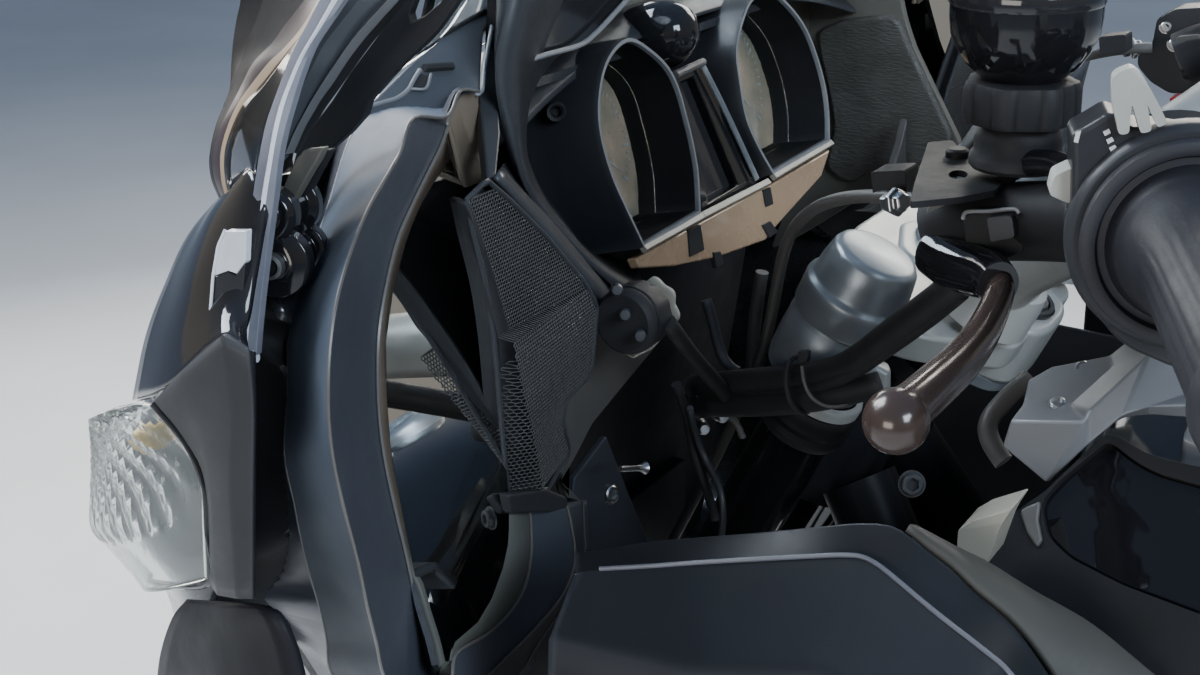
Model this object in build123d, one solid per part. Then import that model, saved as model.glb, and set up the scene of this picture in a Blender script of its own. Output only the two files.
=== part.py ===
from build123d import *
import math
import os

os.makedirs("parts", exist_ok=True)

# Touring motorcycle, parked level on its centre stand, front wheel on the floor.
# Millimetres. +X forward, +Y to the rider's left, +Z up. The origin is on the
# floor under the middle of the overall length, on the centre plane.

# ---------------------------------------------------------------- dimensions
FRONT_AXLE = (815.0, 300.0)      # x, z
REAR_AXLE = (-670.0, 345.0)      # x, z; the rear wheel hangs 30 mm off the floor
FRONT_TYRE_R, FRONT_TYRE_HALF = 300.0, 60.0
REAR_TYRE_R, REAR_TYRE_HALF = 315.0, 90.0
RIM_SEAT_R = 216.0               # 17 inch bead seat
FRONT_AXLE_R, REAR_AXLE_R = 12.0, 20.0
RUN_GAP = 0.3                    # radial gap between a shaft and its hub
STEER_FOOT_X, STEER_SLOPE = 925.0, 0.5008   # steering axis: x = foot - slope * z
FORK_Y, FORK_BACK = 105.0, 4.0   # fork tubes beside and just behind the axis
FORK_TUBE_R, SLIDER_R = 17.5, 26.0
HALF_WIDTH = 452.5               # over the mirrors
OVERALL_HALF_LENGTH = 1115.0
PANEL = 5.0                      # bodywork thickness in this model
STAND_PIVOT = (-210.0, 230.0)    # x, z
STAND_TUBE_R = 14.0
SIDE_PIVOT = (40.0, 146.0, 225.0)
LID_SPLIT_Y = 300.0              # where a pannier lid meets its case
DIAL_CENTRE = (542.7, 75.7, 1068.0)
DIAL_TILT = 13.5


def V(p):
    return Vector(*p)


def norm(v):
    l = math.sqrt(sum(c * c for c in v))
    return tuple(c / l for c in v)


AXIS_UP = norm((-STEER_SLOPE, 0, 1))
AXIS_FWD = (AXIS_UP[2], 0, -AXIS_UP[0])


def axis_x(z):
    return STEER_FOOT_X - STEER_SLOPE * z


def tube_at(z, side=1):
    return (axis_x(z) - FORK_BACK, side * FORK_Y, z)


# ---------------------------------------------------------------- helpers
def rod(p, q, r):
    p, q = V(p), V(q)
    d = q - p
    return Plane(origin=p, z_dir=d) * Cylinder(r, d.length, align=(Align.CENTER, Align.CENTER, Align.MIN))


def cone_rod(p, q, r1, r2):
    p, q = V(p), V(q)
    d = q - p
    return Plane(origin=p, z_dir=d) * Cone(r1, r2, d.length, align=(Align.CENTER, Align.CENTER, Align.MIN))


def ball(p, r):
    return Pos(*p) * Sphere(r)


def chain(pts, r):
    s = rod(pts[0], pts[1], r)
    for a, b in zip(pts[1:-1], pts[2:]):
        s = s + rod(a, b, r) + ball(a, r)
    return s


def block(x0, x1, y0, y1, z0, z1):
    return Pos((x0 + x1) / 2, (y0 + y1) / 2, (z0 + z1) / 2) * Box(x1 - x0, y1 - y0, z1 - z0)


def loft(sections):
    wires = [Wire.make_polygon([V(p) for p in s], close=True) for s in sections]
    return Solid.make_loft(wires, ruled=True)


def plate_xz(pts, y0, y1):
    face = make_face(Polyline(*[(x, y0, z) for x, z in pts], close=True))
    return extrude(face, amount=abs(y1 - y0), dir=(0, 1 if y1 > y0 else -1, 0))


def plate_yz(pts, x0, x1):
    face = make_face(Polyline(*[(x0, y, z) for y, z in pts], close=True))
    return extrude(face, amount=abs(x1 - x0), dir=(1 if x1 > x0 else -1, 0, 0))


def turned(pts, cx, cz):
    # (r, y) profile turned about the wheel axis through (cx, cz)
    face = make_face(Polyline(*pts, close=True))
    return Pos(cx, 0, cz) * revolve(face, Axis.Y)


def left_right(shape):
    return [shape, mirror(shape, Plane.XZ)]


def biggest(shape, keep=1):
    s = sorted(shape.solids(), key=lambda k: -k.volume)
    return s[:keep]


def minus(a, *tools):
    ba = a.bounding_box()
    for t in tools:
        bt = t.bounding_box()
        if (ba.min.X < bt.max.X and bt.min.X < ba.max.X and ba.min.Y < bt.max.Y and bt.min.Y < ba.max.Y
                and ba.min.Z < bt.max.Z and bt.min.Z < ba.max.Z):
            a = a - t
    return a


nodes = {}


def put(name, *shapes):
    solids = []
    for s in shapes:
        solids += list(s.solids())
    solids = [s for s in solids if s.volume > 30]
    nodes[name] = solids


# ---------------------------------------------------------------- wheels
def tyre(half, r_out, half_bead, cx, cz):
    crown = ThreePointArc((r_out - 45, half), (r_out, 0), (r_out - 45, -half))
    edges = [
        Line((RIM_SEAT_R, -half_bead), (RIM_SEAT_R, half_bead)),
        Line((RIM_SEAT_R, half_bead), (RIM_SEAT_R + 14, half_bead)),
        Line((RIM_SEAT_R + 14, half_bead), (r_out - 45, half)),
        crown,
        Line((r_out - 45, -half), (RIM_SEAT_R + 14, -half_bead)),
        Line((RIM_SEAT_R + 14, -half_bead), (RIM_SEAT_R, -half_bead)),
    ]
    return Pos(cx, 0, cz) * revolve(make_face(edges), Axis.Y)


def rim(half_bead, hub_r, hub_y0, hub_y1, bore_r, spoke_half, cx, cz):
    b = half_bead
    barrel = turned([(200, -b - 4), (228, -b - 4), (228, -b), (RIM_SEAT_R, -b), (RIM_SEAT_R, b),
                     (228, b), (228, b + 4), (200, b + 4)], cx, cz)
    hub = Pos(cx, (hub_y0 + hub_y1) / 2, cz) * (Rot(90, 0, 0) * Cylinder(hub_r, hub_y1 - hub_y0))
    body = barrel + hub
    for k in range(5):
        for lean in (-9, 9):
            a = math.radians(72 * k + 18 + lean)
            root = math.radians(72 * k + 18 + lean * 2.2)
            p0 = ((hub_r - 8) * math.cos(root), (hub_r - 8) * math.sin(root))
            p1 = (206 * math.cos(a), 206 * math.sin(a))
            d = norm((p1[0] - p0[0], p1[1] - p0[1], 0))
            n = (-d[1], d[0])
            w0, w1 = 10.0, 8.0
            quad = [(cx + p0[0] + n[0] * w0, cz + p0[1] + n[1] * w0), (cx + p1[0] + n[0] * w1, cz + p1[1] + n[1] * w1),
                    (cx + p1[0] - n[0] * w1, cz + p1[1] - n[1] * w1), (cx + p0[0] - n[0] * w0, cz + p0[1] - n[1] * w0)]
            body = body + plate_xz(quad, -spoke_half, spoke_half)
    bore = Pos(cx, 0, cz) * (Rot(90, 0, 0) * Cylinder(bore_r, 400))
    return body - bore


def ring_y(r0, r1, y0, y1, cx, cz):
    lo, hi = min(y0, y1), max(y0, y1)
    mid = (lo + hi) / 2
    return Pos(cx, mid, cz) * (Rot(90, 0, 0) * (Cylinder(r1, hi - lo) - Cylinder(r0, (hi - lo) * 2)))


fx, fz = FRONT_AXLE
rx, rz = REAR_AXLE
put("front_tyre", tyre(FRONT_TYRE_HALF, FRONT_TYRE_R, 48, fx, fz))
front_rim = rim(48, 32, -55, 55, FRONT_AXLE_R + RUN_GAP, 13, fx, fz)
for s in (-1, 1):
    front_rim = front_rim + ring_y(20, 104, s * 54, s * 58, fx, fz)
put("front_rim", front_rim)
put("front_brake_discs", *[ring_y(98, 160, s * 58, s * 62.5, fx, fz) for s in (-1, 1)])
put("rear_tyre", tyre(REAR_TYRE_HALF, REAR_TYRE_R, 74, rx, rz))
rear_rim = rim(74, 40, -52, 60, REAR_AXLE_R + RUN_GAP, 18, rx, rz)
rear_rim = rear_rim + ring_y(26, 72, -56, -50, rx, rz)
put("rear_rim", rear_rim)
put("rear_brake_disc", ring_y(64, 132, -61, -56, rx, rz))

# ---------------------------------------------------------------- steering body
lower_yoke = block(566, 636, -FORK_Y - 27, FORK_Y + 27, 620, 660)
fork = lower_yoke
for s in (-1, 1):
    fork = fork + rod(tube_at(1008, s), tube_at(640, s), FORK_TUBE_R)
    fork = fork + rod(tube_at(645, s), tube_at(300, s), SLIDER_R)
    fork = fork + rod(tube_at(300, s), (fx, s * FORK_Y, fz), 22)
    fork = fork + ball(tube_at(300, s), SLIDER_R)
    fork = fork + rod((fx, s * 80, fz), (fx, s * 129, fz), 24)
fork = fork + rod((fx, -132, fz), (fx, 132, fz), FRONT_AXLE_R)
fork = fork + rod((axis_x(645), 0, 645), (axis_x(706), 0, 706), 12)
put("fork_legs", fork)

BRIDGE = Plane(origin=V((axis_x(985), 0, 985)), x_dir=V(AXIS_FWD), z_dir=V(AXIS_UP))
bridge_outline = [(-62, -50), (-62, 50), (-28, 100), (20, 100), (33, 40), (33, -40), (20, -100), (-28, -100)]
bridge = extrude(make_face(BRIDGE * Polyline(*bridge_outline, close=True)), amount=24, dir=V(AXIS_UP))
bridge = bridge + BRIDGE * Pos(0, 0, -9) * Cylinder(31, 42)
bridge = bridge + BRIDGE * Pos(0, 0, -66) * Cylinder(15, 110)
for s in (-1, 1):
    bridge = bridge + BRIDGE * Pos(-1, s * FORK_Y, 11) * Cylinder(30, 58) + BRIDGE * Pos(-1, s * FORK_Y, 46.5) * Cone(30, 20, 13)
bridge = bridge + BRIDGE * Pos(-49, 0, 16) * Cylinder(17, 28)
for s in (-1, 1):
    bridge = bridge - rod(tube_at(1008, s), tube_at(900, s), FORK_TUBE_R)
put("fork_bridge", *biggest(bridge))

# handlebar arm: points from the bridge outwards to the grip end (left side)
BAR = [(374, 52, 1012), (338, 108, 1044), (302, 176, 1076), (256, 235, 1100)]
GRIP_END = (197, 380, 1096)
bar = rod(BAR[0], BAR[1], 19) + ball(BAR[1], 19) + rod(BAR[1], BAR[2], 17) + ball(BAR[2], 17) \
    + rod(BAR[2], BAR[3], 15) + ball(BAR[3], 15) + rod(BAR[3], GRIP_END, 11)
bar = bar + rod((372, 52, 985), (382, 52, 1014), 21)
bar = minus(bar, nodes["fork_bridge"][0])
bar = biggest(bar)[0]
put("handlebar", *left_right(bar))


def along(p, q, t):
    return tuple(a + (b - a) * t for a, b in zip(p, q))


g0, g1 = BAR[3], GRIP_END
grip = rod(along(g0, g1, 0.115), along(g0, g1, 0.16), 34.5) + rod(along(g0, g1, 0.15), along(g0, g1, 0.94), 18.5) \
    + rod(along(g0, g1, 0.93), along(g0, g1, 1.03), 20)
grip = grip - bar
put("hand_grips", *left_right(biggest(grip)[0]))

# switch housing, perch, reservoir stub and lever
housing = rod(along(g0, g1, -0.17), along(g0, g1, 0.11), 40)
ctrl = housing + rod((276, 208, 1092), (350, 196, 1076), 15) + ball((353, 195, 1073), 19)
LEVER = [(353, 195, 1073), (321, 225, 1068), (310, 300, 1061), (310, 350, 1059)]
ctrl = ctrl + chain(LEVER, 8) + ball(LEVER[1], 13) + ball(LEVER[-1], 10.5)
ctrl = ctrl - bar
ctrl = minus(ctrl, nodes["hand_grips"][0])
ctrl = biggest(ctrl)[0]
put("hand_controls", *left_right(ctrl))

# small accessory mount on the clutch side perch: plate, knurled neck, bowl
acc_profile = [(0, 1096), (22, 1096), (22, 1103), (16, 1103), (16, 1118), (21, 1118), (21, 1136), (26, 1148), (27.5, 1158), (27.5, 1200), (0, 1200)]
acc = Pos(326, 190, 0) * revolve(make_face(Plane.XZ * Polyline(*acc_profile, close=True)), Axis.Z)
acc = acc + block(326, 380, 168, 196, 1097, 1101.5)
acc = acc + rod((345, 192, 1078), (345, 192, 1099), 9)
acc = minus(acc, ctrl)
put("accessory_mount", *biggest(acc))


# hoses: from the lever perch in an arc down beside the fork tube to the lower yoke
def hose(points, r):
    radii = []
    vs = [V(p) for p in points]
    for a, b, c in zip(vs[:-2], vs[1:-1], vs[2:]):
        u, w = b - a, c - b
        ang = u.get_angle(w)
        rad = 0.45 * min(u.length, w.length) / math.tan(math.radians(ang) / 2)
        radii.append(min(rad, 400))
    print("hose radii", [round(k, 1) for k in radii])
    path = FilletPolyline(*points, radius=radii)
    start = Plane(origin=path @ 0, z_dir=path % 0)
    return sweep(start * Circle(r), path=path)


HOSE = [(366, 178, 1081), (398, 168, 1079), (434, 147, 1062), (455, 118, 1025), (473, 88, 978), (498, 72, 925),
        (526, 72, 866), (555, 76, 806), (578, 82, 750), (595, 88, 700), (604, 90, 662)]
hose_l = hose(HOSE, 5.0)
hose_l = minus(hose_l, ctrl, fork, nodes["fork_bridge"][0], nodes["accessory_mount"][0])
put("control_hoses", *left_right(biggest(hose_l)[0]))

# front mudguard: shell over the tyre with stays to the sliders
mud = turned([(268, 74), (313, 74), (313, -74), (268, -74), (268, -69), (309, -69), (309, 69), (268, 69)], fx, fz)


def sector(a0, a1, r, cx, cz, half):
    pts = [(cx, cz)] + [(cx + r * math.cos(math.radians(a)), cz + r * math.sin(math.radians(a)))
                        for a in [a0 + (a1 - a0) * k / 6 for k in range(7)]]
    return plate_xz(pts, -half, half)


mud = mud & sector(34, 168, 420, fx, fz, 90)
for s in (-1, 1):
    mud = mud + rod((640, s * 71, 500), tube_at(500, s), 9)
mud = minus(mud, fork)
put("front_mudguard", *biggest(mud))

calipers = []
cal = block(680, 748, 43, 84, 345, 418)
cal = cal - ring_y(1, 167, 53, 68, fx, fz)
cal = minus(cal, fork)
put("brake_calipers", *left_right(biggest(cal)[0]))

# ---------------------------------------------------------------- power unit
engine = block(-80, 330, -105, 105, 245, 560) + block(-250, -60, -92, 92, 300, 480)
engine = chamfer(engine.edges().filter_by(Axis.Y).group_by(Axis.X)[-1], 40)
for s in (-1, 1):
    engine = engine + block(-238, -182, min(s * 70, s * 118), max(s * 70, s * 118), 230, 330)
    engine = engine + rod((STAND_PIVOT[0], s * 70, STAND_PIVOT[1]), (STAND_PIVOT[0], s * 118, STAND_PIVOT[1]), 28)
engine = engine - rod((STAND_PIVOT[0], -200, STAND_PIVOT[1]), (STAND_PIVOT[0], 200, STAND_PIVOT[1]), STAND_TUBE_R + RUN_GAP)
side_lug = block(22, 58, 100, 136, 206, 262)
side_n = norm((-0.09, -1.012, -0.3144))
engine = engine + side_lug


def rect_y(x0, x1, z0, z1, y):
    return [(x0, y, z0), (x1, y, z0), (x1, y, z1), (x0, y, z1)]


head = loft([rect_y(110, 262, 365, 500, 105), rect_y(104, 268, 360, 505, 250), rect_y(112, 262, 366, 500, 340),
             rect_y(140, 240, 386, 480, 376)])
put("cylinder_heads", *left_right(head))

# ---------------------------------------------------------------- frame
head_tube = rod((axis_x(872), 0, 872), (axis_x(934), 0, 934), 34)
frame = head_tube
RAIL = [(448, 30, 884), (360, 62, 742), (262, 92, 598), (-60, 98, 586), (-200, 104, 600), (-790, 108, 786)]
for s in (-1, 1):
    pts = [(x, s * y, z) for x, y, z in RAIL]
    frame = frame + rod(pts[0], pts[1], 20) + ball(pts[1], 20) + rod(pts[1], pts[2], 20) + ball(pts[2], 20)
    frame = frame + rod(pts[2], pts[3], 18) + ball(pts[3], 18) + rod(pts[3], pts[4], 16) + ball(pts[4], 16) \
        + rod(pts[4], pts[5], 14)
    frame = frame + rod((-180, s * 92, 470), (-560, s * 107, 714), 12)
    frame = frame + rod((260, s * 92, 600), (230, s * 92, 540), 18) + rod((-50, s * 92, 590), (-50, s * 92, 540), 16)
    frame = frame + rod((-330, s * 100, 575), (-332, s * 150, 474), 10) + ball((-332, s * 150, 474), 13) \
        + rod((-332, s * 146, 470), (-332, s * 252, 470), 12)
    frame = frame + rod((-300, s * 96, 548), (-330, s * 100, 578), 10)
frame = frame + rod((-200, -104, 600), (-200, 104, 600), 14) + rod((-600, -106, 726), (-600, 106, 726), 12)
frame = frame - rod((axis_x(850), 0, 850), (axis_x(960), 0, 960), 17)
frame = minus(frame, engine)
put("main_frame", *biggest(frame))
frame1 = nodes["main_frame"][0]

# pegs for the rider, fixed to the power unit
pegs = [rod((-60, s * 105, 350), (-60, s * 262, 350), 12) + block(-78, -42, min(s * 165, s * 262), max(s * 165, s * 262), 346, 362)
        for s in (-1, 1)]
put("foot_rests", *[minus(p, engine, nodes["cylinder_heads"][0]) for p in pegs])

# ---------------------------------------------------------------- suspension
arm = Plane(origin=V((axis_x(690), 0, 690)), z_dir=V(AXIS_UP)) * (Cylinder(31, 24) - Cylinder(16, 60))
for s in (-1, 1):
    arm = arm + rod((560, s * 12, 686), (300, s * 82, 586), 15) + rod((300, s * 60, 586), (300, s * 104, 586), 19)
arm = arm + rod((470, -40, 651), (470, 40, 651), 15)
arm = arm - Plane(origin=V((axis_x(690), 0, 690)), z_dir=V(AXIS_UP)) * Cylinder(16, 60)
arm = minus(arm, frame1, engine)
put("front_a_arm", *biggest(arm))
shock_f = rod((462, 0, 666), (440, 0, 850), 34)
shock_f = minus(shock_f, frame1, nodes["front_a_arm"][0])
shock_r = rod((-250, -6, 485), (-218, -6, 586), 30)
shock_r = minus(shock_r, frame1, engine)
put("shock_absorbers", biggest(shock_f)[0], biggest(shock_r)[0])

swing = rod((-246, -60, 372), (-330, -132, 370), 34) + ball((-330, -132, 370), 34) + rod((-330, -132, 370), (-640, -132, 347), 34) \
    + ring_y(1, 82, -162, -68, rx, rz)
swing = swing + rod((rx, -100, rz), (rx, 62, rz), REAR_AXLE_R)
caliper_r = block(-600, -540, -84, -44, 372, 440) - ring_y(1, 139, -67, -50, rx, rz)
swing = swing + caliper_r
swing = swing + rod((-560, -132, 352), (-570, -78, 400), 14)
swing = swing - ring_y(1, 139, -67, -50, rx, rz) + rod((rx, -100, rz), (rx, 62, rz), REAR_AXLE_R)
swing = minus(swing, engine, frame1)
put("rear_swingarm", *biggest(swing))
put("power_unit", *biggest(engine))

# ---------------------------------------------------------------- exhaust
pipes = None
for s in (-1, 1):
    c = chain([(188, s * 255, 364), (188, s * 255, 300), (170, s * 190, 232), (110, s * 78, 214), (-60, s * 34, 210)], 19)
    pipes = c if pipes is None else pipes + c
pipes = pipes + block(-160, -50, -62, 62, 184, 232)
pipes = pipes + chain([(-150, 20, 198), (-215, 60, 190), (-345, 152, 272)], 19)
MUFFLER_FROM, MUFFLER_TO = (-372, 156, 280), (-868, 190, 378)
mlen = (V(MUFFLER_TO) - V(MUFFLER_FROM)).length
can_profile = [(0, -50), (26, -50), (58, 0), (58, mlen - 50), (44, mlen), (24, mlen), (24, mlen - 60), (0, mlen - 60)]
can = revolve(make_face(Plane.XZ * Polyline(*can_profile, close=True)), Axis.Z)
pipes = pipes + Plane(origin=V(MUFFLER_FROM), z_dir=V(MUFFLER_TO) - V(MUFFLER_FROM)) * can
pipes = minus(pipes, engine, nodes["cylinder_heads"][0], nodes["cylinder_heads"][1])
put("exhaust", *biggest(pipes))

# ---------------------------------------------------------------- front bodywork
# nose shell sections: x, then (half width, z) from the top centre line down
NOSE = {
    560: [(0, 1108), (215, 1104), (285, 1062), (318, 960), (325, 850), (300, 740), (262, 690), (0, 690)],
    620: [(0, 1090), (190, 1084), (258, 1040), (290, 950), (290, 850), (262, 750), (225, 700), (0, 700)],
    690: [(0, 1050), (150, 1042), (212, 1000), (238, 930), (236, 850), (210, 760), (170, 716), (0, 716)],
    760: [(0, 985), (105, 978), (150, 945), (172, 900), (168, 840), (150, 780), (118, 750), (0, 750)],
    812: [(0, 905), (60, 900), (84, 884), (95, 862), (93, 836), (82, 812), (60, 800), (0, 800)],
}


def ring_section(x, half, grow=0.0, drop=0.0):
    pts = [(x, y, z) for y, z in half]
    pts += [(x, -y, z) for y, z in reversed(half[1:-1])]
    return pts


def shrunk(half, t, open_bottom):
    cz = 880.0
    out = []
    for i, (y, z) in enumerate(half):
        l = math.hypot(y, z - cz)
        k = (l - t * 1.25) / l if l > t * 2 else 1
        yy, zz = y * k, cz + (z - cz) * k
        if open_bottom and i >= len(half) - 2:
            zz = z - 40
            yy = y * k
        out.append((yy, zz))
    return out


nose_outer = loft([ring_section(x, NOSE[x]) for x in sorted(NOSE)])
inner_x = [559, 620, 690, 752, 800]
inner_secs = []
for xi, x in zip(inner_x, sorted(NOSE)):
    inner_secs.append(ring_section(xi, shrunk(NOSE[x], PANEL + (3 if x > 700 else 0), x < 700)))
nose_inner = loft(inner_secs)
lamp_zone = plate_yz([(-150, 812), (-156, 900), (-96, 918), (0, 898), (96, 918), (156, 900), (150, 812), (0, 806)], 700, 830)
lamp = (nose_outer & lamp_zone) - nose_inner
lamp_back = nose_inner & plate_yz([(-130, 822), (-132, 892), (132, 892), (130, 822)], 700, 760)
put("headlamp", *biggest(lamp + lamp_back))
nose = nose_outer - nose_inner - lamp_zone
nose = nose - block(540, 700, -170, 170, 660, 724)
put("nose_fairing", *biggest(nose))
nose1 = nodes["nose_fairing"][0]

# side fairing: x, then outer (y, z) points from the top inboard edge down
SIDE = {
    559: [(284, 938), (312, 918), (331, 880), (332, 820), (316, 750), (296, 684)],
    500: [(292, 948), (326, 930), (344, 885), (344, 815), (324, 700), (300, 590)],
    430: [(298, 964), (338, 946), (352, 900), (352, 820), (330, 670), (300, 520)],
    320: [(303, 1001), (342, 968), (362, 905), (354, 820), (330, 690), (298, 540)],
    220: [(272, 985), (312, 940), (328, 870), (320, 790), (298, 690), (268, 590)],
    110: [(240, 905), (272, 870), (286, 820), (282, 760), (264, 690), (238, 622)],
}


def thick_section(x, outer, t):
    # inward normal offset of an open (y, z) line
    inner = []
    n = len(outer)
    for i, (y, z) in enumerate(outer):
        a = outer[max(i - 1, 0)]
        b = outer[min(i + 1, n - 1)]
        ty, tz = b[0] - a[0], b[1] - a[1]
        l = math.hypot(ty, tz)
        ny, nz = tz / l, -ty / l
        inner.append((y + ny * t, z + nz * t))
    return [(x, y, z) for y, z in outer] + [(x, y, z) for y, z in reversed(inner)]


# mirror pods: outlines in planes parallel to the rear rim; s is measured along the
# rim towards the outside, z is the height, back is the distance forward of the rim
RIM_MID, RIM_N, RIM_S = (488.0, 350.0), (0.952, 0.305), (-0.305, 0.952)


def pod_point(s, z, fwd):
    return (RIM_MID[0] + RIM_N[0] * fwd + RIM_S[0] * s, RIM_MID[1] + RIM_N[1] * fwd + RIM_S[1] * s, z)


POD_RIM = [(-42, 1134), (33, 1140), (92, 1120), (107, 1086), (103, 1052), (90, 1004), (74, 960), (40, 912),
           (-17, 884), (-70, 884), (-122, 908), (-128, 940), (-104, 962), (-96, 1040), (-90, 1100)]
# fwd, centre s, centre z, scale s, scale z
POD_STATIONS = [(0, 0, 0, 1.0, 1.0), (34, -4, -4, 1.0, 0.98), (78, -16, -16, 0.90, 0.88), (118, -30, -30, 0.70, 0.62)]


def pod_section(fwd, ds, dz, ks, kz, grow=0.0):
    cs, cz = -10.0, 1010.0
    pts = []
    for s, z in POD_RIM:
        k = 1.0 + grow / math.hypot(s - cs, z - cz)
        pts.append(pod_point(cs + (s - cs) * ks * k + ds, cz + (z - cz) * kz * k + dz, fwd))
    return pts


pod = loft([pod_section(*p) for p in POD_STATIONS])
GLASS = [(-62, 1092), (-36, 1096), (0, 1082), (22, 1066), (30, 1046), (20, 998), (-1, 946), (-18, 922), (-52, 930),
         (-78, 940), (-92, 962), (-86, 1040)]
pocket = loft([[pod_point(s, z, f) for s, z in GLASS] for f in (-8, 26)])
glass_l = loft([[pod_point(s, z, f) for s, z in GLASS] for f in (14, 18)])
pod = pod - pocket
trim_box = block(300, 720, HALF_WIDTH, 520, 800, 1300)
pod = minus(pod, nose1, trim_box)
lens_zone = loft([[(536, 330, 964), (536, 470, 964), (612, 470, 984), (612, 330, 984)],
                  [(536, 330, 1008), (536, 470, 1008), (586, 470, 1040), (586, 330, 1040)]])
lens = (pod & lens_zone)
pod = pod - lens_zone
put("mirror_housings", *left_right(biggest(pod)[0]))
put("mirror_glasses", *left_right(glass_l))
put("front_indicators", *left_right(biggest(lens)[0]))
pod1 = nodes["mirror_housings"][0]

side = loft([thick_section(x, SIDE[x], PANEL + 1) for x in sorted(SIDE)])
side = minus(side, pod1, glass_l, nose1, nodes["headlamp"][0], nodes["cylinder_heads"][0], frame1)
put("side_fairings", *left_right(biggest(side)[0]))
side1 = nodes["side_fairings"][0]

# cockpit panel: side wings with the speaker openings, dash wall, cowl
WING = [(190, 1106), (308, 1108), (312, 1090), (300, 1040), (296, 990), (292, 958), (240, 950), (198, 1000), (190, 1010)]
wing = plate_yz(WING, 500, 508)
wall = block(500, 592, 188, 196, 1000, 1106)
dash = plate_yz([(-196, 1106), (196, 1106), (196, 1012), (120, 992), (60, 984), (-60, 984), (-120, 992), (-196, 1012)], 588, 595)
cowl = block(528, 612, -196, 196, 1106, 1112)
panel = dash + cowl
for s in (-1, 1):
    w = wing + wall
    panel = panel + (w if s == 1 else mirror(w, Plane.XZ))
GRILLE = [(306, 1098), (296, 1098), (276, 1072), (246, 1045), (218, 1020), (236, 1000), (246, 975), (252, 960), (280, 962),
          (288, 996), (294, 1050)]
panel = minus(panel, nose1, pod1, nodes["mirror_housings"][1], side1, nodes["side_fairings"][1])
put("cockpit_panel", *biggest(panel))
panel1 = nodes["cockpit_panel"][0]
grille = minus(plate_yz(GRILLE, 494, 499.8), pod1, side1, panel1)
put("speaker_grilles", *left_right(biggest(grille)[0]))

# instruments: two hooded dials and a flat display between them
pods = None
ct, st = math.cos(math.radians(DIAL_TILT)), math.sin(math.radians(DIAL_TILT))
for s in (-1, 1):
    pl = Plane(origin=V((DIAL_CENTRE[0], s * DIAL_CENTRE[1], DIAL_CENTRE[2])), x_dir=(0, 1, 0), z_dir=(-ct, 0, st))
    d = pl * Pos(0, 0, -24) * (Cylinder(50, 64) - Pos(0, 0, 16) * Cylinder(46, 34))
    pods = d if pods is None else pods + d
pods = pods + block(548, 588, -40, 40, 1014, 1092)
pods = pods - block(588, 660, -200, 200, 900, 1200)
pods = minus(pods, panel1, nose1)
put("instrument_pods", *biggest(pods))


# windscreen and side deflectors: clear curved sheets, by height
def sheet_section(z, xc, xe, w, t):
    ys = [-w, -0.82 * w, -0.45 * w, 0, 0.45 * w, 0.82 * w, w]
    f = [1, 0.62, 0.17, 0, 0.17, 0.62, 1]
    outer = [(xc + (xe - xc) * k, y, z) for y, k in zip(ys, f)]
    inner = [(x - t, y, z) for x, y, z in outer]
    return outer + inner[::-1]


SCREEN = [(1118, 618, 560, 252), (1200, 588, 524, 262), (1300, 536, 470, 250), (1380, 486, 424, 226), (1430, 450, 396, 196)]
screen = loft([sheet_section(z, a, b, w, 4.0) for z, a, b, w in SCREEN])
put("windscreen", screen)
# deflector rows: z, rear edge (x, y), front edge (x, y)
DEFLECT = [(1064, (520, 402), (590, 356)), (1130, (490, 402), (590, 352)), (1190, (456, 400), (560, 346)), (1262, (424, 386), (510, 336))]
deflector = loft([[(r[0], r[1], z), (f[0], f[1], z), (f[0] - 2, f[1] - 4, z), (r[0] - 2, r[1] - 4, z)] for z, r, f in DEFLECT])
deflector = minus(deflector, pod1, nose1, panel1, nodes["front_indicators"][0])
put("wind_deflectors", *left_right(biggest(deflector)[0]))

# ---------------------------------------------------------------- tank and seats
# x, half width top, half width middle, z bottom, z middle, z shoulder, z top
TANK = [(20, 92, 128, 770, 850, 902, 926), (90, 118, 172, 768, 870, 930, 962), (160, 120, 196, 768, 885, 955, 984),
        (250, 104, 200, 770, 900, 965, 988), (318, 70, 168, 790, 900, 950, 972)]


def tank_section(x, ht, hm, zb, zm, zs, zt):
    half = [(0, zt), (ht * 0.6, zt - 3), (ht, zs + (zt - zs) * 0.5), (hm - 8, zs - 12), (hm, zm), (hm * 0.8, zb + 20), (hm * 0.6, zb), (0, zb)]
    return ring_section(x, half)


tank = loft([tank_section(*r) for r in TANK])
tank = minus(tank, frame1)
put("fuel_tank", *biggest(tank))
tank1 = nodes["fuel_tank"][0]
TRIM = [  # x, then (y, z) outline
    (326, [(196, 1004), (203, 1004), (205, 992), (198, 984)]),
    (300, [(186, 1006), (206, 1007), (208, 985), (196, 972)]),
    (262, [(140, 1002), (204, 1004), (216, 984), (200, 960)]),
    (180, [(122, 994), (198, 992), (216, 970), (200, 944)]),
    (90, [(112, 970), (176, 960), (190, 930), (176, 912)]),
]
trim = loft([[(x, y, z) for y, z in o] for x, o in TRIM])
trim = minus(trim, tank1, side1)
put("tank_trims", *left_right(biggest(trim)[0]))

# seat sections: x, half width, z bottom, z top
SEAT_R = [(-288, 150, 800, 862), (-240, 168, 770, 836), (-140, 170, 752, 824), (-30, 140, 750, 822), (18, 104, 756, 826)]
SEAT_P = [(-640, 120, 820, 884), (-560, 152, 806, 892), (-420, 160, 798, 888), (-290, 152, 790, 880)]


def seat_section(x, h, zb, zt):
    return [(x, -h * 0.7, zb), (x, h * 0.7, zb), (x, h, zb + (zt - zb) * 0.55), (x, h * 0.86, zt - 6), (x, h * 0.5, zt),
            (x, -h * 0.5, zt), (x, -h * 0.86, zt - 6), (x, -h, zb + (zt - zb) * 0.55)]


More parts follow.
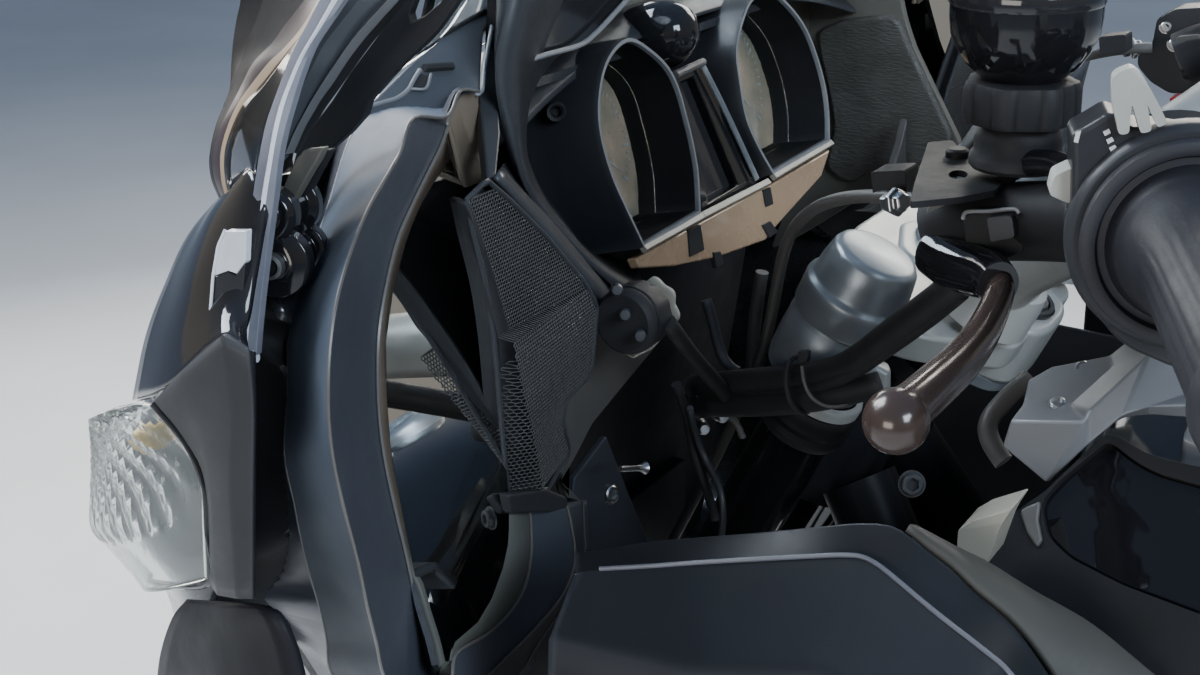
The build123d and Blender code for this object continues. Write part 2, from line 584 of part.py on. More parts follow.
seat_r = loft([seat_section(*r) for r in SEAT_R])
seat_r = minus(seat_r, tank1, frame1, nodes["tank_trims"][0], nodes["tank_trims"][1])
put("rider_seat", *biggest(seat_r))
seat_p = loft([seat_section(*r) for r in SEAT_P])
seat_p = minus(seat_p, nodes["rider_seat"][0], frame1)
put("passenger_seat", *biggest(seat_p))

# tail cowl with rack rails, lamp, mudguard
tail = loft([[(x, -h, zb), (x, h, zb), (x, h + 8, zt - 20), (x, h - 20, zt), (x, -h + 20, zt), (x, -h - 8, zt - 20)]
             for x, h, zb, zt in [(-900, 70, 800, 846), (-800, 130, 786, 856), (-640, 168, 770, 850), (-420, 172, 742, 806), (-260, 150, 726, 776)]])
rack = block(-872, -650, -112, 112, 878, 890) + block(-700, -680, -100, 100, 840, 880) + block(-840, -820, -100, 100, 846, 880)
rack = rack - block(-806, -716, -84, 84, 860, 900)
for s in (-1, 1):
    rack = rack + chain([(-860, s * 120, 880), (-640, s * 178, 886), (-460, s * 190, 856), (-430, s * 176, 800)], 11)
    rack = rack + block(-700, -680, min(s * 96, s * 170), max(s * 96, s * 170), 876, 888)
tail = tail + rack
tail = minus(tail, nodes["passenger_seat"][0], nodes["rider_seat"][0], frame1)
tail = biggest(tail)[0]
lamp_zone_r = block(-930, -884, -66, 66, 804, 842)
tail_lamp = tail & lamp_zone_r
tail = tail - lamp_zone_r
put("tail_rack", *biggest(tail))
put("tail_lamp", *biggest(tail_lamp))
tail1 = nodes["tail_rack"][0]
guard = loft([[(x, -w, z), (x, w, z), (x, w, z + t), (x, -w, z + t)] for x, w, z, t in
              [(-700, 92, 758, 14), (-820, 92, 760, 16), (-930, 84, 742, 16)]])
guard = guard + loft([[(x, -w, z), (x, w, z), (x + 10, w, z + 12), (x + 10, -w, z + 12)] for x, w, z in
                      [(-926, 84, 742), (-1010, 88, 640), (-1105, 90, 470)]])
guard = guard + block(-OVERALL_HALF_LENGTH, -1103, -100, 100, 470, 600)
guard = guard + block(-1090, -1010, -14, 14, 560, 600) + rod((-960, -170, 700), (-960, 170, 700), 8)
for s in (-1, 1):
    guard = guard + rod((-980, s * 165, 700), (-940, s * 165, 700), 22)
guard = guard - block(-1200, -OVERALL_HALF_LENGTH, -300, 300, 300, 900)
guard = minus(guard, tail1, frame1)
put("rear_mudguard", *biggest(guard))

# ---------------------------------------------------------------- panniers
PANNIER = [(-402, 540), (-430, 790), (-470, 826), (-830, 826), (-872, 780), (-880, 600), (-810, 462), (-470, 462)]


def pannier_section(y, k, inset=0.0):
    cx, cz = -640.0, 645.0
    out = []
    for x, z in PANNIER:
        l = math.hypot(x - cx, z - cz)
        kk = k * (l - inset * 1.2) / l
        out.append((cx + (x - cx) * kk, y, cz + (z - cz) * kk))
    return out


case = loft([pannier_section(200, 0.97), pannier_section(230, 1.0), pannier_section(LID_SPLIT_Y - 0.5, 1.0)])
case = case - loft([pannier_section(205, 0.97, 5), pannier_section(232, 1.0, 5), pannier_section(LID_SPLIT_Y + 2, 1.0, 5)])
case = minus(case, tail1, frame1, nodes["exhaust"][0])
put("pannier_cases", *left_right(biggest(case)[0]))
lid = loft([pannier_section(LID_SPLIT_Y + 0.5, 1.0), pannier_section(370, 0.99), pannier_section(414, 0.93), pannier_section(436, 0.82)])
lid = lid - loft([pannier_section(LID_SPLIT_Y - 2, 1.0, 5), pannier_section(368, 0.99, 5), pannier_section(410, 0.93, 5), pannier_section(431, 0.82, 5)])
lid = biggest(lid)[0]
put("left_pannier_lid", lid)
put("right_pannier_lid", mirror(lid, Plane.XZ))

# ---------------------------------------------------------------- stands
px, pz = STAND_PIVOT
cs = rod((px, -166, pz), (px, 166, pz), STAND_TUBE_R)
for s in (-1, 1):
    cs = cs + rod((px, s * 150, pz), (-186, s * 150, 12), 13)
    cs = cs + block(-222, -150, min(s * 132, s * 168), max(s * 132, s * 168), 0, 12)
put("centre_stand", cs)

sa = norm((-1, 0.12, -0.1))
sp = SIDE_PIVOT
tip = tuple(p + 215 * a for p, a in zip(sp, sa))
ss = rod(tuple(p + 10 * c for p, c in zip(sp, side_n)), tuple(p - 12 * c for p, c in zip(sp, side_n)), 16) + rod(sp, tip, 8.5)
ss = ss + rod(tip, tuple(p + 8 * a for p, a in zip(tip, sa)), 20)
ss = ss - rod(tuple(p + 40 * c for p, c in zip(sp, side_n)), tuple(p - 40 * c for p, c in zip(sp, side_n)), 6.3)
pin = rod(tuple(p + 30 * c for p, c in zip(sp, side_n)), tuple(p - 14 * c for p, c in zip(sp, side_n)), 6)
put("side_stand", *biggest(ss))

# the power unit carries the side stand's pin
unit = nodes["power_unit"][0]
clear = rod(tuple(p + 11 * c for p, c in zip(sp, side_n)), tuple(p - 40 * c for p, c in zip(sp, side_n)), 40)
unit = unit - clear + pin
put("power_unit", *biggest(unit))

# ---------------------------------------------------------------- export
for name, solids in nodes.items():
    shape = solids[0] if len(solids) == 1 else Compound(children=[Solid(s.wrapped) if not isinstance(s, Solid) else s for s in solids])
    shape.label = name
    export_step(shape, "parts/%s.step" % name)
    print(name, len(solids), round(sum(s.volume for s in solids) / 1e3, 1))
print("nodes", len(nodes))
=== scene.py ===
import bpy
import bmesh
import math
import numpy as np
from mathutils import Matrix, Vector


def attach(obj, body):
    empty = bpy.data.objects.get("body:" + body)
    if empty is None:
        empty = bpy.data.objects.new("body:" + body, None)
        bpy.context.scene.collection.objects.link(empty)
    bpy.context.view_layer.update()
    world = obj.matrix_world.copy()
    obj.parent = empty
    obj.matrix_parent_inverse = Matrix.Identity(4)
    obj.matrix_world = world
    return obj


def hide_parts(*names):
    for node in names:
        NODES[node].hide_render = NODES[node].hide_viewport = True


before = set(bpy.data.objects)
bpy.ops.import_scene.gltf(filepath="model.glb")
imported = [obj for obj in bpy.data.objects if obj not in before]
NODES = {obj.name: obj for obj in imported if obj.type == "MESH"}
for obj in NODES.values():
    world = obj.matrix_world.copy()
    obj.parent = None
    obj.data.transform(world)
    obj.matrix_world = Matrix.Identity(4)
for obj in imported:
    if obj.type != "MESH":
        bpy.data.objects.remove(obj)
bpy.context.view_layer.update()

# ------------------------------------------------------------------ camera
CAM_AT = Vector((0.136128, 0.811533, 1.2657418))
FOCAL_PX, YAW, PITCH, ROLL = 1749.64, 30.8616, 19.8457, -1.2173
IMG_W, IMG_H = 1200.0, 675.0


def cam_axes():
    th, ph, ro = (math.radians(a) for a in (YAW, PITCH, ROLL))
    h = Vector((math.sin(th), -math.cos(th), 0))
    r = Vector((-math.cos(th), -math.sin(th), 0))
    up = Vector((0, 0, 1))
    w = math.cos(ph) * h - math.sin(ph) * up
    u = math.sin(ph) * h + math.cos(ph) * up
    return math.cos(ro) * r + math.sin(ro) * u, math.cos(ro) * u - math.sin(ro) * r, w


CAM_R, CAM_U, CAM_W = cam_axes()
cam_data = bpy.data.cameras.new("camera")
cam = bpy.data.objects.new("camera", cam_data)
bpy.context.scene.collection.objects.link(cam)
cam_data.sensor_width = 36.0
cam_data.lens = 36.0 * FOCAL_PX / IMG_W
cam_data.clip_start, cam_data.clip_end = 0.02, 100.0
cam.matrix_world = Matrix.Translation(CAM_AT) @ Matrix((CAM_R, CAM_U, -CAM_W)).transposed().to_4x4()
bpy.context.scene.camera = cam


def ray(px, py):
    return CAM_W + CAM_R * ((px - IMG_W / 2) / FOCAL_PX) - CAM_U * ((py - IMG_H / 2) / FOCAL_PX)


def on(px, py, p0, n):
    """The point of the picture at (px, py) on the plane through p0 with normal n."""
    d, n = ray(px, py), Vector(n)
    return CAM_AT + d * ((Vector(p0) - CAM_AT).dot(n) / d.dot(n))


def at(px, py, x=None, y=None, z=None):
    d = ray(px, py)
    if x is not None:
        return CAM_AT + d * ((x - CAM_AT.x) / d.x)
    if y is not None:
        return CAM_AT + d * ((y - CAM_AT.y) / d.y)
    return CAM_AT + d * ((z - CAM_AT.z) / d.z)


# ------------------------------------------------------------------ materials
def new_mat(name):
    m = bpy.data.materials.new(name)
    m.use_nodes = True
    return m, m.node_tree, m.node_tree.nodes["Principled BSDF"]


def noise(nt, scale, detail=4.0, rough=0.55, dim="3D"):
    tc = nt.nodes.new("ShaderNodeTexCoord")
    n = nt.nodes.new("ShaderNodeTexNoise")
    n.inputs["Scale"].default_value = scale
    n.inputs["Detail"].default_value = detail
    n.inputs["Roughness"].default_value = rough
    nt.links.new(tc.outputs["Object"], n.inputs["Vector"])
    return n


def ramp(nt, src, a, b, lo=0.35, hi=0.65):
    r = nt.nodes.new("ShaderNodeValToRGB")
    r.color_ramp.elements[0].position, r.color_ramp.elements[1].position = lo, hi
    r.color_ramp.elements[0].color = (*a, 1)
    r.color_ramp.elements[1].color = (*b, 1)
    nt.links.new(src, r.inputs["Fac"])
    return r


def maprange(nt, src, lo, hi, a=0.3, b=0.7):
    m = nt.nodes.new("ShaderNodeMapRange")
    m.inputs["From Min"].default_value, m.inputs["From Max"].default_value = a, b
    m.inputs["To Min"].default_value, m.inputs["To Max"].default_value = lo, hi
    nt.links.new(src, m.inputs["Value"])
    return m


def bump(nt, src, strength, dist, base=None):
    b = nt.nodes.new("ShaderNodeBump")
    b.inputs["Strength"].default_value = strength
    b.inputs["Distance"].default_value = dist
    nt.links.new(src, b.inputs["Height"])
    if base is not None:
        nt.links.new(base.outputs["Normal"], b.inputs["Normal"])
    return b


def edge_wear(nt, color_out, bright, amount=0.5):
    """Lighter colour along convex edges, from the surface's pointiness."""
    g = nt.nodes.new("ShaderNodeNewGeometry")
    m = maprange(nt, g.outputs["Pointiness"], 0.0, amount, 0.52, 0.60)
    mix = nt.nodes.new("ShaderNodeMix")
    mix.data_type = "RGBA"
    nt.links.new(m.outputs[0], mix.inputs["Factor"])
    nt.links.new(color_out, mix.inputs["A"])
    mix.inputs["B"].default_value = (*bright, 1)
    return mix.outputs["Result"]


def plastic(name, c1, c2, rough=(0.35, 0.5), grain=900, grain_h=0.00012, blotch=9, wear=None, metallic=0.0, coat=0.0,
            coat_rough=0.1, spec=0.5, sheen=0.0, strength=0.5):
    m, nt, p = new_mat(name)
    big = noise(nt, blotch, 5)
    col = ramp(nt, big.outputs["Fac"], c1, c2)
    out = col.outputs["Color"]
    if wear:
        out = edge_wear(nt, out, wear)
    nt.links.new(out, p.inputs["Base Color"])
    mid = noise(nt, blotch * 7, 6, 0.65)
    nt.links.new(maprange(nt, mid.outputs["Fac"], rough[0], rough[1]).outputs[0], p.inputs["Roughness"])
    p.inputs["Metallic"].default_value = metallic
    p.inputs["Specular IOR Level"].default_value = spec
    if coat:
        p.inputs["Coat Weight"].default_value = coat
        p.inputs["Coat Roughness"].default_value = coat_rough
    if sheen:
        p.inputs["Sheen Weight"].default_value = sheen
    if grain_h:
        fine = noise(nt, grain, 2, 0.5)
        b = bump(nt, fine.outputs["Fac"], strength, grain_h)
        nt.links.new(b.outputs["Normal"], p.inputs["Normal"])
    return m


def cell_grain(name, c1, c2, scale, height, rough=(0.5, 0.65), stretch=(1, 1, 1), warp=0.0):
    """Moulded or tanned grain: raised cells between fine creases."""
    m, nt, p = new_mat(name)
    tc = nt.nodes.new("ShaderNodeTexCoord")
    mp = nt.nodes.new("ShaderNodeMapping")
    mp.inputs["Scale"].default_value = stretch
    nt.links.new(tc.outputs["Object"], mp.inputs["Vector"])
    v = nt.nodes.new("ShaderNodeTexVoronoi")
    v.feature = "DISTANCE_TO_EDGE"
    v.inputs["Scale"].default_value = scale
    nt.links.new(mp.outputs["Vector"], v.inputs["Vector"])
    hgt = maprange(nt, v.outputs["Distance"], 0, 1, 0.0, 0.22)
    n = noise(nt, scale * 0.13, 4)
    col = ramp(nt, n.outputs["Fac"], c1, c2)
    nt.links.new(col.outputs["Color"], p.inputs["Base Color"])
    nt.links.new(maprange(nt, n.outputs["Fac"], rough[0], rough[1]).outputs[0], p.inputs["Roughness"])
    b1 = bump(nt, n.outputs["Fac"], 0.35, height * 1.5)
    b2 = bump(nt, hgt.outputs[0], 0.8, height, b1)
    nt.links.new(b2.outputs["Normal"], p.inputs["Normal"])
    return m


def glassy(name, color, rough=0.02, trans=1.0, ior=1.49, alpha=1.0, scratch=0.0006, coat=0.0):
    m, nt, p = new_mat(name)
    n = noise(nt, 18, 5)
    col = ramp(nt, n.outputs["Fac"], tuple(0.97 * c for c in color), color)
    nt.links.new(col.outputs["Color"], p.inputs["Base Color"])
    nt.links.new(maprange(nt, n.outputs["Fac"], rough, rough * 2.5 + 0.01).outputs[0], p.inputs["Roughness"])
    p.inputs["Transmission Weight"].default_value = trans
    p.inputs["IOR"].default_value = ior
    p.inputs["Alpha"].default_value = alpha
    f = noise(nt, 60, 3)
    b = bump(nt, f.outputs["Fac"], 0.2, scratch)
    nt.links.new(b.outputs["Normal"], p.inputs["Normal"])
    return m


M = {}
M["satin"] = plastic("satin_black_moulding", (0.018, 0.019, 0.022), (0.027, 0.028, 0.032), (0.30, 0.42), grain=1500, spec=0.34,
                     grain_h=0.00006, wear=(0.09, 0.095, 0.105), strength=0.35)
M["housing"] = plastic("housing_satin", (0.040, 0.045, 0.058), (0.054, 0.060, 0.076), (0.28, 0.36), grain=1800,
                       grain_h=0.00005, wear=(0.17, 0.18, 0.20), strength=0.3)
# painted sheen: the outer band is a lighter, bluer copy of the housing plastic
M["band"] = plastic("housing_band_painted_sheen", (0.068, 0.088, 0.120), (0.088, 0.113, 0.150), (0.52, 0.60), grain=1800, spec=0.2,
                    grain_h=0.00005, strength=0.3)
# painted shade: the band darkens to near black towards low z, at the bottom of the loop
_nt = M["band"].node_tree
_p = _nt.nodes["Principled BSDF"]
_tc = _nt.nodes.new("ShaderNodeTexCoord")
_sep = _nt.nodes.new("ShaderNodeSeparateXYZ")
_nt.links.new(_tc.outputs["Object"], _sep.inputs[0])
_shade_fade = maprange(_nt, _sep.outputs[2], 0.0, 1.0, 0.90, 1.07)
_shade_mix = _nt.nodes.new("ShaderNodeMix")
_shade_mix.data_type = "RGBA"
_nt.links.new(_shade_fade.outputs[0], _shade_mix.inputs["Factor"])
_shade_mix.inputs["A"].default_value = (0.038, 0.039, 0.043, 1)
_nt.links.new(_p.inputs["Base Color"].links[0].from_socket, _shade_mix.inputs["B"])
_nt.links.new(_shade_mix.outputs["Result"], _p.inputs["Base Color"])
# painted highlight: pale colour for the light caught along the loop's creases and lip
M["piping"] = plastic("pale_crease_painted_highlight", (0.090, 0.084, 0.079), (0.122, 0.114, 0.107), (0.3, 0.4), grain=1500, grain_h=0.00004)
M["edge_brown"] = plastic("dark_brown_front_edge", (0.034, 0.024, 0.028), (0.050, 0.036, 0.040), (0.26, 0.34), grain=400, grain_h=0.00006, spec=0.2)
M["acrylic_dim"] = plastic("dim_acrylic", (0.013, 0.012, 0.013), (0.028, 0.024, 0.023), (0.50, 0.60), grain=260, grain_h=0.00006, blotch=14, spec=0.08)
# painted light: warm tan line for the light showing through the deflector's clear edge
M["acrylic_tan"] = plastic("acrylic_painted_light_line", (0.30, 0.22, 0.15), (0.42, 0.32, 0.22), (0.3, 0.4), grain=260, grain_h=0.00006, blotch=14, spec=0.25)
M["low_black"] = plastic("lower_black_lacquer", (0.006, 0.006, 0.008), (0.011, 0.011, 0.013), (0.34, 0.44), grain=700, grain_h=0.00008, spec=0.07,
                         wear=(0.035, 0.035, 0.04), strength=0.3)
M["side_shell"] = plastic("side_shell_satin", (0.030, 0.0305, 0.032), (0.042, 0.043, 0.045), (0.42, 0.52), grain=1400, grain_h=0.00008, spec=0.22,
                          wear=(0.10, 0.10, 0.11), strength=0.4)
M["acrylic"] = plastic("lit_acrylic_edge", (0.13, 0.135, 0.165), (0.23, 0.24, 0.285), (0.16, 0.26), grain=260, grain_h=0.00010, blotch=22, coat=0.5,
                       coat_rough=0.05)
# painted highlight: near-white colour for the light in the deflector's thick clear edge
M["acrylic_core"] = plastic("acrylic_core_painted_highlight", (0.66, 0.68, 0.74), (0.80, 0.82, 0.88), (0.10, 0.2), grain=260, grain_h=0.00008, blotch=22,
                            coat=0.5, coat_rough=0.05)
M["carrier"] = plastic("grey_blue_satin", (0.042, 0.046, 0.056), (0.060, 0.068, 0.080), (0.30, 0.4), grain=1500, grain_h=0.00005,
                       wear=(0.16, 0.17, 0.19))
M["olive_bar"] = plastic("olive_beige_bar", (0.25, 0.235, 0.19), (0.31, 0.29, 0.24), (0.35, 0.45), grain=1500, grain_h=0.00005,
                         wear=(0.45, 0.42, 0.36))
M["shelf"] = plastic("fairing_satin", (0.013, 0.0145, 0.018), (0.020, 0.022, 0.027), (0.36, 0.46), grain=1400, spec=0.24,
                     grain_h=0.00008, wear=(0.10, 0.11, 0.13), strength=0.4)
M["matt"] = plastic("matt_black_moulding", (0.009, 0.009, 0.010), (0.016, 0.016, 0.018), (0.5, 0.68), grain=1100, spec=0.22,
                    grain_h=0.00012, wear=(0.06, 0.06, 0.065))
M["gloss"] = plastic("gloss_black", (0.006, 0.006, 0.007), (0.010, 0.010, 0.012), (0.06, 0.12), grain=60, grain_h=0.0004,
                     wear=(0.05, 0.05, 0.055), coat=0.35, coat_rough=0.04, strength=0.1, spec=0.35)
M["fork"] = plastic("fork_hard_coat", (0.006, 0.006, 0.007), (0.011, 0.011, 0.012), (0.08, 0.14), grain=90, grain_h=0.0003,
                    coat=0.8, coat_rough=0.05, strength=0.12)
M["paint"] = plastic("graphite_paint", (0.030, 0.032, 0.036), (0.036, 0.039, 0.044), (0.24, 0.30), grain=2200,
                     grain_h=0.00003, wear=(0.09, 0.09, 0.1), coat=0.8, coat_rough=0.05, metallic=0.35, strength=0.2)
M["tank_black"] = plastic("tank_black_lacquer", (0.003, 0.003, 0.004), (0.006, 0.006, 0.008), (0.02, 0.05), grain=34, grain_h=0.0016, spec=0.5,
                          wear=(0.03, 0.03, 0.035), strength=0.6)
M["strip_olive"] = plastic("dark_olive_moulding", (0.060, 0.058, 0.052), (0.080, 0.077, 0.068), (0.48, 0.6), grain=1400,
                           grain_h=0.00008, spec=0.25)
M["mesh"] = plastic("grille_mesh", (0.050, 0.047, 0.045), (0.072, 0.070, 0.070), (0.4, 0.55), grain=900, grain_h=0.00006)
# painted highlight: light grey-blue for the light caught along the fairing's rim crease
M["rim_line"] = plastic("fairing_rim_painted_highlight", (0.10, 0.105, 0.125), (0.14, 0.145, 0.17), (0.3, 0.4), grain=1200, grain_h=0.00005)
M["warm_panel"] = plastic("warm_grey_moulding", (0.060, 0.057, 0.054), (0.078, 0.074, 0.070), (0.42, 0.55), grain=1400,
                          grain_h=0.00008, wear=(0.14, 0.135, 0.13))
M["tan_edge"] = plastic("lit_inner_bevel", (0.165, 0.132, 0.100), (0.225, 0.182, 0.140), (0.40, 0.50), grain=1500,
                        grain_h=0.00005, spec=0.3)
# painted shade: the lit bevel colour turns dark olive grey towards low z, along the lower arm
_nt = M["tan_edge"].node_tree
_p = _nt.nodes["Principled BSDF"]
_tc = _nt.nodes.new("ShaderNodeTexCoord")
_sep = _nt.nodes.new("ShaderNodeSeparateXYZ")
_nt.links.new(_tc.outputs["Object"], _sep.inputs[0])
_shade_fade = maprange(_nt, _sep.outputs[2], 0.0, 1.0, 0.965, 1.04)
_shade_mix = _nt.nodes.new("ShaderNodeMix")
_shade_mix.data_type = "RGBA"
_nt.links.new(_shade_fade.outputs[0], _shade_mix.inputs["Factor"])
_shade_mix.inputs["A"].default_value = (0.075, 0.077, 0.070, 1)
_nt.links.new(_p.inputs["Base Color"].links[0].from_socket, _shade_mix.inputs["B"])
_nt.links.new(_shade_mix.outputs["Result"], _p.inputs["Base Color"])
M["olive"] = plastic("olive_grey_moulding", (0.088, 0.085, 0.072), (0.112, 0.108, 0.092), (0.45, 0.58), grain=1400,
                     grain_h=0.00008, wear=(0.18, 0.17, 0.15))
M["silver"] = plastic("cast_silver", (0.175, 0.20, 0.225), (0.225, 0.255, 0.28), (0.30, 0.42), grain=2400, grain_h=0.00007,
                      wear=(0.6, 0.61, 0.62), metallic=0.55, strength=0.5)
M["silver_pale"] = plastic("pale_silver_cast", (0.34, 0.345, 0.33), (0.42, 0.425, 0.405), (0.34, 0.46), grain=2400, grain_h=0.00007,
                           wear=(0.75, 0.75, 0.73), metallic=0.35, strength=0.5)
M["trim"] = plastic("silver_grey_trim", (0.145, 0.150, 0.162), (0.185, 0.19, 0.202), (0.36, 0.48), grain=1900, grain_h=0.00006,
                    wear=(0.42, 0.43, 0.45), metallic=0.3, strength=0.4)
M["light_grey"] = plastic("light_grey_button", (0.36, 0.355, 0.32), (0.44, 0.435, 0.40), (0.42, 0.55), grain=1200,
                          grain_h=0.0001, wear=(0.6, 0.6, 0.56))
M["rubber"] = plastic("soft_rubber", (0.009, 0.009, 0.010), (0.016, 0.016, 0.017), (0.5, 0.7), grain=700, spec=0.25, grain_h=0.00015,
                      wear=(0.05, 0.05, 0.05))
M["grip"] = plastic("grip_rubber", (0.013, 0.013, 0.017), (0.021, 0.021, 0.026), (0.42, 0.58), grain=900, spec=0.3, grain_h=0.00012,
                    wear=(0.07, 0.07, 0.08))
M["steel"] = plastic("zinc_steel", (0.42, 0.42, 0.42), (0.55, 0.55, 0.56), (0.22, 0.4), grain=1500, grain_h=0.00005,
                     metallic=1.0, wear=(0.8, 0.8, 0.8))
M["dark_steel"] = plastic("black_steel", (0.018, 0.018, 0.020), (0.030, 0.030, 0.033), (0.35, 0.5), grain=1500, grain_h=0.00008,
                          metallic=0.6, wear=(0.2, 0.2, 0.2))
M["chrome"] = plastic("polished_metal", (0.72, 0.72, 0.72), (0.80, 0.80, 0.80), (0.05, 0.16), grain=300, grain_h=0.00004,
                      metallic=1.0)
M["lever"] = plastic("lever_gloss_bronze", (0.030, 0.020, 0.017), (0.060, 0.040, 0.034), (0.16, 0.26), grain=160, grain_h=0.0001,
                     wear=(0.20, 0.15, 0.12), coat=0.2, coat_rough=0.1, metallic=0.2, strength=0.12)
M["engine"] = plastic("grey_casting", (0.13, 0.133, 0.136), (0.19, 0.193, 0.196), (0.4, 0.58), grain=900, grain_h=0.0002,
                      wear=(0.36, 0.36, 0.36), metallic=0.55)
M["rim"] = plastic("rim_lacquer", (0.032, 0.032, 0.034), (0.045, 0.045, 0.048), (0.25, 0.36), grain=1500, grain_h=0.00005,
                   wear=(0.14, 0.14, 0.14), metallic=0.4, coat=0.3)
M["tyre"] = plastic("tyre_rubber", (0.016, 0.016, 0.017), (0.028, 0.027, 0.026), (0.6, 0.85), grain=500, grain_h=0.0003,
                    blotch=14, wear=(0.06, 0.058, 0.055))
M["vinyl"] = cell_grain("seat_vinyl_grain", (0.018, 0.018, 0.019), (0.030, 0.029, 0.029), 420, 0.00025)
M["pad"] = cell_grain("wavy_moulded_grain", (0.066, 0.064, 0.058), (0.084, 0.081, 0.075), 480, 0.00032, (0.45, 0.6),
                      stretch=(0.22, 1.0, 1.0))
M["clear"] = glassy("clear_acrylic", (0.93, 0.96, 0.98), 0.02, 1.0, 1.49)
M["smoke"] = glassy("smoked_acrylic", (0.52, 0.53, 0.55), 0.05, 1.0, 1.49)
M["screen"] = glassy("screen_acrylic", (0.80, 0.86, 0.90), 0.02, 1.0, 1.49)
M["lens"] = glassy("indicator_lens", (0.88, 0.92, 0.90), 0.04, 0.92, 1.49)
M["red_lens"] = glassy("red_lens", (0.5, 0.01, 0.01), 0.05, 0.6, 1.49)
M["mirror"] = plastic("silvered_glass", (0.86, 0.87, 0.86), (0.88, 0.89, 0.88), (0.008, 0.02), grain=20, grain_h=0.0, metallic=1.0)
M["amber"] = plastic("amber_bulb", (0.80, 0.52, 0.14), (0.90, 0.64, 0.22), (0.2, 0.3), grain=200, grain_h=0.0001)
M["red"] = plastic("red_switch", (0.42, 0.02, 0.03), (0.52, 0.03, 0.04), (0.35, 0.45), grain=900, grain_h=0.0001)
# painted reflection: tan gloss colour for the warm surroundings this panel reflects
M["bronze_panel"] = plastic("tan_painted_reflection_panel", (0.40, 0.265, 0.165), (0.48, 0.33, 0.21), (0.20, 0.32), grain=500, grain_h=0.00005,
                            coat=0.5, coat_rough=0.08)
# painted reflection: mottled tan and cream for the surroundings that the dial glass reflects
M["dial"] = plastic("dial_face_painted_reflection", (0.36, 0.345, 0.25), (0.82, 0.60, 0.42), (0.25, 0.4), grain=900, grain_h=0.00005, blotch=26)
M["white_mark"] = plastic("pale_marking", (0.62, 0.62, 0.60), (0.68, 0.68, 0.66), (0.4, 0.5), grain=900, grain_h=0.0)

CAD_MATS = {
    "front_tyre": "tyre", "rear_tyre": "tyre", "front_rim": "rim", "rear_rim": "rim", "front_brake_discs": "steel",
    "rear_brake_disc": "steel", "fork_legs": "fork", "fork_bridge": "silver", "handlebar": "silver_pale", "hand_grips": "grip",
    "hand_controls": "satin", "accessory_mount": "gloss", "control_hoses": "rubber", "front_mudguard": "paint",
    "brake_calipers": "dark_steel", "cylinder_heads": "engine", "main_frame": "low_black", "foot_rests": "rubber",
    "front_a_arm": "dark_steel", "shock_absorbers": "steel", "rear_swingarm": "engine", "power_unit": "engine",
    "exhaust": "chrome", "headlamp": "lens", "nose_fairing": "paint", "side_fairings": "shelf", "mirror_housings": "housing",
    "mirror_glasses": "mirror", "front_indicators": "lens", "cockpit_panel": "satin", "speaker_grilles": "matt",
    "instrument_pods": "satin", "windscreen": "screen", "wind_deflectors": "clear", "fuel_tank": "gloss",
    "tank_trims": "trim", "rider_seat": "vinyl", "passenger_seat": "vinyl", "tail_rack": "shelf", "tail_lamp": "red_lens",
    "rear_mudguard": "matt", "pannier_cases": "shelf", "left_pannier_lid": "paint", "right_pannier_lid": "paint",
    "centre_stand": "dark_steel", "side_stand": "dark_steel"}
for name, key in CAD_MATS.items():
    o = NODES[name]
    o.data.materials.clear()
    o.data.materials.append(M[key])

# ------------------------------------------------------------------ stage and light
bpy.ops.mesh.primitive_plane_add(size=30, location=(0, 0, 0))
floor = bpy.context.object
floor.name = "floor"
fm, fnt, fp = new_mat("floor_pale")
fn = noise(fnt, 1.2, 4)
fnt.links.new(ramp(fnt, fn.outputs["Fac"], (0.60, 0.595, 0.585), (0.66, 0.655, 0.645)).outputs["Color"], fp.inputs["Base Color"])
fp.inputs["Roughness"].default_value = 0.8
floor.data.materials.append(fm)

world = bpy.data.worlds.new("studio")
bpy.context.scene.world = world
world.use_nodes = True
wnt = world.node_tree
bg = wnt.nodes["Background"]
wtc = wnt.nodes.new("ShaderNodeTexCoord")
wsep = wnt.nodes.new("ShaderNodeSeparateXYZ")
wnt.links.new(wtc.outputs["Generated"], wsep.inputs[0])
wr = wnt.nodes.new("ShaderNodeValToRGB")
wr.color_ramp.elements[0].position, wr.color_ramp.elements[1].position = 0.0, 0.75
wr.color_ramp.elements[0].color = (0.62, 0.575, 0.51, 1)
wr.color_ramp.elements[1].color = (0.42, 0.60, 0.95, 1)
mid_ = wr.color_ramp.elements.new(0.22)
mid_.color = (0.58, 0.60, 0.62, 1)
wnt.links.new(wsep.outputs[2], wr.inputs["Fac"])
wnt.links.new(wr.outputs["Color"], bg.inputs["Color"])
bg.inputs["Strength"].default_value = 0.40


def area(name, loc, target, size, power, color):
    d = bpy.data.lights.new(name, "AREA")
    d.shape = "RECTANGLE"
    d.size, d.size_y = size
    d.energy = power
    d.color = color
    o = bpy.data.objects.new(name, d)
    bpy.context.scene.collection.objects.link(o)
    o.location = loc
    o.rotation_mode = "QUATERNION"
    o.rotation_quaternion = (Vector(target) - Vector(loc)).to_track_quat("-Z", "Y")
    return o


area("key", (2.8, 0.3, 3.2), (0.3, 0.1, 0.95), (1.8, 1.8), 200, (0.86, 0.93, 1.0))
area("front_fill", (3.0, -1.6, 1.8), (0.3, 0, 0.95), (2.0, 1.4), 60, (1.0, 0.95, 0.88))
area("rear_fill", (-2.4, 1.6, 2.6), (0.3, 0.2, 0.95), (1.6, 1.2), 115, (0.74, 0.87, 1.0))
area("left_soft", (0.6, 3.4, 1.3), (0.3, 0, 0.8), (1.6, 1.0), 35, (1.0, 0.95, 0.88))
area("right_rim", (0.4, -3.0, 2.4), (0.3, 0, 0.95), (2.2, 1.2), 75, (1.0, 0.95, 0.86))
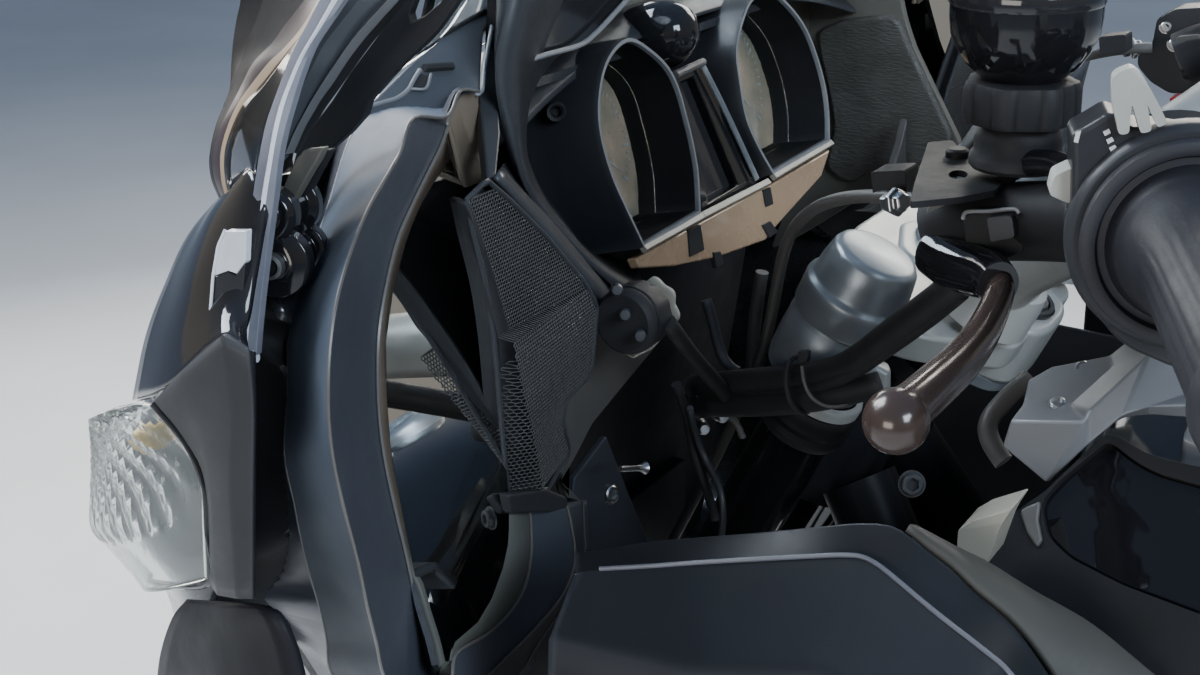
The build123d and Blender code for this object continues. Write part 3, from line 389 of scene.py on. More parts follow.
# ------------------------------------------------------------------ mesh helpers
COLL = bpy.context.scene.collection
CHASSIS, STEER = "chassis", "steering"


def link(name, me, mat, body=CHASSIS, node=None, slot=None, sharp=35):
    for m in (mat if isinstance(mat, (list, tuple)) else [mat]):
        me.materials.append(M[m])
    o = bpy.data.objects.new(name, me)
    COLL.objects.link(o)
    me.shade_smooth()
    if sharp:
        me.set_sharp_from_angle(angle=math.radians(sharp))
    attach(o, body)
    if node:
        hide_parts(*([node] if isinstance(node, str) else node))
    return o


def from_bm(name, bm, mat, **kw):
    me = bpy.data.meshes.new(name)
    bm.to_mesh(me)
    bm.free()
    return link(name, me, mat, **kw)


def bevel(o, width, segs=2, angle=30):
    b = o.modifiers.new("bevel", "BEVEL")
    b.width, b.segments, b.limit_method, b.angle_limit = width, segs, "ANGLE", math.radians(angle)
    b.harden_normals = True
    return o


def mirrored(o, name, body=None, mat=None):
    c = o.copy()
    c.data = o.data.copy()
    co = np.empty(len(c.data.vertices) * 3)
    c.data.vertices.foreach_get("co", co)
    co[1::3] *= -1
    c.data.vertices.foreach_set("co", co)
    c.data.flip_normals()
    c.name = name
    COLL.objects.link(c)
    if mat:
        c.data.materials[0] = M[mat]
    if body:
        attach(c, body)
    return c


def both(o, name, **kw):
    mirrored(o, name, **kw)
    return o


def spline(pts, n, closed=False, smooth=True):
    """n points at even steps along the line through pts."""
    P = [Vector(p) for p in pts]
    k = len(P)
    dense = []
    for i in range(k if closed else k - 1):
        p1, p2 = P[i], P[(i + 1) % k]
        p0 = P[i - 1] if (i > 0 or closed) else p1 * 2 - p2
        p3 = P[(i + 2) % k] if (closed or i + 2 < k) else p2 * 2 - p1
        for j in range(14):
            t = j / 14
            if smooth:
                dense.append(0.5 * ((2 * p1) + (p2 - p0) * t + (2 * p0 - 5 * p1 + 4 * p2 - p3) * t * t
                                    + (3 * p1 - p0 - 3 * p2 + p3) * t ** 3))
            else:
                dense.append(p1.lerp(p2, t))
    dense.append(P[0].copy() if closed else P[-1].copy())
    acc = [0.0]
    for a, b in zip(dense, dense[1:]):
        acc.append(acc[-1] + (b - a).length)
    out, j = [], 0
    steps = n if closed else n - 1
    for i in range(n):
        want = acc[-1] * i / steps
        while j < len(acc) - 2 and acc[j + 1] < want:
            j += 1
        span = acc[j + 1] - acc[j]
        out.append(dense[j].lerp(dense[j + 1], 0 if span < 1e-12 else (want - acc[j]) / span))
    return out


def per_station(pts, sub, closed=False):
    """sub points for each span, so that rows through the same stations keep together."""
    P = [Vector(p) for p in pts]
    k = len(P)
    out = []
    for i in range(k if closed else k - 1):
        p1, p2 = P[i], P[(i + 1) % k]
        p0 = P[i - 1] if (i > 0 or closed) else p1 * 2 - p2
        p3 = P[(i + 2) % k] if (closed or i + 2 < k) else p2 * 2 - p1
        for j in range(sub):
            t = j / sub
            out.append(0.5 * ((2 * p1) + (p2 - p0) * t + (2 * p0 - 5 * p1 + 4 * p2 - p3) * t * t
                              + (3 * p1 - p0 - 3 * p2 + p3) * t ** 3))
    if not closed:
        out.append(P[-1].copy())
    return out


def grid(name, rows, mat, bands=None, thick=0.0, face=None, close_u=False, close_v=False, caps=False, sub=0, sharp_rows=(),
         bev=0.0, **kw):
    """A surface through rows of points. bands gives the material index between each two rows; face is a point that its
    front looks at; sharp_rows are the rows that stay as edges."""
    bm = bmesh.new()
    V = [[bm.verts.new(p) for p in r] for r in rows]
    nr, nc = len(V), len(V[0])
    for i in range(nr if close_v else nr - 1):
        for j in range(nc if close_u else nc - 1):
            a, b, c, d = V[i][j], V[i][(j + 1) % nc], V[(i + 1) % nr][(j + 1) % nc], V[(i + 1) % nr][j]
            try:
                f = bm.faces.new((a, b, c, d))
            except ValueError:
                continue
            if bands:
                f.material_index = bands[i]
    if caps and close_u:
        for r in (V[0], V[-1]):
            f = bm.faces.new(r)
            bmesh.ops.triangulate(bm, faces=[f])
    bmesh.ops.remove_doubles(bm, verts=bm.verts, dist=1e-6)
    if caps or (close_u and close_v):
        bmesh.ops.recalc_face_normals(bm, faces=bm.faces)
    elif face is not None:
        bm.normal_update()
        s = sum(f.normal.dot(Vector(face) - f.calc_center_median()) * f.calc_area() for f in bm.faces)
        if s < 0:
            bmesh.ops.reverse_faces(bm, faces=bm.faces)
    if bev and sharp_rows:
        layer = bm.edges.layers.float.new("bevel_weight_edge")
        bm.verts.ensure_lookup_table()
        keys = set()
        for i in sharp_rows:
            for j in range(nc if close_u else nc - 1):
                keys.add(frozenset((V[i][j], V[i][(j + 1) % nc])))
        for e in bm.edges:
            if frozenset(e.verts) in keys:
                e[layer] = 1.0
    o = from_bm(name, bm, mat, **kw)
    if thick:
        m = o.modifiers.new("thick", "SOLIDIFY")
        m.thickness, m.offset = thick, -1
        m.use_even_offset = False
    if bev:
        b = o.modifiers.new("bevel", "BEVEL")
        b.width, b.segments = bev, 3
        b.limit_method = "WEIGHT" if sharp_rows else "ANGLE"
        b.angle_limit = math.radians(35)
        b.harden_normals = True
    if sub:
        m = o.modifiers.new("sub", "SUBSURF")
        m.levels = m.render_levels = sub
    return o


def frames(pts, closed=False):
    """A point, and two directions across the line, for each point of it."""
    n = len(pts)
    tang = []
    for i in range(n):
        a = pts[i - 1] if (i > 0 or closed) else pts[i]
        b = pts[(i + 1) % n] if (closed or i < n - 1) else pts[i]
        tang.append((b - a).normalized())
    ref = Vector((0, 0, 1)) if abs(tang[0].z) < 0.9 else Vector((0, 1, 0))
    u = (ref - tang[0] * ref.dot(tang[0])).normalized()
    out = []
    for p, t in zip(pts, tang):
        u = (u - t * u.dot(t)).normalized()
        out.append((p, u, t.cross(u)))
    return out


def tube(name, pts, r, mat, n=0, segs=20, caps=True, closed=False, squash=(1, 1), smooth=True, bev=0.0, **kw):
    """A round bar along pts; r is a radius, or one for each point of pts."""
    rad = r if isinstance(r, (list, tuple)) else [r] * len(pts)
    if n:
        line = spline([(*Vector(p),) for p in pts], n, closed, smooth)
        rr = spline([(v, 0, 0) for v in rad], n, closed, False)
        # radii keep their place along the line
        acc = [0.0]
        P = [Vector(p) for p in pts]
        for a, b in zip(P, P[1:]):
            acc.append(acc[-1] + (b - a).length)
        total = acc[-1]
        rr = []
        for i in range(n):
            w = total * i / (n - 1)
            j = max(k for k in range(len(acc)) if acc[k] <= w + 1e-12)
            j = min(j, len(acc) - 2)
            rr.append(rad[j] + (rad[j + 1] - rad[j]) * (w - acc[j]) / max(acc[j + 1] - acc[j], 1e-9))
    else:
        line, rr = [Vector(p) for p in pts], rad
    rows = []
    for (p, u, v), q in zip(frames(line, closed), rr):
        rows.append([p + (u * math.cos(a) * squash[0] + v * math.sin(a) * squash[1]) * q
                     for a in (2 * math.pi * k / segs for k in range(segs))])
    o = grid(name, rows, mat, close_u=True, close_v=closed, caps=caps and not closed, **kw)
    if bev:
        bevel(o, bev)
    return o


def basis(axis, up=None):
    a = Vector(axis).normalized()
    ref = Vector(up) if up is not None else (Vector((0, 0, 1)) if abs(a.z) < 0.9 else Vector((0, 1, 0)))
    u = (ref - a * ref.dot(a)).normalized()
    return u, a.cross(u), a


def lathe(name, profile, at_, axis, mat, segs=56, shape=None, up=None, bev=0.0, closed=False, **kw):
    """profile: (radius, distance along axis). shape(angle) scales the radius."""
    u, v, a = basis(axis, up)
    o3 = Vector(at_)
    bm = bmesh.new()
    rings = []
    for r, t in profile:
        if r < 1e-7:
            rings.append([bm.verts.new(o3 + a * t)])
        else:
            ring = []
            for k in range(segs):
                g = 2 * math.pi * k / segs
                q = r * (shape(g, r, t) if shape else 1.0)
                ring.append(bm.verts.new(o3 + a * t + (u * math.cos(g) + v * math.sin(g)) * q))
            rings.append(ring)
    pairs = list(zip(rings, rings[1:])) + ([(rings[-1], rings[0])] if closed else [])
    for A, B in pairs:
        for k in range(segs):
            k2 = (k + 1) % segs
            if len(A) == 1 and len(B) == 1:
                continue
            if len(A) == 1:
                bm.faces.new((A[0], B[k2], B[k]))
            elif len(B) == 1:
                bm.faces.new((A[k], A[k2], B[0]))
            else:
                bm.faces.new((A[k], A[k2], B[k2], B[k]))
    if not closed:
        for ring in (rings[0], rings[-1]):
            if len(ring) > 1:
                bm.faces.new(ring)
    bmesh.ops.recalc_face_normals(bm, faces=bm.faces)
    o = from_bm(name, bm, mat, **kw)
    if bev:
        bevel(o, bev)
    return o


def prism(name, outline, depth, mat, bev=0.0012, holes=(), segs=2, **kw):
    """A plate: a closed outline of 3-D points, pushed along the vector depth. holes are outlines cut through it."""
    d = Vector(depth)
    bm = bmesh.new()

    def loop(pts, off):
        vs = [bm.verts.new(Vector(p) + off) for p in pts]
        return vs, [bm.edges.new((vs[i], vs[(i + 1) % len(vs)])) for i in range(len(vs))]

    sides = []
    for off in (Vector(), d):
        loops = [loop(outline, off)] + [loop(h, off) for h in holes]
        edges = [e for _, es in loops for e in es]
        if holes:
            bmesh.ops.triangle_fill(bm, edges=edges, use_beauty=True)
        else:
            bm.faces.new(loops[0][0])
        sides.append([vs for vs, _ in loops])
    for a, b in zip(*sides):
        for i in range(len(a)):
            j = (i + 1) % len(a)
            bm.faces.new((a[i], a[j], b[j], b[i]))
    bmesh.ops.recalc_face_normals(bm, faces=bm.faces)
    o = from_bm(name, bm, mat, **kw)
    if bev:
        bevel(o, bev, segs)
    return o


def rounded(pts, r, n=5):
    """A closed outline with its corners rounded to radius r (or one radius per corner)."""
    P = [Vector(p) for p in pts]
    out = []
    k = len(P)
    for i in range(k):
        p, a, b = P[i], P[i - 1], P[(i + 1) % k]
        q = r[i] if isinstance(r, (list, tuple)) else r
        da, db = (a - p), (b - p)
        t = min(q, da.length * 0.48, db.length * 0.48)
        s, e = p + da.normalized() * t, p + db.normalized() * t
        if t < 1e-6:
            out.append(p)
            continue
        for j in range(n + 1):
            w = j / n
            out.append(s * (1 - w) ** 2 + p * 2 * w * (1 - w) + e * w * w)
    return out


def circle(c, axis, r, n=32, up=None, squash=1.0):
    u, v, _ = basis(axis, up)
    return [Vector(c) + (u * math.cos(2 * math.pi * k / n) + v * math.sin(2 * math.pi * k / n) * squash) * r for k in range(n)]


def ball(name, c, r, mat, segs=32, rings=20, **kw):
    bm = bmesh.new()
    bmesh.ops.create_uvsphere(bm, u_segments=segs, v_segments=rings, radius=1.0)
    s = Vector(r) if isinstance(r, (tuple, list, Vector)) else Vector((r, r, r))
    for v in bm.verts:
        v.co = Vector((v.co.x * s.x, v.co.y * s.y, v.co.z * s.z)) + Vector(c)
    return from_bm(name, bm, mat, **kw)


def bolts(name, places, mat, head="hex", **kw):
    """Screw heads: (place, outward direction, head radius, head height) each, one mesh."""
    bm = bmesh.new()
    for p, nrm, r, h in places:
        u, v, a = basis(nrm)
        prof = [(0.0, h * 0.35, 6), (0.52 * r, h * 0.35, 6), (0.56 * r, h, 6), (0.84 * r, h, 24), (r, h * 0.78, 24), (r, 0, 24),
                (r * 1.3, 0, 24), (r * 1.3, -h * 0.3, 24)]
        rings = []
        for q, t, _ in prof:
            if q == 0:
                rings.append([bm.verts.new(Vector(p) + a * t)])
                continue
            ring = []
            for k in range(24):
                g = 2 * math.pi * k / 24
                w = q
                if q < 0.6 * r:
                    w = q / max(math.cos((g % (math.pi / 3)) - math.pi / 6), 0.86)
                ring.append(bm.verts.new(Vector(p) + a * t + (u * math.cos(g) + v * math.sin(g)) * w))
            rings.append(ring)
        for A, B in zip(rings, rings[1:]):
            for k in range(24):
                k2 = (k + 1) % 24
                if len(A) == 1:
                    bm.faces.new((A[0], B[k], B[k2]))
                else:
                    bm.faces.new((A[k], B[k], B[k2], A[k2]))
        bm.faces.new(rings[-1])
    bmesh.ops.recalc_face_normals(bm, faces=bm.faces)
    return from_bm(name, bm, mat, **kw)


def hose(name, pts, r, mat, body=CHASSIS, res=10, **kw):
    """A smooth line held at both ends."""
    cu = bpy.data.curves.new(name, "CURVE")
    cu.dimensions = "3D"
    sp = cu.splines.new("NURBS")
    sp.points.add(len(pts) - 1)
    for q, p in zip(sp.points, pts):
        q.co = (*p, 1.0)
    sp.order_u = 4
    sp.use_endpoint_u = True
    sp.resolution_u = 10
    cu.bevel_depth = r
    cu.bevel_resolution = 4
    cu.use_fill_caps = True
    cu.materials.append(M[mat])
    o = bpy.data.objects.new(name, cu)
    COLL.objects.link(o)
    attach(o, body)
    if kw.get("node"):
        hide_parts(kw["node"])
    return o


def hose_both(name, pts, r, mat, body=CHASSIS, **kw):
    hose(name + "_left", pts, r, mat, body, **kw)
    hose(name + "_right", [(p[0], -p[1], p[2]) for p in pts], r, mat, body, **kw)


def soften(name, width=0.0025, segs=3, angle=28):
    """A CAD node that stays: its edges get the small radius of a moulding or casting."""
    return bevel(NODES[name], width, segs, angle)


from mathutils.bvhtree import BVHTree


def bvh(o):
    return BVHTree.FromObject(o, bpy.context.evaluated_depsgraph_get())


def bake(o):
    """The modifiers become part of the mesh."""
    me = bpy.data.meshes.new_from_object(o.evaluated_get(bpy.context.evaluated_depsgraph_get()))
    o.modifiers.clear()
    o.data = me
    return o


def carve(o, outline, depth, keep=False):
    """Cuts the prism out of o, or keeps only what is in it."""
    d = Vector(depth)
    bm = bmesh.new()
    a = [bm.verts.new(Vector(p)) for p in outline]
    b = [bm.verts.new(Vector(p) + d) for p in outline]
    bm.faces.new(a)
    bm.faces.new(b)
    for i in range(len(a)):
        j = (i + 1) % len(a)
        bm.faces.new((a[i], a[j], b[j], b[i]))
    bmesh.ops.recalc_face_normals(bm, faces=bm.faces)
    me = bpy.data.meshes.new("cutter")
    bm.to_mesh(me)
    bm.free()
    c = bpy.data.objects.new("cutter", me)
    COLL.objects.link(c)
    m = o.modifiers.new("cut", "BOOLEAN")
    m.operation = "INTERSECT" if keep else "DIFFERENCE"
    m.solver = "EXACT"
    m.object = c
    bake(o)
    bpy.data.objects.remove(c, do_unlink=True)
    return o


def pix(p):
    """Where a point shows in the picture."""
    d = Vector(p) - CAM_AT
    z = d.dot(CAM_W)
    return IMG_W / 2 + FOCAL_PX * d.dot(CAM_R) / z, IMG_H / 2 - FOCAL_PX * d.dot(CAM_U) / z
# ------------------------------------------------------------------ mirror loop, glass, indicator
RIM_MID = Vector((0.488, 0.350, 1.0))
RIM_F = Vector((0.952, 0.305, 0.0)).normalized()


def R(px, py, d=0.0):
    """On the rim's plane, or d in front of it."""
    return on(px, py, RIM_MID + RIM_F * d, RIM_F)


GLASS_N = Vector((-0.955, -0.045, 0.27)).normalized()
GLASS_P = R(387, 400, 0.016)


def G(px, py, back=0.0):
    return on(px, py, GLASS_P + GLASS_N * back, GLASS_N)


# outer edge, crease between side panel and outer band, crease between the two bands, lip, glass edge
LOOP = [
    ((478, 86), None, (478, 91), (479, 94), (487, 182)), ((462, 86), None, (459, 91), (460, 94), (475, 184)),
    ((430, 93), None, (446, 116), (447, 120), (463, 186)), ((378, 104), None, (412, 118), (446, 128), (450, 160)),
    ((352, 118), None, (400, 150), (438, 150), (443, 170)), ((337, 145), None, (392, 165), (428, 170), (433, 184)),
    ((322, 200), None, (369, 205), (411, 205), (420, 207)), ((309, 240), None, (352, 245), (396, 240), (406, 242)),
    ((292, 290), None, (337, 295), (384, 290), (393, 292)), ((281, 340), None, (329, 345), (377, 340), (386, 342)),
    ((280, 400), None, (327, 402), (377, 400), (387, 400)), ((280, 455), (284, 455), (331, 452), (382, 450), (391, 450)),
    ((272, 510), (294, 505), (341, 500), (392, 500), (400, 500)), ((267, 555), (305, 560), (356, 558), (405, 555), (411, 556)),
    ((260, 598), (319, 608), (366, 605), (415, 602), (421, 604)), ((283, 622), (326, 640), (375, 641), (424, 640), (432, 640)),
    ((303, 652), (331, 675), (383, 675), (430, 672), (438, 665)), ((350, 712), (362, 714), (405, 712), (438, 690), (441, 668)),
    ((430, 735), (435, 733), (440, 720), (450, 680), (448, 664)), ((495, 705), (488, 702), (470, 692), (455, 653), (455, 642)),
    ((528, 675), (520, 672), (503, 659), (485, 634), (478, 622)), ((543, 641), (540, 639), (532, 630), (508, 612), (492, 598)),
    ((572, 597), (569, 596), (562, 594), (524, 585), (503, 568)), ((587, 560), (583, 560), (574, 560), (530, 553), (508, 545)),
    ((588, 528), (583, 528), (571, 528), (530, 530), (509, 528)), ((587, 500), (582, 500), (566, 505), (529, 512), (509, 513))]
SUB = 5


def arm(p, px, py):
    """The lower arm ends beside the fairing's liner, clear of the fork."""
    return p if p.y >= 0.29 else at(px, py, y=0.29 - (0.29 - p.y) * 0.366)


rO, rS, rC, rL, rW = [], [], [], [], []
for i, (o_, s_, c_, l_, g_) in enumerate(LOOP):
    low = 17 < i
    out_d = 0.052 if i < 11 else (0.058 if i < 18 else 0.030)
    if s_ is None:
        s_ = (o_[0] * 0.85 + c_[0] * 0.15, o_[1] * 0.85 + c_[1] * 0.15)
    ends = [R(*o_, out_d), R(*s_, (0.034 if i < 11 else 0.030) if not low else 0.012), R(*c_, -0.010 if low else 0.0),
            R(*l_, -0.008 if low else 0.005)]
    if i > 15:
        ends = [arm(p, *q) for p, q in zip(ends, (o_, s_, c_, l_))]
    for r_, p in zip((rO, rS, rC, rL), ends):
        r_.append(p)
    g = G(*g_)
    rW.append(g)
rows = [per_station(r, SUB) for r in (rO, rS, rC, rL, rW)]
# the outer edge turns in behind the side panel, towards the gap
inner = [p + RIM_F * 0.010 + (Vector((0.488, 0.335, 1.0)) - p) * 0.06 for p in rows[0]]
loop = grid("mirror_loop_left", [inner] + rows, ["matt", "band", "housing", "tan_edge"], bands=[0, 2, 1, 2, 3], thick=0.003,
            face=CAM_AT, sharp_rows=(1, 2, 3, 4), bev=0.0011, node="mirror_housings", slot="satin_black_plastic")
both(loop, "mirror_loop_right")
# painted highlight: pale tubes along the creases, lip and flank stand in for the light these edges catch
for tag, row, r_ in (("crease", rows[2], 0.0006), ("lip", rows[3], 0.0008), ("flank", rows[1], 0.0005)):
    o = tube(f"mirror_loop_{tag}_left", [p + RIM_F * -0.0006 + Vector((0, 0.0003, 0)) for p in row], r_, "piping", segs=6,
             slot="satin_black_plastic")
    both(o, f"mirror_loop_{tag}_right")

# inner wall at the top of the loop, lit from the front
bevel_top = [R(446, 122, 0.004), R(459, 93, 0.004), R(478, 92, 0.004), R(487, 180, 0.006), G(465, 188), G(449, 163)]
o = prism("mirror_inner_wall_left", bevel_top, RIM_F * 0.003, "tan_edge", bev=0.0008, slot="satin_black_plastic")
both(o, "mirror_inner_wall_right")

glass_edge = [g for (_, _, _, _, g) in LOOP[4:]]
right_edge = [(510, 505), (503, 440), (497, 370), (488, 300), (478, 250), (466, 192), (449, 163)]
outline = [G(*p) for p in glass_edge] + [G(*p) for p in right_edge]
o = prism("mirror_glass_left", outline, GLASS_N * -0.003, "mirror", bev=0.0, node="mirror_glasses", slot="mirror_glass", sharp=20)
both(o, "mirror_glass_right")
# backing tray of the glass
ctr = sum(outline, Vector()) / len(outline)
o = prism("mirror_backing_left", [p + (ctr - p) * 0.22 - GLASS_N * 0.0045 for p in outline], GLASS_N * -0.008, "matt", bev=0.001,
          slot="black_plastic")
both(o, "mirror_backing_right")

# front body of the mirror housing: rings in front of the rim, closing on the fairing
RIM_S = Vector((-RIM_F.y, RIM_F.x, 0.0))
POD = [(-42, 1134), (33, 1140), (92, 1120), (107, 1086), (103, 1052), (90, 1004), (74, 960), (40, 912), (-17, 884), (-70, 884),
       (-122, 908), (-128, 940), (-104, 962), (-96, 1040), (-90, 1100)]


def pod_ring(f, k, kz=None, ds=0.0, dz=0.0, n=72):
    kz = k if kz is None else kz
    pts = []
    for s, z in POD:
        s2 = (s + 8) * k - 8 + ds
        z2 = (z - 1010) * kz + 1010 + dz
        p = Vector((RIM_MID.x, RIM_MID.y, 0)) + RIM_S * (s2 * 0.001) + RIM_F * (f * 0.001)
        p.z = z2 * 0.001
        pts.append(p)
    return spline(pts, n, closed=True)


SIL = [(100, 300), (168, 249), (230, 191), (337, 145), (406, 119), (440, 100), (480, 92), (526, 89), (540, 101), (580, 147), (600, 160), (655, 160), (700, 155), (900, 150)]


def inside(p, back=0.004):
    """Keeps a point of the housing's front within the outline that the lens, side and top shell make in the picture."""

    def fits(q):
        px, py = pix(q)
        py = min(max(py, SIL[0][0]), SIL[-1][0])
        lim = next(a + (b - a) * (py - y0) / (y1 - y0) for (y0, a), (y1, b) in zip(SIL, SIL[1:]) if y0 <= py <= y1) + 22
        return px >= lim and q.y <= 0.392

    q = p.copy()
    if fits(q):
        return q
    for _ in range(120):
        q.y -= 0.003
        if fits(q):
            break
    lo, hi = q.y, q.y + 0.003
    for _ in range(7):
        q.y = (lo + hi) / 2
        if fits(q):
            lo = q.y
        else:
            hi = q.y
    q.y = lo
    return q


rings = [pod_ring(34, 0.62, ds=-16), pod_ring(74, 0.74, ds=-12), pod_ring(84, 0.88, ds=-7), pod_ring(96, 0.87, ds=-9), pod_ring(112, 0.74, 0.84, ds=-20),
         pod_ring(126, 0.55, 0.66, ds=-34), pod_ring(134, 0.25, 0.35, ds=-50)]
rings = [[inside(p) for p in r] for r in rings]
o = grid("mirror_front_shell_left", rings, ["paint", "matt"], bands=[1, 1, 0, 0, 0, 0], close_u=True, caps=True, sub=1,
         slot="body_paint")
both(o, "mirror_front_shell_right")


# side shell between the gap and the lens, and the strip along the gap
def side(pts, y):
    return [at(px, py, y=y) for px, py in pts]


strip_a = side([(256, 352), (257, 411), (256, 500), (255, 599)], 0.432)
strip_m = side([(249, 350), (254, 411), (253, 500), (253, 599)], 0.440)
strip_b = side([(222, 335), (232, 411), (230, 488), (237, 599)], 0.441)
lens_side = side([(153, 402), (184, 440), (205, 486), (210, 584)], 0.430)
mid_b = [a.lerp(b, 0.5) + Vector((0, 0.003, 0)) for a, b in zip(strip_b, lens_side)]
shell_rows = [spline(r, 24) for r in (strip_a, strip_m, strip_b, mid_b, lens_side)]
tuck = [p + Vector((0.012, -0.02, 0)) for p in shell_rows[-1]]
o = grid("mirror_side_shell_left", shell_rows + [tuck], ["side_shell"], thick=0.0025, face=CAM_AT, sharp_rows=(1, 2, 4), bev=0.0012,
         slot="satin_black_plastic")
both(o, "mirror_side_shell_right")

# lens: outline in the picture, bulging outwards; its ribs are part of the shape
LENS_R = [(119, 406), (153, 404), (184, 438), (205, 478), (207, 530), (209, 580)]
LENS_L = [(112, 410), (100, 440), (92, 480), (89, 520), (101, 540), (147, 580)]
ra = spline([at(px, py, y=0.427) for px, py in LENS_R], 44)
rb = spline([at(px, py, y=0.402) for px, py in LENS_L], 44)
rows = []
NV = 34
for i in range(NV):
    t = i / (NV - 1)
    bulge = 0.012 * math.sin(math.pi * min(1.0, t * 1.02)) ** 0.8
    row = []
    for j, (a, b) in enumerate(zip(ra, rb)):
        v = j / 43
        p = a.lerp(b, t)
        low = v > 0.70
        rib = 0.0 if low else 0.0011 * math.sin((t * 1.3 + v * 0.55 + 0.25 * math.sin(v * 3.0)) * 2 * math.pi * 6.5)
        edge = min(1.0, 6 * t, 6 * (1 - t), 8 * v)
        row.append(p + Vector((0.10, 0.99, 0.05)) * (bulge + rib * max(edge, 0)) * (1 if v > 0.02 else 0.3))
    rows.append(row)
o = grid("indicator_lens_left", rows, "lens", thick=0.0022, face=CAM_AT, node="front_indicators", slot="lens_clear", sharp=0)
both(o, "indicator_lens_right")
# lamp bowl, bulb and divider behind the lens
bowl_rows = [[p + Vector((0.004, -0.020, -0.004)) for p in spline([a.lerp(b, t) for a, b in zip(ra, rb)], 20)] for t in
             (0.0, 0.25, 0.5, 0.75, 1.0)]
bowl_rows = [[p + Vector((0, -0.012 * math.sin(math.pi * i / 4), 0)) for p in r] for i, r in enumerate(bowl_rows)]
o = grid("indicator_bowl_left", bowl_rows, "silver", thick=0.002, face=CAM_AT, slot="steel")
both(o, "indicator_bowl_right")
c = at(152, 436, y=0.418)
o = lathe("indicator_bulb_left", [(0, 0.0065), (0.0028, 0.006), (0.0045, 0.003), (0.0048, -0.001), (0.0036, -0.006), (0.003, -0.009), (0.003, -0.016)],
          c, (0.25, 0.9, 0.1), "amber", segs=28, slot="lens_clear")
both(o, "indicator_bulb_right")
o = tube("indicator_seal_left", [at(px, py, y=0.4285) for px, py in ((153, 404), (184, 440), (204, 482), (208, 530), (210, 582))]
         + [at(147, 583, y=0.414)], 0.0014, "gloss", n=30, segs=10, slot="black_plastic")
both(o, "indicator_seal_right")

# ------------------------------------------------------------------ side shell below and beside the glass; wind deflector
FACE = CAM_AT
top_rows = [
    [at(264, 205, y=0.408), at(258, 240, y=0.412), at(250, 290, y=0.418), at(247, 330, y=0.424), at(249, 350, y=0.430)],
    [at(249, 168, y=0.400), at(240, 200, y=0.405), at(228, 255, y=0.412), at(222, 300, y=0.420), at(222, 335, y=0.430)],
    [at(236, 180, y=0.388), at(210, 215, y=0.392), at(190, 270, y=0.402), at(176, 330, y=0.412), at(165, 388, y=0.424)],
    [at(243, 172, y=0.372), at(191, 230, y=0.368), at(165, 283, y=0.378), at(145, 337, y=0.390), at(132, 400, y=0.405)]]
rows = [spline(r, 26) for r in top_rows]
rows2 = []
for j in range(26):
    rows2.append(spline([r[j] for r in rows], 14))
o = grid("mirror_top_shell_left", rows2, "gloss", thick=0.0025, face=FACE, slot="body_paint", sharp=0)
both(o, "mirror_top_shell_right")

# clear deflector: thick rear edge with its bright core as a painted highlight, dark brown front edge with a warm line
# of painted light, clear sheet between
DY = 0.402
LA = [(326, -12), (319, 0), (306, 25), (290, 56), (278, 88), (266, 122), (259, 155), (253, 193), (249, 233), (244, 276), (240, 319), (237, 356)]
LC = [(345, -12), (338, 0), (322, 28), (306, 54), (296, 75), (285, 103), (278, 132), (273, 161), (267, 195), (261, 238), (254, 282), (249, 322), (246, 356)]
LB = [(352, -12), (344, 0), (329, 22), (312, 48), (300, 78), (291, 107), (284, 132), (279, 157), (274, 198), (268, 243), (262, 291), (258, 330), (256, 356)]


def px_line(pts, y0, y1=None, n=48):
    y1 = y0 if y1 is None else y1
    k = len(pts) - 1
    return spline([at(a, b, y=y0 + (y1 - y0) * i / k) for i, (a, b) in enumerate(pts)], n)


la, lc, lb = px_line(LA, DY, DY + 0.006), px_line(LC, DY, DY + 0.006), px_line(LB, DY, DY + 0.006)
out_y = Vector((0, 1, 0))
rows = [[p - out_y * 0.003 for p in la], la, [a.lerp(c, 0.45) + out_y * 0.0008 for a, c in zip(la, lc)],
        [a.lerp(c, 0.80) + out_y * 0.0010 for a, c in zip(la, lc)], [c + out_y * 0.0024 for c in lc],
        [c.lerp(b, 0.30) + out_y * 0.0012 for c, b in zip(lc, lb)], lb, [p - out_y * 0.003 for p in lb]]
o = grid("wind_deflector_edge_left", rows, ["acrylic", "acrylic_core"], bands=[0, 0, 0, 1, 1, 0, 0], thick=0.002, face=FACE,
         node="wind_deflectors", slot="clear_plastic", sharp=50, bev=0.0005)
both(o, "wind_deflector_edge_right")
o = tube("wind_deflector_foot_left", [at(238, 356, y=DY + 0.006), at(247, 358, y=DY + 0.0065), at(256, 356, y=DY + 0.006)], 0.0022, "acrylic_core", n=12,
         segs=10, slot="clear_plastic")
both(o, "wind_deflector_foot_right")
W0 = [(238, -12), (240, 0), (236, 20), (233, 40), (231, 62), (229.5, 88), (223, 106), (215, 127), (210, 150), (209, 164), (211.5, 181), (219, 199)]
W1 = [(267, -12), (263, 0), (257, 18), (249, 37), (242, 58), (234, 79), (225.5, 106), (217, 128), (212, 150), (211, 164), (213.5, 181), (220.5, 198.5)]
W2 = [(309, -12), (304, 0), (284, 26), (272, 43), (253, 63), (240, 88), (229, 109), (219, 129), (213.5, 150), (212.3, 164), (214.5, 180), (221.5, 198)]
W3 = [(325, -12), (318, 0), (301, 28), (284, 48), (269, 62), (253, 82), (238, 103), (228, 125), (221.5, 147), (220, 164), (221.8, 183), (225.5, 196)]
W4 = [(327, -12), (321, 0), (306, 28), (289, 50), (276, 66), (260, 86), (243, 105), (232, 127), (225.5, 148), (224, 164), (225.6, 182), (228.5, 194)]
W5 = [(330, -12), (322, 0), (308, 25), (293, 56), (281, 88), (269, 122), (262, 155), (256, 193), (254, 200), (252, 205), (250, 212), (249, 219)]
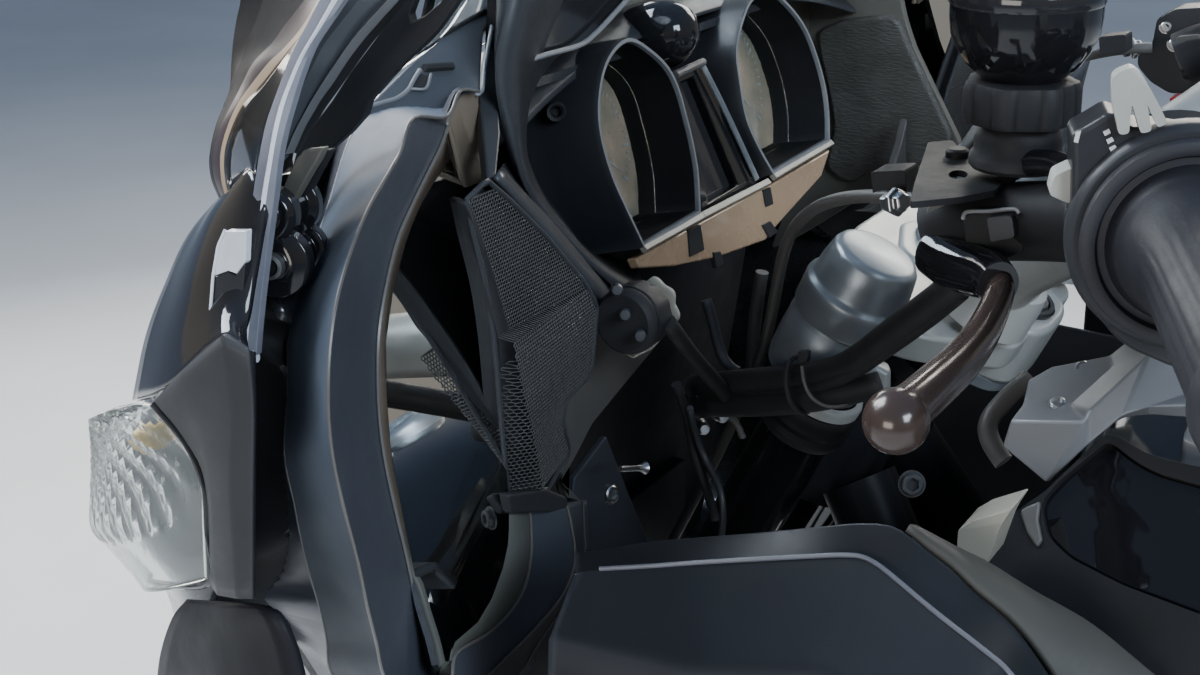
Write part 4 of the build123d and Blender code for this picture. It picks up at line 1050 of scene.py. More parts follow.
w = [px_line(W0, 0.358, 0.380), px_line(W1, 0.366, 0.384), px_line(W2, 0.378, 0.388), px_line(W3, 0.386, 0.391), px_line(W4, 0.389, 0.392),
     px_line(W5, DY - 0.004, DY - 0.003)]
# front edge bands, outside in: black, dim, dark brown, then a warm line of painted light
o = grid("wind_deflector_front_left", w[:5], ["low_black", "acrylic_dim", "edge_brown", "acrylic_tan"], bands=[0, 1, 2, 3], thick=0.0022, face=FACE,
         node="wind_deflectors", slot="clear_plastic", sharp=45, bev=0.0004)
both(o, "wind_deflector_front_right")
rows = [[a.lerp(b, t / 6) for a, b in zip(w[4], w[5])] for t in range(7)]
o = grid("wind_deflector_left", rows, "smoke", thick=0.003, face=FACE, slot="clear_plastic", sharp=50)
both(o, "wind_deflector_right")
# satin carrier of the deflector, behind the sheet and its thick edge, with a light rolled border
K0_ = [(320, -12), (312, 0), (296, 24), (278, 46), (264, 60), (250, 80), (241, 100), (242, 112), (246, 128), (250, 145), (254, 158), (257, 170)]
K1_ = [(350, -12), (342, 0), (326, 24), (309, 48), (297, 78), (288, 107), (281, 128), (277, 140), (273, 150), (270, 160), (268, 170), (266, 180)]
K2_ = [(392, -12), (385, 0), (368, 18), (350, 40), (337, 60), (326, 76), (315, 95), (308, 108), (302, 120), (296, 132), (292, 142), (288, 152)]
K3_ = [(406, -12), (399, 0), (381, 20), (362, 42), (347, 62), (334, 82), (321, 100), (314, 112), (308, 122), (303, 132), (298, 144), (294, 153)]
K4_ = [(412, -12), (406, 0), (389, 22), (370, 46), (354, 68), (340, 88), (327, 106), (320, 117), (313, 127), (308, 136), (303, 146), (298, 154)]
kk = [px_line(K0_, 0.374, 0.386), px_line(K1_, 0.386, 0.388), px_line(K2_, 0.380, 0.384), px_line(K3_, 0.378, 0.382), px_line(K4_, 0.368, 0.374)]
rows = [kk[0], [a.lerp(b, 0.5) + out_y * 0.002 for a, b in zip(kk[0], kk[1])], kk[1], [a.lerp(b, 0.5) + out_y * 0.003 for a, b in zip(kk[1], kk[2])],
        kk[2], [a.lerp(b, 0.5) + out_y * 0.003 for a, b in zip(kk[2], kk[3])], kk[3], kk[4]]
o = grid("deflector_carrier_left", rows, ["carrier", "trim", "matt"], bands=[0, 0, 0, 0, 1, 1, 2], thick=0.003, face=FACE, slot="black_plastic",
         sharp=30, bev=0.0005)
both(o, "deflector_carrier_right")
tab = [(303, 150), (323, 148), (316, 163), (310, 172), (293, 202), (281, 195), (284, 183), (296, 158)]
o = prism("deflector_tab_left", [at(a, b, y=0.386) for a, b in tab], (0, -0.004, 0), "olive", bev=0.0008, slot="clear_plastic")
both(o, "deflector_tab_right")
sh_ = [(323, 150), (330, 150), (318, 172), (300, 206), (286, 232), (276, 214), (283, 200), (293, 203), (310, 173), (317, 163)]
o = prism("deflector_shadow_gap_left", [at(a, b, y=0.378) for a, b in sh_], (0, -0.004, 0), "matt", bev=0.0006, slot="black_plastic")
both(o, "deflector_shadow_gap_right")
for k, (px, py, ro) in enumerate(((271, 214, 0.0095), (279, 262, 0.0115))):
    c = at(px, py, y=0.395)
    o = lathe(f"deflector_grommet_{k}_left", [(0, 0.007), (0.004, 0.007), (0.0045, 0.005), (0.0075, 0.005), (ro, 0.003), (ro, -0.003),
                                              (0.007, -0.004), (0.007, -0.016), (0.0105, -0.017), (0.0105, -0.022)], c, (-0.35, 0.93, 0.1),
              "gloss", segs=28, bev=0.0006, slot="rubber")
    both(o, f"deflector_grommet_{k}_right")
    o = lathe(f"deflector_screw_{k}_left", [(0, 0.0085), (0.0022, 0.0085), (0.003, 0.0095), (0.0042, 0.009), (0.0046, 0.0065)], c,
              (-0.35, 0.93, 0.1), "dark_steel", segs=20, slot="black_metal")
    both(o, f"deflector_screw_{k}_right")
# bright plate let into the shell beside the strip, with its frame: the upper part and the frame use the core's painted
# highlight colour
pl = [(224.5, 230), (244, 230), (243, 262), (239.5, 319), (209.6, 321), (213, 276), (218, 246)]
o = prism("shell_plate_upper_left", [at(a, b, y=0.4185) for a, b in ((225, 231), (246, 231), (245, 262), (236, 274), (228, 271), (214, 276), (219, 246))],
          (0, -0.003, 0), "acrylic_core", bev=0.0004, slot="clear_plastic")
both(o, "shell_plate_upper_right")
o = prism("shell_plate_lower_left", [at(a, b, y=0.4183) for a, b in ((214, 277), (228, 272), (236, 275), (245, 263), (241, 319), (210.5, 320))],
          (0, -0.003, 0), "gloss", bev=0.0004, slot="body_paint")
both(o, "shell_plate_lower_right")
o = tube("shell_plate_frame_left", spline([at(a, b, y=0.4190) for a, b in ((225, 230), (218, 246), (213, 276), (209.6, 321), (240, 319))], 40, smooth=False),
         0.0005, "acrylic_core", segs=8, slot="clear_plastic")
both(o, "shell_plate_frame_right")

# lower side panel in front of the housing, and the dark glossy panel under the lens
low = [[at(px, py, y=yy) for px, py, yy in row] for row in (
    [(187, 599, 0.405), (172, 618, 0.402), (160, 655, 0.40), (155, 700, 0.398)],
    [(232, 603, 0.425), (228, 620, 0.425), (226, 655, 0.425), (226, 700, 0.425)],
    [(262, 607, 0.432), (275, 618, 0.435), (291, 650, 0.435), (304, 700, 0.435)])]
rows = [spline(r, 16) for r in low]
rows = [spline([r[j] for r in rows], 12) for j in range(16)]
o = grid("fairing_lower_side_left", rows, "low_black", thick=0.003, face=FACE, slot="body_paint", sharp=0)
both(o, "fairing_lower_side_right")

# windscreen: one curved sheet
SCREEN = [(1118, 618, 560, 252), (1160, 604, 543, 258), (1200, 588, 524, 262), (1250, 563, 498, 258), (1300, 536, 470, 250),
          (1340, 512, 447, 240), (1380, 486, 424, 226), (1410, 465, 408, 210), (1426, 452, 398, 190)]
rows = []
for z, xc, xe, w in SCREEN:
    row = []
    for i in range(41):
        s = -1 + 2 * i / 40
        row.append(Vector(((xe + (xc - xe) * (1 - abs(s) ** 2.2)) * 0.001, s * w * 0.001, (z + (0 if z < 1400 else 4 * (1 - s * s))) * 0.001)))
    rows.append(row)
cols = [spline([r[j] for r in rows], 30) for j in range(41)]
o = grid("windscreen_sheet", cols, "screen", thick=0.004, face=(3, 0, 1.3), node="windscreen", slot="clear_plastic", sharp=50, bev=0.0015)
# ------------------------------------------------------------------ speaker grille
GX = 0.497
GL = [(466, 200), (474, 237), (486, 287), (494, 340), (501, 420), (508, 495)]
GC = [(478, 188), (495, 250), (512, 335), (519, 375), (536, 450), (543, 494)]
GR = [(487, 180), (509, 199), (547, 237), (585, 283), (597, 306), (591, 373), (566, 400), (562, 423), (570, 450), (547, 490)]
gl = spline([at(px, py, x=GX) for px, py in GL], 60)
gr = spline([at(px, py, x=GX) for px, py in GR], 60, smooth=False)
gc = spline([at(px, py, x=GX - 0.009) for px, py in GC], 60)


def y_at(line, z):
    best = None
    for a, b in zip(line, line[1:]):
        if (a.z - z) * (b.z - z) <= 0 and abs(a.z - b.z) > 1e-9:
            best = a.y + (b.y - a.y) * (z - a.z) / (b.z - a.z)
            break
    return best


def grille_x(y, z):
    yl, yc, yr = y_at(gl, z), y_at(gc, z), y_at(gr, z)
    if None in (yl, yc, yr):
        return None
    if not min(yl, yr) - 1e-6 <= y <= max(yl, yr) + 1e-6:
        return None
    t = (y - yl) / (yc - yl) if (y - yc) * (yl - yc) > 0 else (yr - y) / (yr - yc)
    return GX - 0.009 * max(0.0, min(1.0, t))


def honeycomb(name, pitch, wall, **kw):
    bm = bmesh.new()
    made = {}

    def vert(y, z):
        k = (round(y * 1e6 / 60), round(z * 1e6 / 60))
        if k not in made:
            x = grille_x(y, z)
            made[k] = bm.verts.new((x, y, z)) if x is not None else None
        return made[k]

    r = pitch / math.sqrt(3)
    ys = [p.y for p in gl + gr]
    zs = [p.z for p in gl + gr]
    row, z = 0, min(zs)
    while z < max(zs):
        y = min(ys) + (pitch / 2 if row % 2 else 0)
        while y < max(ys):
            vs = [vert(y + r * math.cos(math.pi / 6 + k * math.pi / 3), z + r * math.sin(math.pi / 6 + k * math.pi / 3)) for k in range(6)]
            if all(v is not None for v in vs) and len(set(vs)) == 6:
                try:
                    bm.faces.new(vs)
                except ValueError:
                    pass
            y += pitch
        z += 1.5 * r
        row += 1
    loose = [v for v in bm.verts if not v.link_faces]
    bmesh.ops.delete(bm, geom=loose, context="VERTS")
    o = from_bm(name, bm, "mesh", sharp=0, **kw)
    w = o.modifiers.new("wire", "WIREFRAME")
    w.thickness, w.use_replace, w.use_even_offset, w.use_boundary = wall, True, False, True
    return o


o = honeycomb("speaker_grille_left", 0.0018, 0.00065, node="speaker_grilles", slot="black_plastic")
both(o, "speaker_grille_right")
zlo = max(min(p.z for p in gl), min(p.z for p in gr), min(p.z for p in gc)) + 0.0004
zhi = min(max(p.z for p in gl), max(p.z for p in gr), max(p.z for p in gc)) - 0.0004
back = []
for i in range(61):
    z = zlo + (zhi - zlo) * i / 60
    yl, yc, yr = y_at(gl, z), y_at(gc, z), y_at(gr, z)
    if None in (yl, yc, yr):
        continue
    back.append(spline([Vector((GX, yl, z)), Vector((GX - 0.009, yc, z)), Vector((GX, yr, z))], 9, smooth=False))
back = [[p + Vector((0.0075, 0, 0)) for p in r] for r in back]
o = grid("grille_backing_left", back, "matt", thick=0.002, face=FACE, slot="black_plastic")
both(o, "grille_backing_right")
edge = gl + list(reversed(gr))
o = tube("grille_rim_left", spline(edge, 120, closed=True, smooth=False)[:-1], 0.0011, "satin", segs=8, closed=True, slot="black_plastic")
both(o, "grille_rim_right")
# the closing strip below the grille
o = prism("grille_foot_left", [at(px, py, x=0.488) for px, py in ((508, 495), (547, 489), (568, 497), (570, 508), (552, 513), (511, 514))],
          (0.005, 0, 0), "matt", bev=0.0015, slot="black_plastic")
both(o, "grille_foot_right")

# ------------------------------------------------------------------ inner fairing pillar, from the mirror up along the screen
P1, P2, P3 = R(478, 92, 0.004), at(487, 180, x=0.499), at(500, 0, x=0.545)
PIL_N = (P2 - P1).cross(P3 - P1).normalized()


def S(px, py, d=0.0):
    return on(px, py, P1 + PIL_N * d, PIL_N)


if PIL_N.dot(CAM_AT - P1) < 0:
    PIL_N = -PIL_N
pil = [(503, -24), (493, 22), (484, 31), (482, 64), (481, 92), (467, 91), (456, 89), (446, 112), (441, 120), (413, 125), (405, 122), (363, 130),
       (363, 112), (372, 101), (390, 83), (408, 65), (424, 51), (438, 38), (443, 34), (478, 12), (488, -24)]
o = prism("fairing_pillar_left", [S(*p, 0.001) for p in pil], PIL_N * -0.006, "carrier", bev=0.0014, slot="satin_black_plastic")
both(o, "fairing_pillar_right")
pil2 = [(501, -24), (492, 22), (484, 66), (479, 96), (487, 180), (497, 175), (501, 134), (496, 57), (509, -24)]
o = prism("fairing_pillar_inner_left", [S(*p, -0.004) for p in pil2], PIL_N * -0.006, "satin", bev=0.0012, slot="satin_black_plastic")
both(o, "fairing_pillar_inner_right")
# painted highlight: a light grey line along the pillar's right edge, where the edge catches the light
o = tube("fairing_pillar_edge_highlight_left", [S(*p, 0.002) for p in ((501, -20), (493, 20), (485, 65), (481, 93), (470, 91))], 0.0009, "trim", n=24, segs=8,
         slot="satin_black_plastic")
both(o, "fairing_pillar_edge_highlight_right")
o = prism("pillar_slot_left", [S(*p, 0.0026) for p in ((420, 73), (428, 75), (425, 86), (412, 87))], PIL_N * -0.004, "matt", bev=0.0004,
          slot="black_plastic")
both(o, "pillar_slot_right")
for k_, (line_, r_, m__) in enumerate(((((367, 107), (381, 103), (397, 98), (408, 90), (414, 80), (420, 70)), 0.0009, "trim"),
                                       (((411, 89), (426, 88), (431, 74)), 0.0006, "trim"), (((424, 68), (437, 67), (453, 66)), 0.0016, "matt"),
                                       (((443, 35), (470, 19), (499, 2)), 0.0010, "matt"))):
    o = tube(f"pillar_line_{k_}_left", [S(*p, 0.0022) for p in line_], r_, m__, n=24, segs=8, slot="satin_black_plastic")
    both(o, f"pillar_line_{k_}_right")
# screen edge trim: clear bead along the side of the windscreen
bead = [at(px, py, y=0.262) for px, py in ((462, -14), (459, 0), (432, 38), (387, 73), (362, 109))]
o = tube("screen_edge_bead_left", bead, 0.0046, "clear", n=30, segs=12, squash=(1.0, 0.55), slot="clear_plastic")
both(o, "screen_edge_bead_right")
# dark well between the deflector's carrier and the screen
car = [(400, -12), (411, -12), (414, 0), (409, 14), (411, 22), (424, 16), (440, 2), (448, -12), (462, -12), (458, 0), (437, 30), (426, 42), (406, 60),
       (388, 79), (368, 102), (364, 116), (350, 132), (330, 150), (318, 172), (296, 204), (286, 190), (296, 152), (312, 126), (332, 100), (350, 72),
       (374, 40), (392, 14)]
o = prism("screen_carrier_left", [at(px, py, y=0.352) for px, py in car], (0, -0.004, 0), "matt", bev=0.0006, slot="black_plastic")
both(o, "screen_carrier_right")

# ------------------------------------------------------------------ dash, dials
DIAL_N = Vector((-math.cos(math.radians(13.5)), 0, math.sin(math.radians(13.5))))
D1, D2 = Vector((0.5427, 0.0757, 1.068)), Vector((0.5427, -0.0757, 1.068))


def DL(px, py, d=0.008):
    return on(px, py, D1 + DIAL_N * d, DIAL_N)


RIM1 = [(598, 104), (604, 67), (617, 45), (632, 38), (652, 50), (669, 67), (680, 90), (688, 119), (694, 144), (699, 174), (701, 213),
        (644, 247), (627, 211), (612, 177), (601, 139)]
RIM2 = [(736, 50), (742, 20), (752, -2), (770, -10), (788, 3), (806, 27), (818, 57), (826, 87), (829.5, 114), (830, 141), (773, 174),
        (759, 149), (746, 119), (739, 80)]


def dial_ring(rim):
    pts = [DL(*p) for p in rim]
    k = 10 if rim is RIM1 else 9
    # smooth round the top, straight along the bottom bar
    top = spline(pts[k + 1:] + pts[:k + 1], 60)
    return top + spline([pts[k], pts[k + 1]], 14, smooth=False)[1:-1]


for tag, rim in (("left", RIM1), ("right", RIM2)):
    ring = dial_ring(rim)
    mid = sum(ring, Vector()) / len(ring)

    def sc(k, d, ring=ring, mid=mid):
        return [mid + (p - mid) * k + DIAL_N * d for p in ring]

    # the thin rim ring takes the light trim colour as a painted highlight on its edge
    grid(f"dial_hood_{tag}", [sc(0.955, -0.002), sc(0.965, 0.0), sc(1.0, 0.0), sc(1.012, -0.003), sc(1.02, -0.030), sc(1.03, -0.038), sc(1.09, -0.047),
                              sc(1.11, -0.060)], ["satin", "trim"], bands=[1, 1, 0, 0, 0, 0, 0], close_u=True, face=None,
         node="instrument_pods", slot="black_plastic", thick=0.0)
    grid(f"dial_well_{tag}", [sc(0.955, -0.002), sc(0.935, -0.02), sc(0.90, -0.036)], "matt", close_u=True, slot="black_plastic")
    # the face carries the painted reflection colour
    face = sc(0.905, -0.0345)
    prism(f"dial_face_painted_reflection_{tag}", face, DIAL_N * -0.004, "dial", bev=0.0, slot="dial_glass")
    prism(f"dial_glazing_{tag}", sc(0.915, -0.024), DIAL_N * -0.0012, "clear", bev=0.0, slot="clear_plastic")
    # scale: ticks round the face, a hand and its hub
    bm = bmesh.new()
    u_, v_, a_ = basis(DIAL_N, (0, 0, 1))
    cen = sum(face, Vector()) / len(face)
    rad = min((p - cen).length for p in face) * 0.92
    for k in range(41):
        g = math.radians(-130 + 260 * k / 40)
        dirv = u_ * math.cos(g) + v_ * math.sin(g)
        side_ = a_.cross(dirv)
        ln, wd = (0.0055, 0.0007) if k % 5 == 0 else (0.003, 0.0004)
        q = [cen + dirv * rad + side_ * wd, cen + dirv * rad - side_ * wd, cen + dirv * (rad - ln) - side_ * wd, cen + dirv * (rad - ln) + side_ * wd]
        bm.faces.new([bm.verts.new(p + DIAL_N * 0.0006) for p in q])
    g = math.radians(-128)
    dirv = u_ * math.cos(g) + v_ * math.sin(g)
    side_ = a_.cross(dirv)
    bm.faces.new([bm.verts.new(p + DIAL_N * 0.002) for p in (cen + dirv * rad * 0.86, cen + side_ * 0.0012, cen - dirv * 0.008, cen - side_ * 0.0012)])
    o = from_bm(f"dial_scale_{tag}", bm, "white_mark", sharp=0, slot="dial_glass")
    m_ = o.modifiers.new("thick", "SOLIDIFY")
    m_.thickness = 0.0003
    lathe(f"dial_hub_{tag}", [(0, 0.005), (0.004, 0.005), (0.005, 0.003), (0.005, 0)], cen, DIAL_N, "matt", segs=24, slot="dial_glass")

# flat display between the dials, its frame and the bars under all three
prism("display_frame", [DL(px, py, 0.001) for px, py in ((672, 77), (705, 61), (760, 180), (703, 213))], DIAL_N * -0.03, "gloss", bev=0.0012,
      holes=[[DL(px, py, 0.001) for px, py in ((681, 83), (694, 77), (738, 185), (709, 203))]], node="cockpit_panel", slot="black_plastic")
prism("display_glass", [DL(px, py, -0.004) for px, py in ((678, 82), (697, 73), (742, 186), (706, 206))], DIAL_N * -0.002, "gloss", bev=0.0,
      slot="dial_glass")
tube("display_side_rail", [DL(703, 66, 0.004), DL(726, 112, 0.004), DL(757, 179, 0.004)], 0.0014, "silver", n=14, segs=10, squash=(1.2, 0.7), slot="silver_alloy")
tube("display_top_rail", [DL(675, 75, 0.004), DL(703, 62, 0.004)], 0.0022, "warm_panel", n=4, segs=10, slot="black_plastic")
for k, (a, b) in enumerate((((643, 249), (702, 216)), ((702, 216), (768, 182)), ((773, 177), (831, 143)))):
    tube(f"dash_bar_{k}", [DL(*a, 0.007), DL(*b, 0.007)], 0.0024, "olive_bar", n=4, segs=4, bev=0.0004, slot="silver_paint")

# shell round the dials
SH_A = [(497, -24), (494, 57), (499, 104), (510, 162), (533, 209), (572, 256), (600, 288), (640, 316)]
SH_M = [(520, -24), (507, 62), (508, 104), (517, 158), (540, 203), (577, 246), (606, 272), (642, 296)]
SH_B = [(640, -14), (597, 32), (545, 58), (522, 119), (534, 172), (556, 204), (584, 240), (640, 268)]
rows = [spline([at(px, py, x=x_) for px, py in row_], 40) for row_, x_ in ((SH_A, 0.540), (SH_M, 0.512), (SH_B, 0.582))]
cols = [spline([r[j] for r in rows], 12) for j in range(40)]
o = grid("dash_shell_left", cols, "satin", thick=0.003, face=FACE, slot="black_plastic", sharp=0)
# painted highlight: a light grey tube along the visor lip for the light on its edge
tube("dash_visor_lip_highlight_left", [at(px, py, x=0.530) for px, py in ((505, 70), (525, 62), (545, 55), (580, 45), (597, 32), (612, 16), (630, -4), (645, -24))],
     0.0012, "trim", n=40, segs=8, slot="black_plastic")
prism("dash_visor_left", [at(px, py, x=0.534) for px, py in ((500, -24), (496, 57), (505, 69), (545, 54), (580, 44), (597, 31), (630, -5), (645, -24))],
      (0.006, 0, 0), "gloss", bev=0.0008, slot="black_plastic")
prism("dash_top_panel", [at(px, py, x=0.585) for px, py in ((585, 60), (640, -24), (850, -24), (838, 20), (800, 60), (740, 190), (640, 180))],
      (0.008, 0, 0), "olive", bev=0.001, slot="black_plastic")
lathe("dash_camera_ball", [(0, 0.014), (0.006, 0.013), (0.011, 0.010), (0.0155, 0.003), (0.0175, -0.005), (0.0175, -0.02)], at(671, 32, x=0.553),
      (-0.93, 0.2, 0.3), "gloss", segs=40, slot="black_plastic")
lathe("hood_screw_recess", [(0.0, -0.003), (0.0022, -0.003), (0.0026, 0.0), (0.0042, 0.0012), (0.0046, 0.0), (0.0046, -0.004)], at(556, 112, x=0.560),
      (-0.5, 0.85, 0.1), "matt", segs=28, slot="black_plastic")
# panel under the dials, its tan gloss a painted reflection
low_p = [(636, 258), (702, 222), (768, 186), (831, 149), (822, 176), (778, 225), (766, 240), (719, 257), (676, 266), (640, 268)]
prism("dash_lower_panel", [DL(px, py, 0.0) for px, py in low_p], DIAL_N * -0.006, "bronze_panel", bev=0.0012, slot="black_plastic")
for k, q in enumerate((((689, 230), (701, 224), (705, 250), (691, 257)), ((764, 190), (771, 187), (774, 204), (767, 207)),
                       ((763, 225), (771, 221), (779, 232), (770, 238)), ((714, 252), (721, 251), (725, 264), (717, 268)))):
    prism(f"dash_slot_{k}", [DL(px, py, 0.0012) for px, py in q], DIAL_N * -0.003, "matt", bev=0.0006, slot="black_plastic")
# back and top of the dash, seen from the sides and from above
prism("dash_bulkhead", [Vector((0.592, s * y, z)) for s, y, z in ((1, 0.262, 0.985), (1, 0.285, 1.05), (1, 0.235, 1.106), (-1, 0.235, 1.106), (-1, 0.285, 1.05),
                                                                 (-1, 0.262, 0.985))], (0.01, 0, 0), "matt", bev=0.002, slot="black_plastic")
rows = []
for x_, z_, w_ in ((0.548, 1.113, 0.205), (0.566, 1.121, 0.222), (0.59, 1.122, 0.238), (0.612, 1.112, 0.246), (0.622, 1.098, 0.25)):
    rows.append([Vector((x_ + 0.012 * (1 - (s / 10) ** 2), s / 10 * w_, z_ - 0.03 * abs(s / 10) ** 2.5)) for s in range(-10, 11)])
grid("dash_top_cover", rows, "satin", thick=0.004, face=(0.5, 0, 2), sub=1, slot="black_plastic")

# ------------------------------------------------------------------ right inner wall with its grained pad
pad = [(816, 31), (840, 20), (891, 15), (902, 26), (908, 45), (952, 138), (946, 150), (921, 165), (868, 172), (853, 183), (838, 180), (824, 166),
       (833, 126), (826, 86), (818, 52)]
PADY = -0.200
out_ = rounded([at(px, py, y=PADY) for px, py in pad], 0.006, 4)
prism("wall_pad", out_, (0, -0.008, 0), "pad", bev=0.003, segs=4, slot="black_plastic")
wall = [(796, -24), (896, -24), (905, 20), (914, 48), (962, 148), (925, 182), (858, 200), (800, 236), (770, 250), (800, 170), (800, 60)]
prism("inner_wall_right", rounded([at(px, py, y=PADY - 0.0045) for px, py in wall], 0.006, 3), (0, -0.006, 0), "olive", bev=0.002,
      slot="black_plastic")

# ------------------------------------------------------------------ knob beside the grille
K0 = at(627, 321, y=0.206)
KA = (at(661, 302, y=0.176) - K0).normalized()
lathe("adjuster_knob", [(0, -0.004), (0.0125, -0.004), (0.0140, -0.0025), (0.0146, 0.0005), (0.0140, 0.0014), (0.0138, 0.0028), (0.0144, 0.0036), (0.0141, 0.014),
                        (0.0124, 0.0165), (0.0075, 0.018), (0.005, 0.020), (0.005, 0.026)], K0, KA, "matt", segs=72,
      shape=lambda g, r, t: 1 + (0.018 * math.cos(12 * g) if t > 0.005 else 0), slot="black_plastic")
lathe("adjuster_flange", [(0, 0.0225), (0.0104, 0.0225), (0.0117, 0.0232), (0.0119, 0.0246), (0.0106, 0.0258), (0.0045, 0.0260), (0, 0.0260)], K0, KA, "olive_bar",
      segs=72, shape=lambda g, r, t: 1 + 0.07 * math.cos(7 * g) + 0.05 * math.sin(3 * g + 1), slot="steel")
for k, (px, py) in enumerate(((617, 290), (625, 315), (640, 336))):
    c = at(px, py, y=0.2)
    lathe(f"knob_dimple_{k}", [(0, 0.0012), (0.002, 0.001), (0.0026, 0), (0.0026, -0.004)], at(px, py, y=0.2145),
          (-0.5, 0.8, 0.2), "satin", segs=20, slot="black_plastic")
# lower inner panel, below the knob and right of the grille
lp = [(590, 294), (600, 318), (620, 350), (634, 357), (652, 348), (668, 333), (652, 352), (628, 381), (593, 424), (575, 459), (563, 480),
      (583, 503), (568, 498), (561, 470), (569, 440), (560, 402), (571, 380), (588, 359), (591, 337)]
pts = [at(px, py, x=0.512 + 0.0 * py) for px, py in lp]
o = prism("inner_lower_panel_left", pts, (0.005, 0, 0), "warm_panel", bev=0.0016, slot="black_plastic")
both(o, "inner_lower_panel_right")
# shell between grille and lower panel, turning forward into the fairing
rows = [spline([at(px, py, x=x_) for px, py in line], 24) for line, x_ in (
    ([(497, 176), (547, 232), (590, 283), (600, 308)], 0.499), ([(500, 170), (552, 228), (596, 280), (608, 300)], 0.505),
    ([(508, 160), (562, 222), (604, 272), (618, 290)], 0.530))]
o = grid("grille_side_shell_left", rows, "satin", thick=0.002, face=FACE, slot="black_plastic", sharp=0)
# triangular stay with its bolt
tri = [(607, 436), (632, 500), (651, 546), (628, 575), (585, 560), (572, 500), (575, 478)]
o = prism("fairing_stay_left", [at(px, py, x=0.520) for px, py in tri], (0.004, 0, 0), "shelf", bev=0.0012, slot="black_metal")
both(o, "fairing_stay_right")
o = bolts("fairing_stay_bolt_left", [(at(610, 494, x=0.5195), Vector((-1, 0.25, 0.25)), 0.0042, 0.0025)], "steel", slot="steel")
both(o, "fairing_stay_bolt_right")
o = tube("small_stud_left", [at(620, 469, y=0.20), at(640, 468, y=0.185), at(645, 468, y=0.182)], [0.0014, 0.0014, 0.003], "steel", n=8, segs=12, slot="steel")
both(o, "small_stud_right")

# ------------------------------------------------------------------ fork bridge, bars, grips
UP, FW = Vector((-0.4478, 0, 0.8941)), Vector((0.8941, 0, 0.4478))
B0 = Vector((0.4317, 0, 0.985))


def BR(a, b, h):
    """On the fork bridge: a forward, b to the left, h up the steering axis, in mm."""
    return B0 + FW * (a * 0.001) + Vector((0, b * 0.001, 0)) + UP * (h * 0.001)


for s, tag in ((1, "left"), (-1, "right")):
    lathe(f"fork_clamp_{tag}", [(0, 0.0525), (0.0165, 0.052), (0.0192, 0.0508), (0.0206, 0.0485), (0.0222, 0.040), (0.0228, 0.034), (0.0232, 0.0322),
                                (0.0247, 0.0312), (0.0252, 0.0296), (0.0250, 0.027), (0.0246, 0.0165), (0.0240, 0.0152), (0.0229, 0.0148),
                                (0.0229, 0.0132), (0.0238, 0.0124), (0.0240, 0.0), (0.0236, -0.013), (0.0225, -0.0175), (0.0200, -0.018), (0, -0.018)],
          BR(4, s * 105, 0), UP, "silver", segs=80, body=STEER, node="fork_bridge" if s == 1 else None, slot="silver_alloy", sharp=50)
arm = [(-64, 46), (-52, 58), (-34, 88), (-12, 104), (14, 104), (24, 90), (28, 62), (36, 34), (36, -34), (28, -62), (24, -90), (14, -104), (-12, -104), (-34, -88),
       (-52, -58), (-64, -46)]
prism("fork_bridge_plate", rounded([BR(a, b, 7) for a, b in arm], 0.010, 4), UP * 0.016, "silver_pale", bev=0.0028, segs=4, body=STEER, slot="silver_alloy")
nose_o = [(-66, 26), (-70, 12), (-70, -12), (-66, -26), (-44, -36), (-20, -34), (12, -30), (24, 0), (12, 30), (-20, 34), (-44, 36)]
prism("fork_bridge_hub", rounded([BR(a, b, -9) for a, b in nose_o], 0.008, 4), UP * 0.034, "silver_pale", bev=0.0035, segs=4, body=STEER, slot="silver_alloy")
prism("fork_bridge_skirt", rounded([BR(a * 0.96, b * 0.96, -16) for a, b in nose_o], 0.008, 4), UP * 0.0075, "silver", bev=0.0015, segs=3, body=STEER,
      slot="silver_alloy")
lathe("steering_cap_seat", [(0, 0), (0.0185, 0), (0.0188, 0.0022), (0.0178, 0.0034), (0.0156, 0.0034), (0.0150, 0.0020), (0, 0.002)], BR(-47, 0, 24.5), UP,
      "gloss", segs=56, body=STEER, slot="black_plastic", sharp=30)
lathe("steering_cap", [(0, 0.0052), (0.006, 0.0050), (0.0110, 0.0042), (0.0140, 0.0026), (0.0146, 0.0012), (0.0146, 0)], BR(-47, 0, 26), UP, "steel", segs=56,
      body=STEER, slot="steel", sharp=30)
lathe("steering_stem_nut", [(0.0, 0.006), (0.008, 0.006), (0.0135, 0.0058), (0.0150, 0.0045), (0.0150, 0.0)], BR(0, 0, 24), UP, "silver", segs=6, bev=0.001,
      body=STEER, slot="silver_alloy")
bolts("bridge_screws", [(BR(a, b, 23.5), UP, 0.0042, 0.0022) for a, b in ((-26, 40), (-26, -40), (10, 52), (10, -52), (-14, 84), (-14, -84))], "steel",
      body=STEER, slot="steel")

# bars: cast arms into tubes
F0, G1 = Vector((0.248, 0.255, 1.100)), Vector((0.197, 0.380, 1.096))
GD = (G1 - F0).normalized()
o = tube("bar_arm_left", [(0.372, 0.048, 1.004), (0.366, 0.060, 1.020), (0.338, 0.108, 1.046), (0.302, 0.176, 1.076), (0.274, 0.216, 1.093)],
         [0.0215, 0.0195, 0.0172, 0.0150, 0.0125], "silver_pale", n=40, segs=40, squash=(1.0, 0.82), body=STEER, node="handlebar", slot="silver_alloy")
both(o, "bar_arm_right")
o = tube("bar_tube_left", [(0.280, 0.207, 1.089), (0.262, 0.232, 1.097), tuple(F0), tuple(G1)], 0.0108, "dark_steel", n=24, segs=28, body=STEER,
         slot="black_metal")
both(o, "bar_tube_right")
o = lathe("bar_boss_left", [(0, 0.006), (0.017, 0.006), (0.0215, 0.003), (0.0225, -0.004), (0.0225, -0.020), (0, -0.020)], (0.372, 0.050, 1.010), UP, "silver_pale",
          segs=44, body=STEER, slot="silver_alloy", sharp=45)
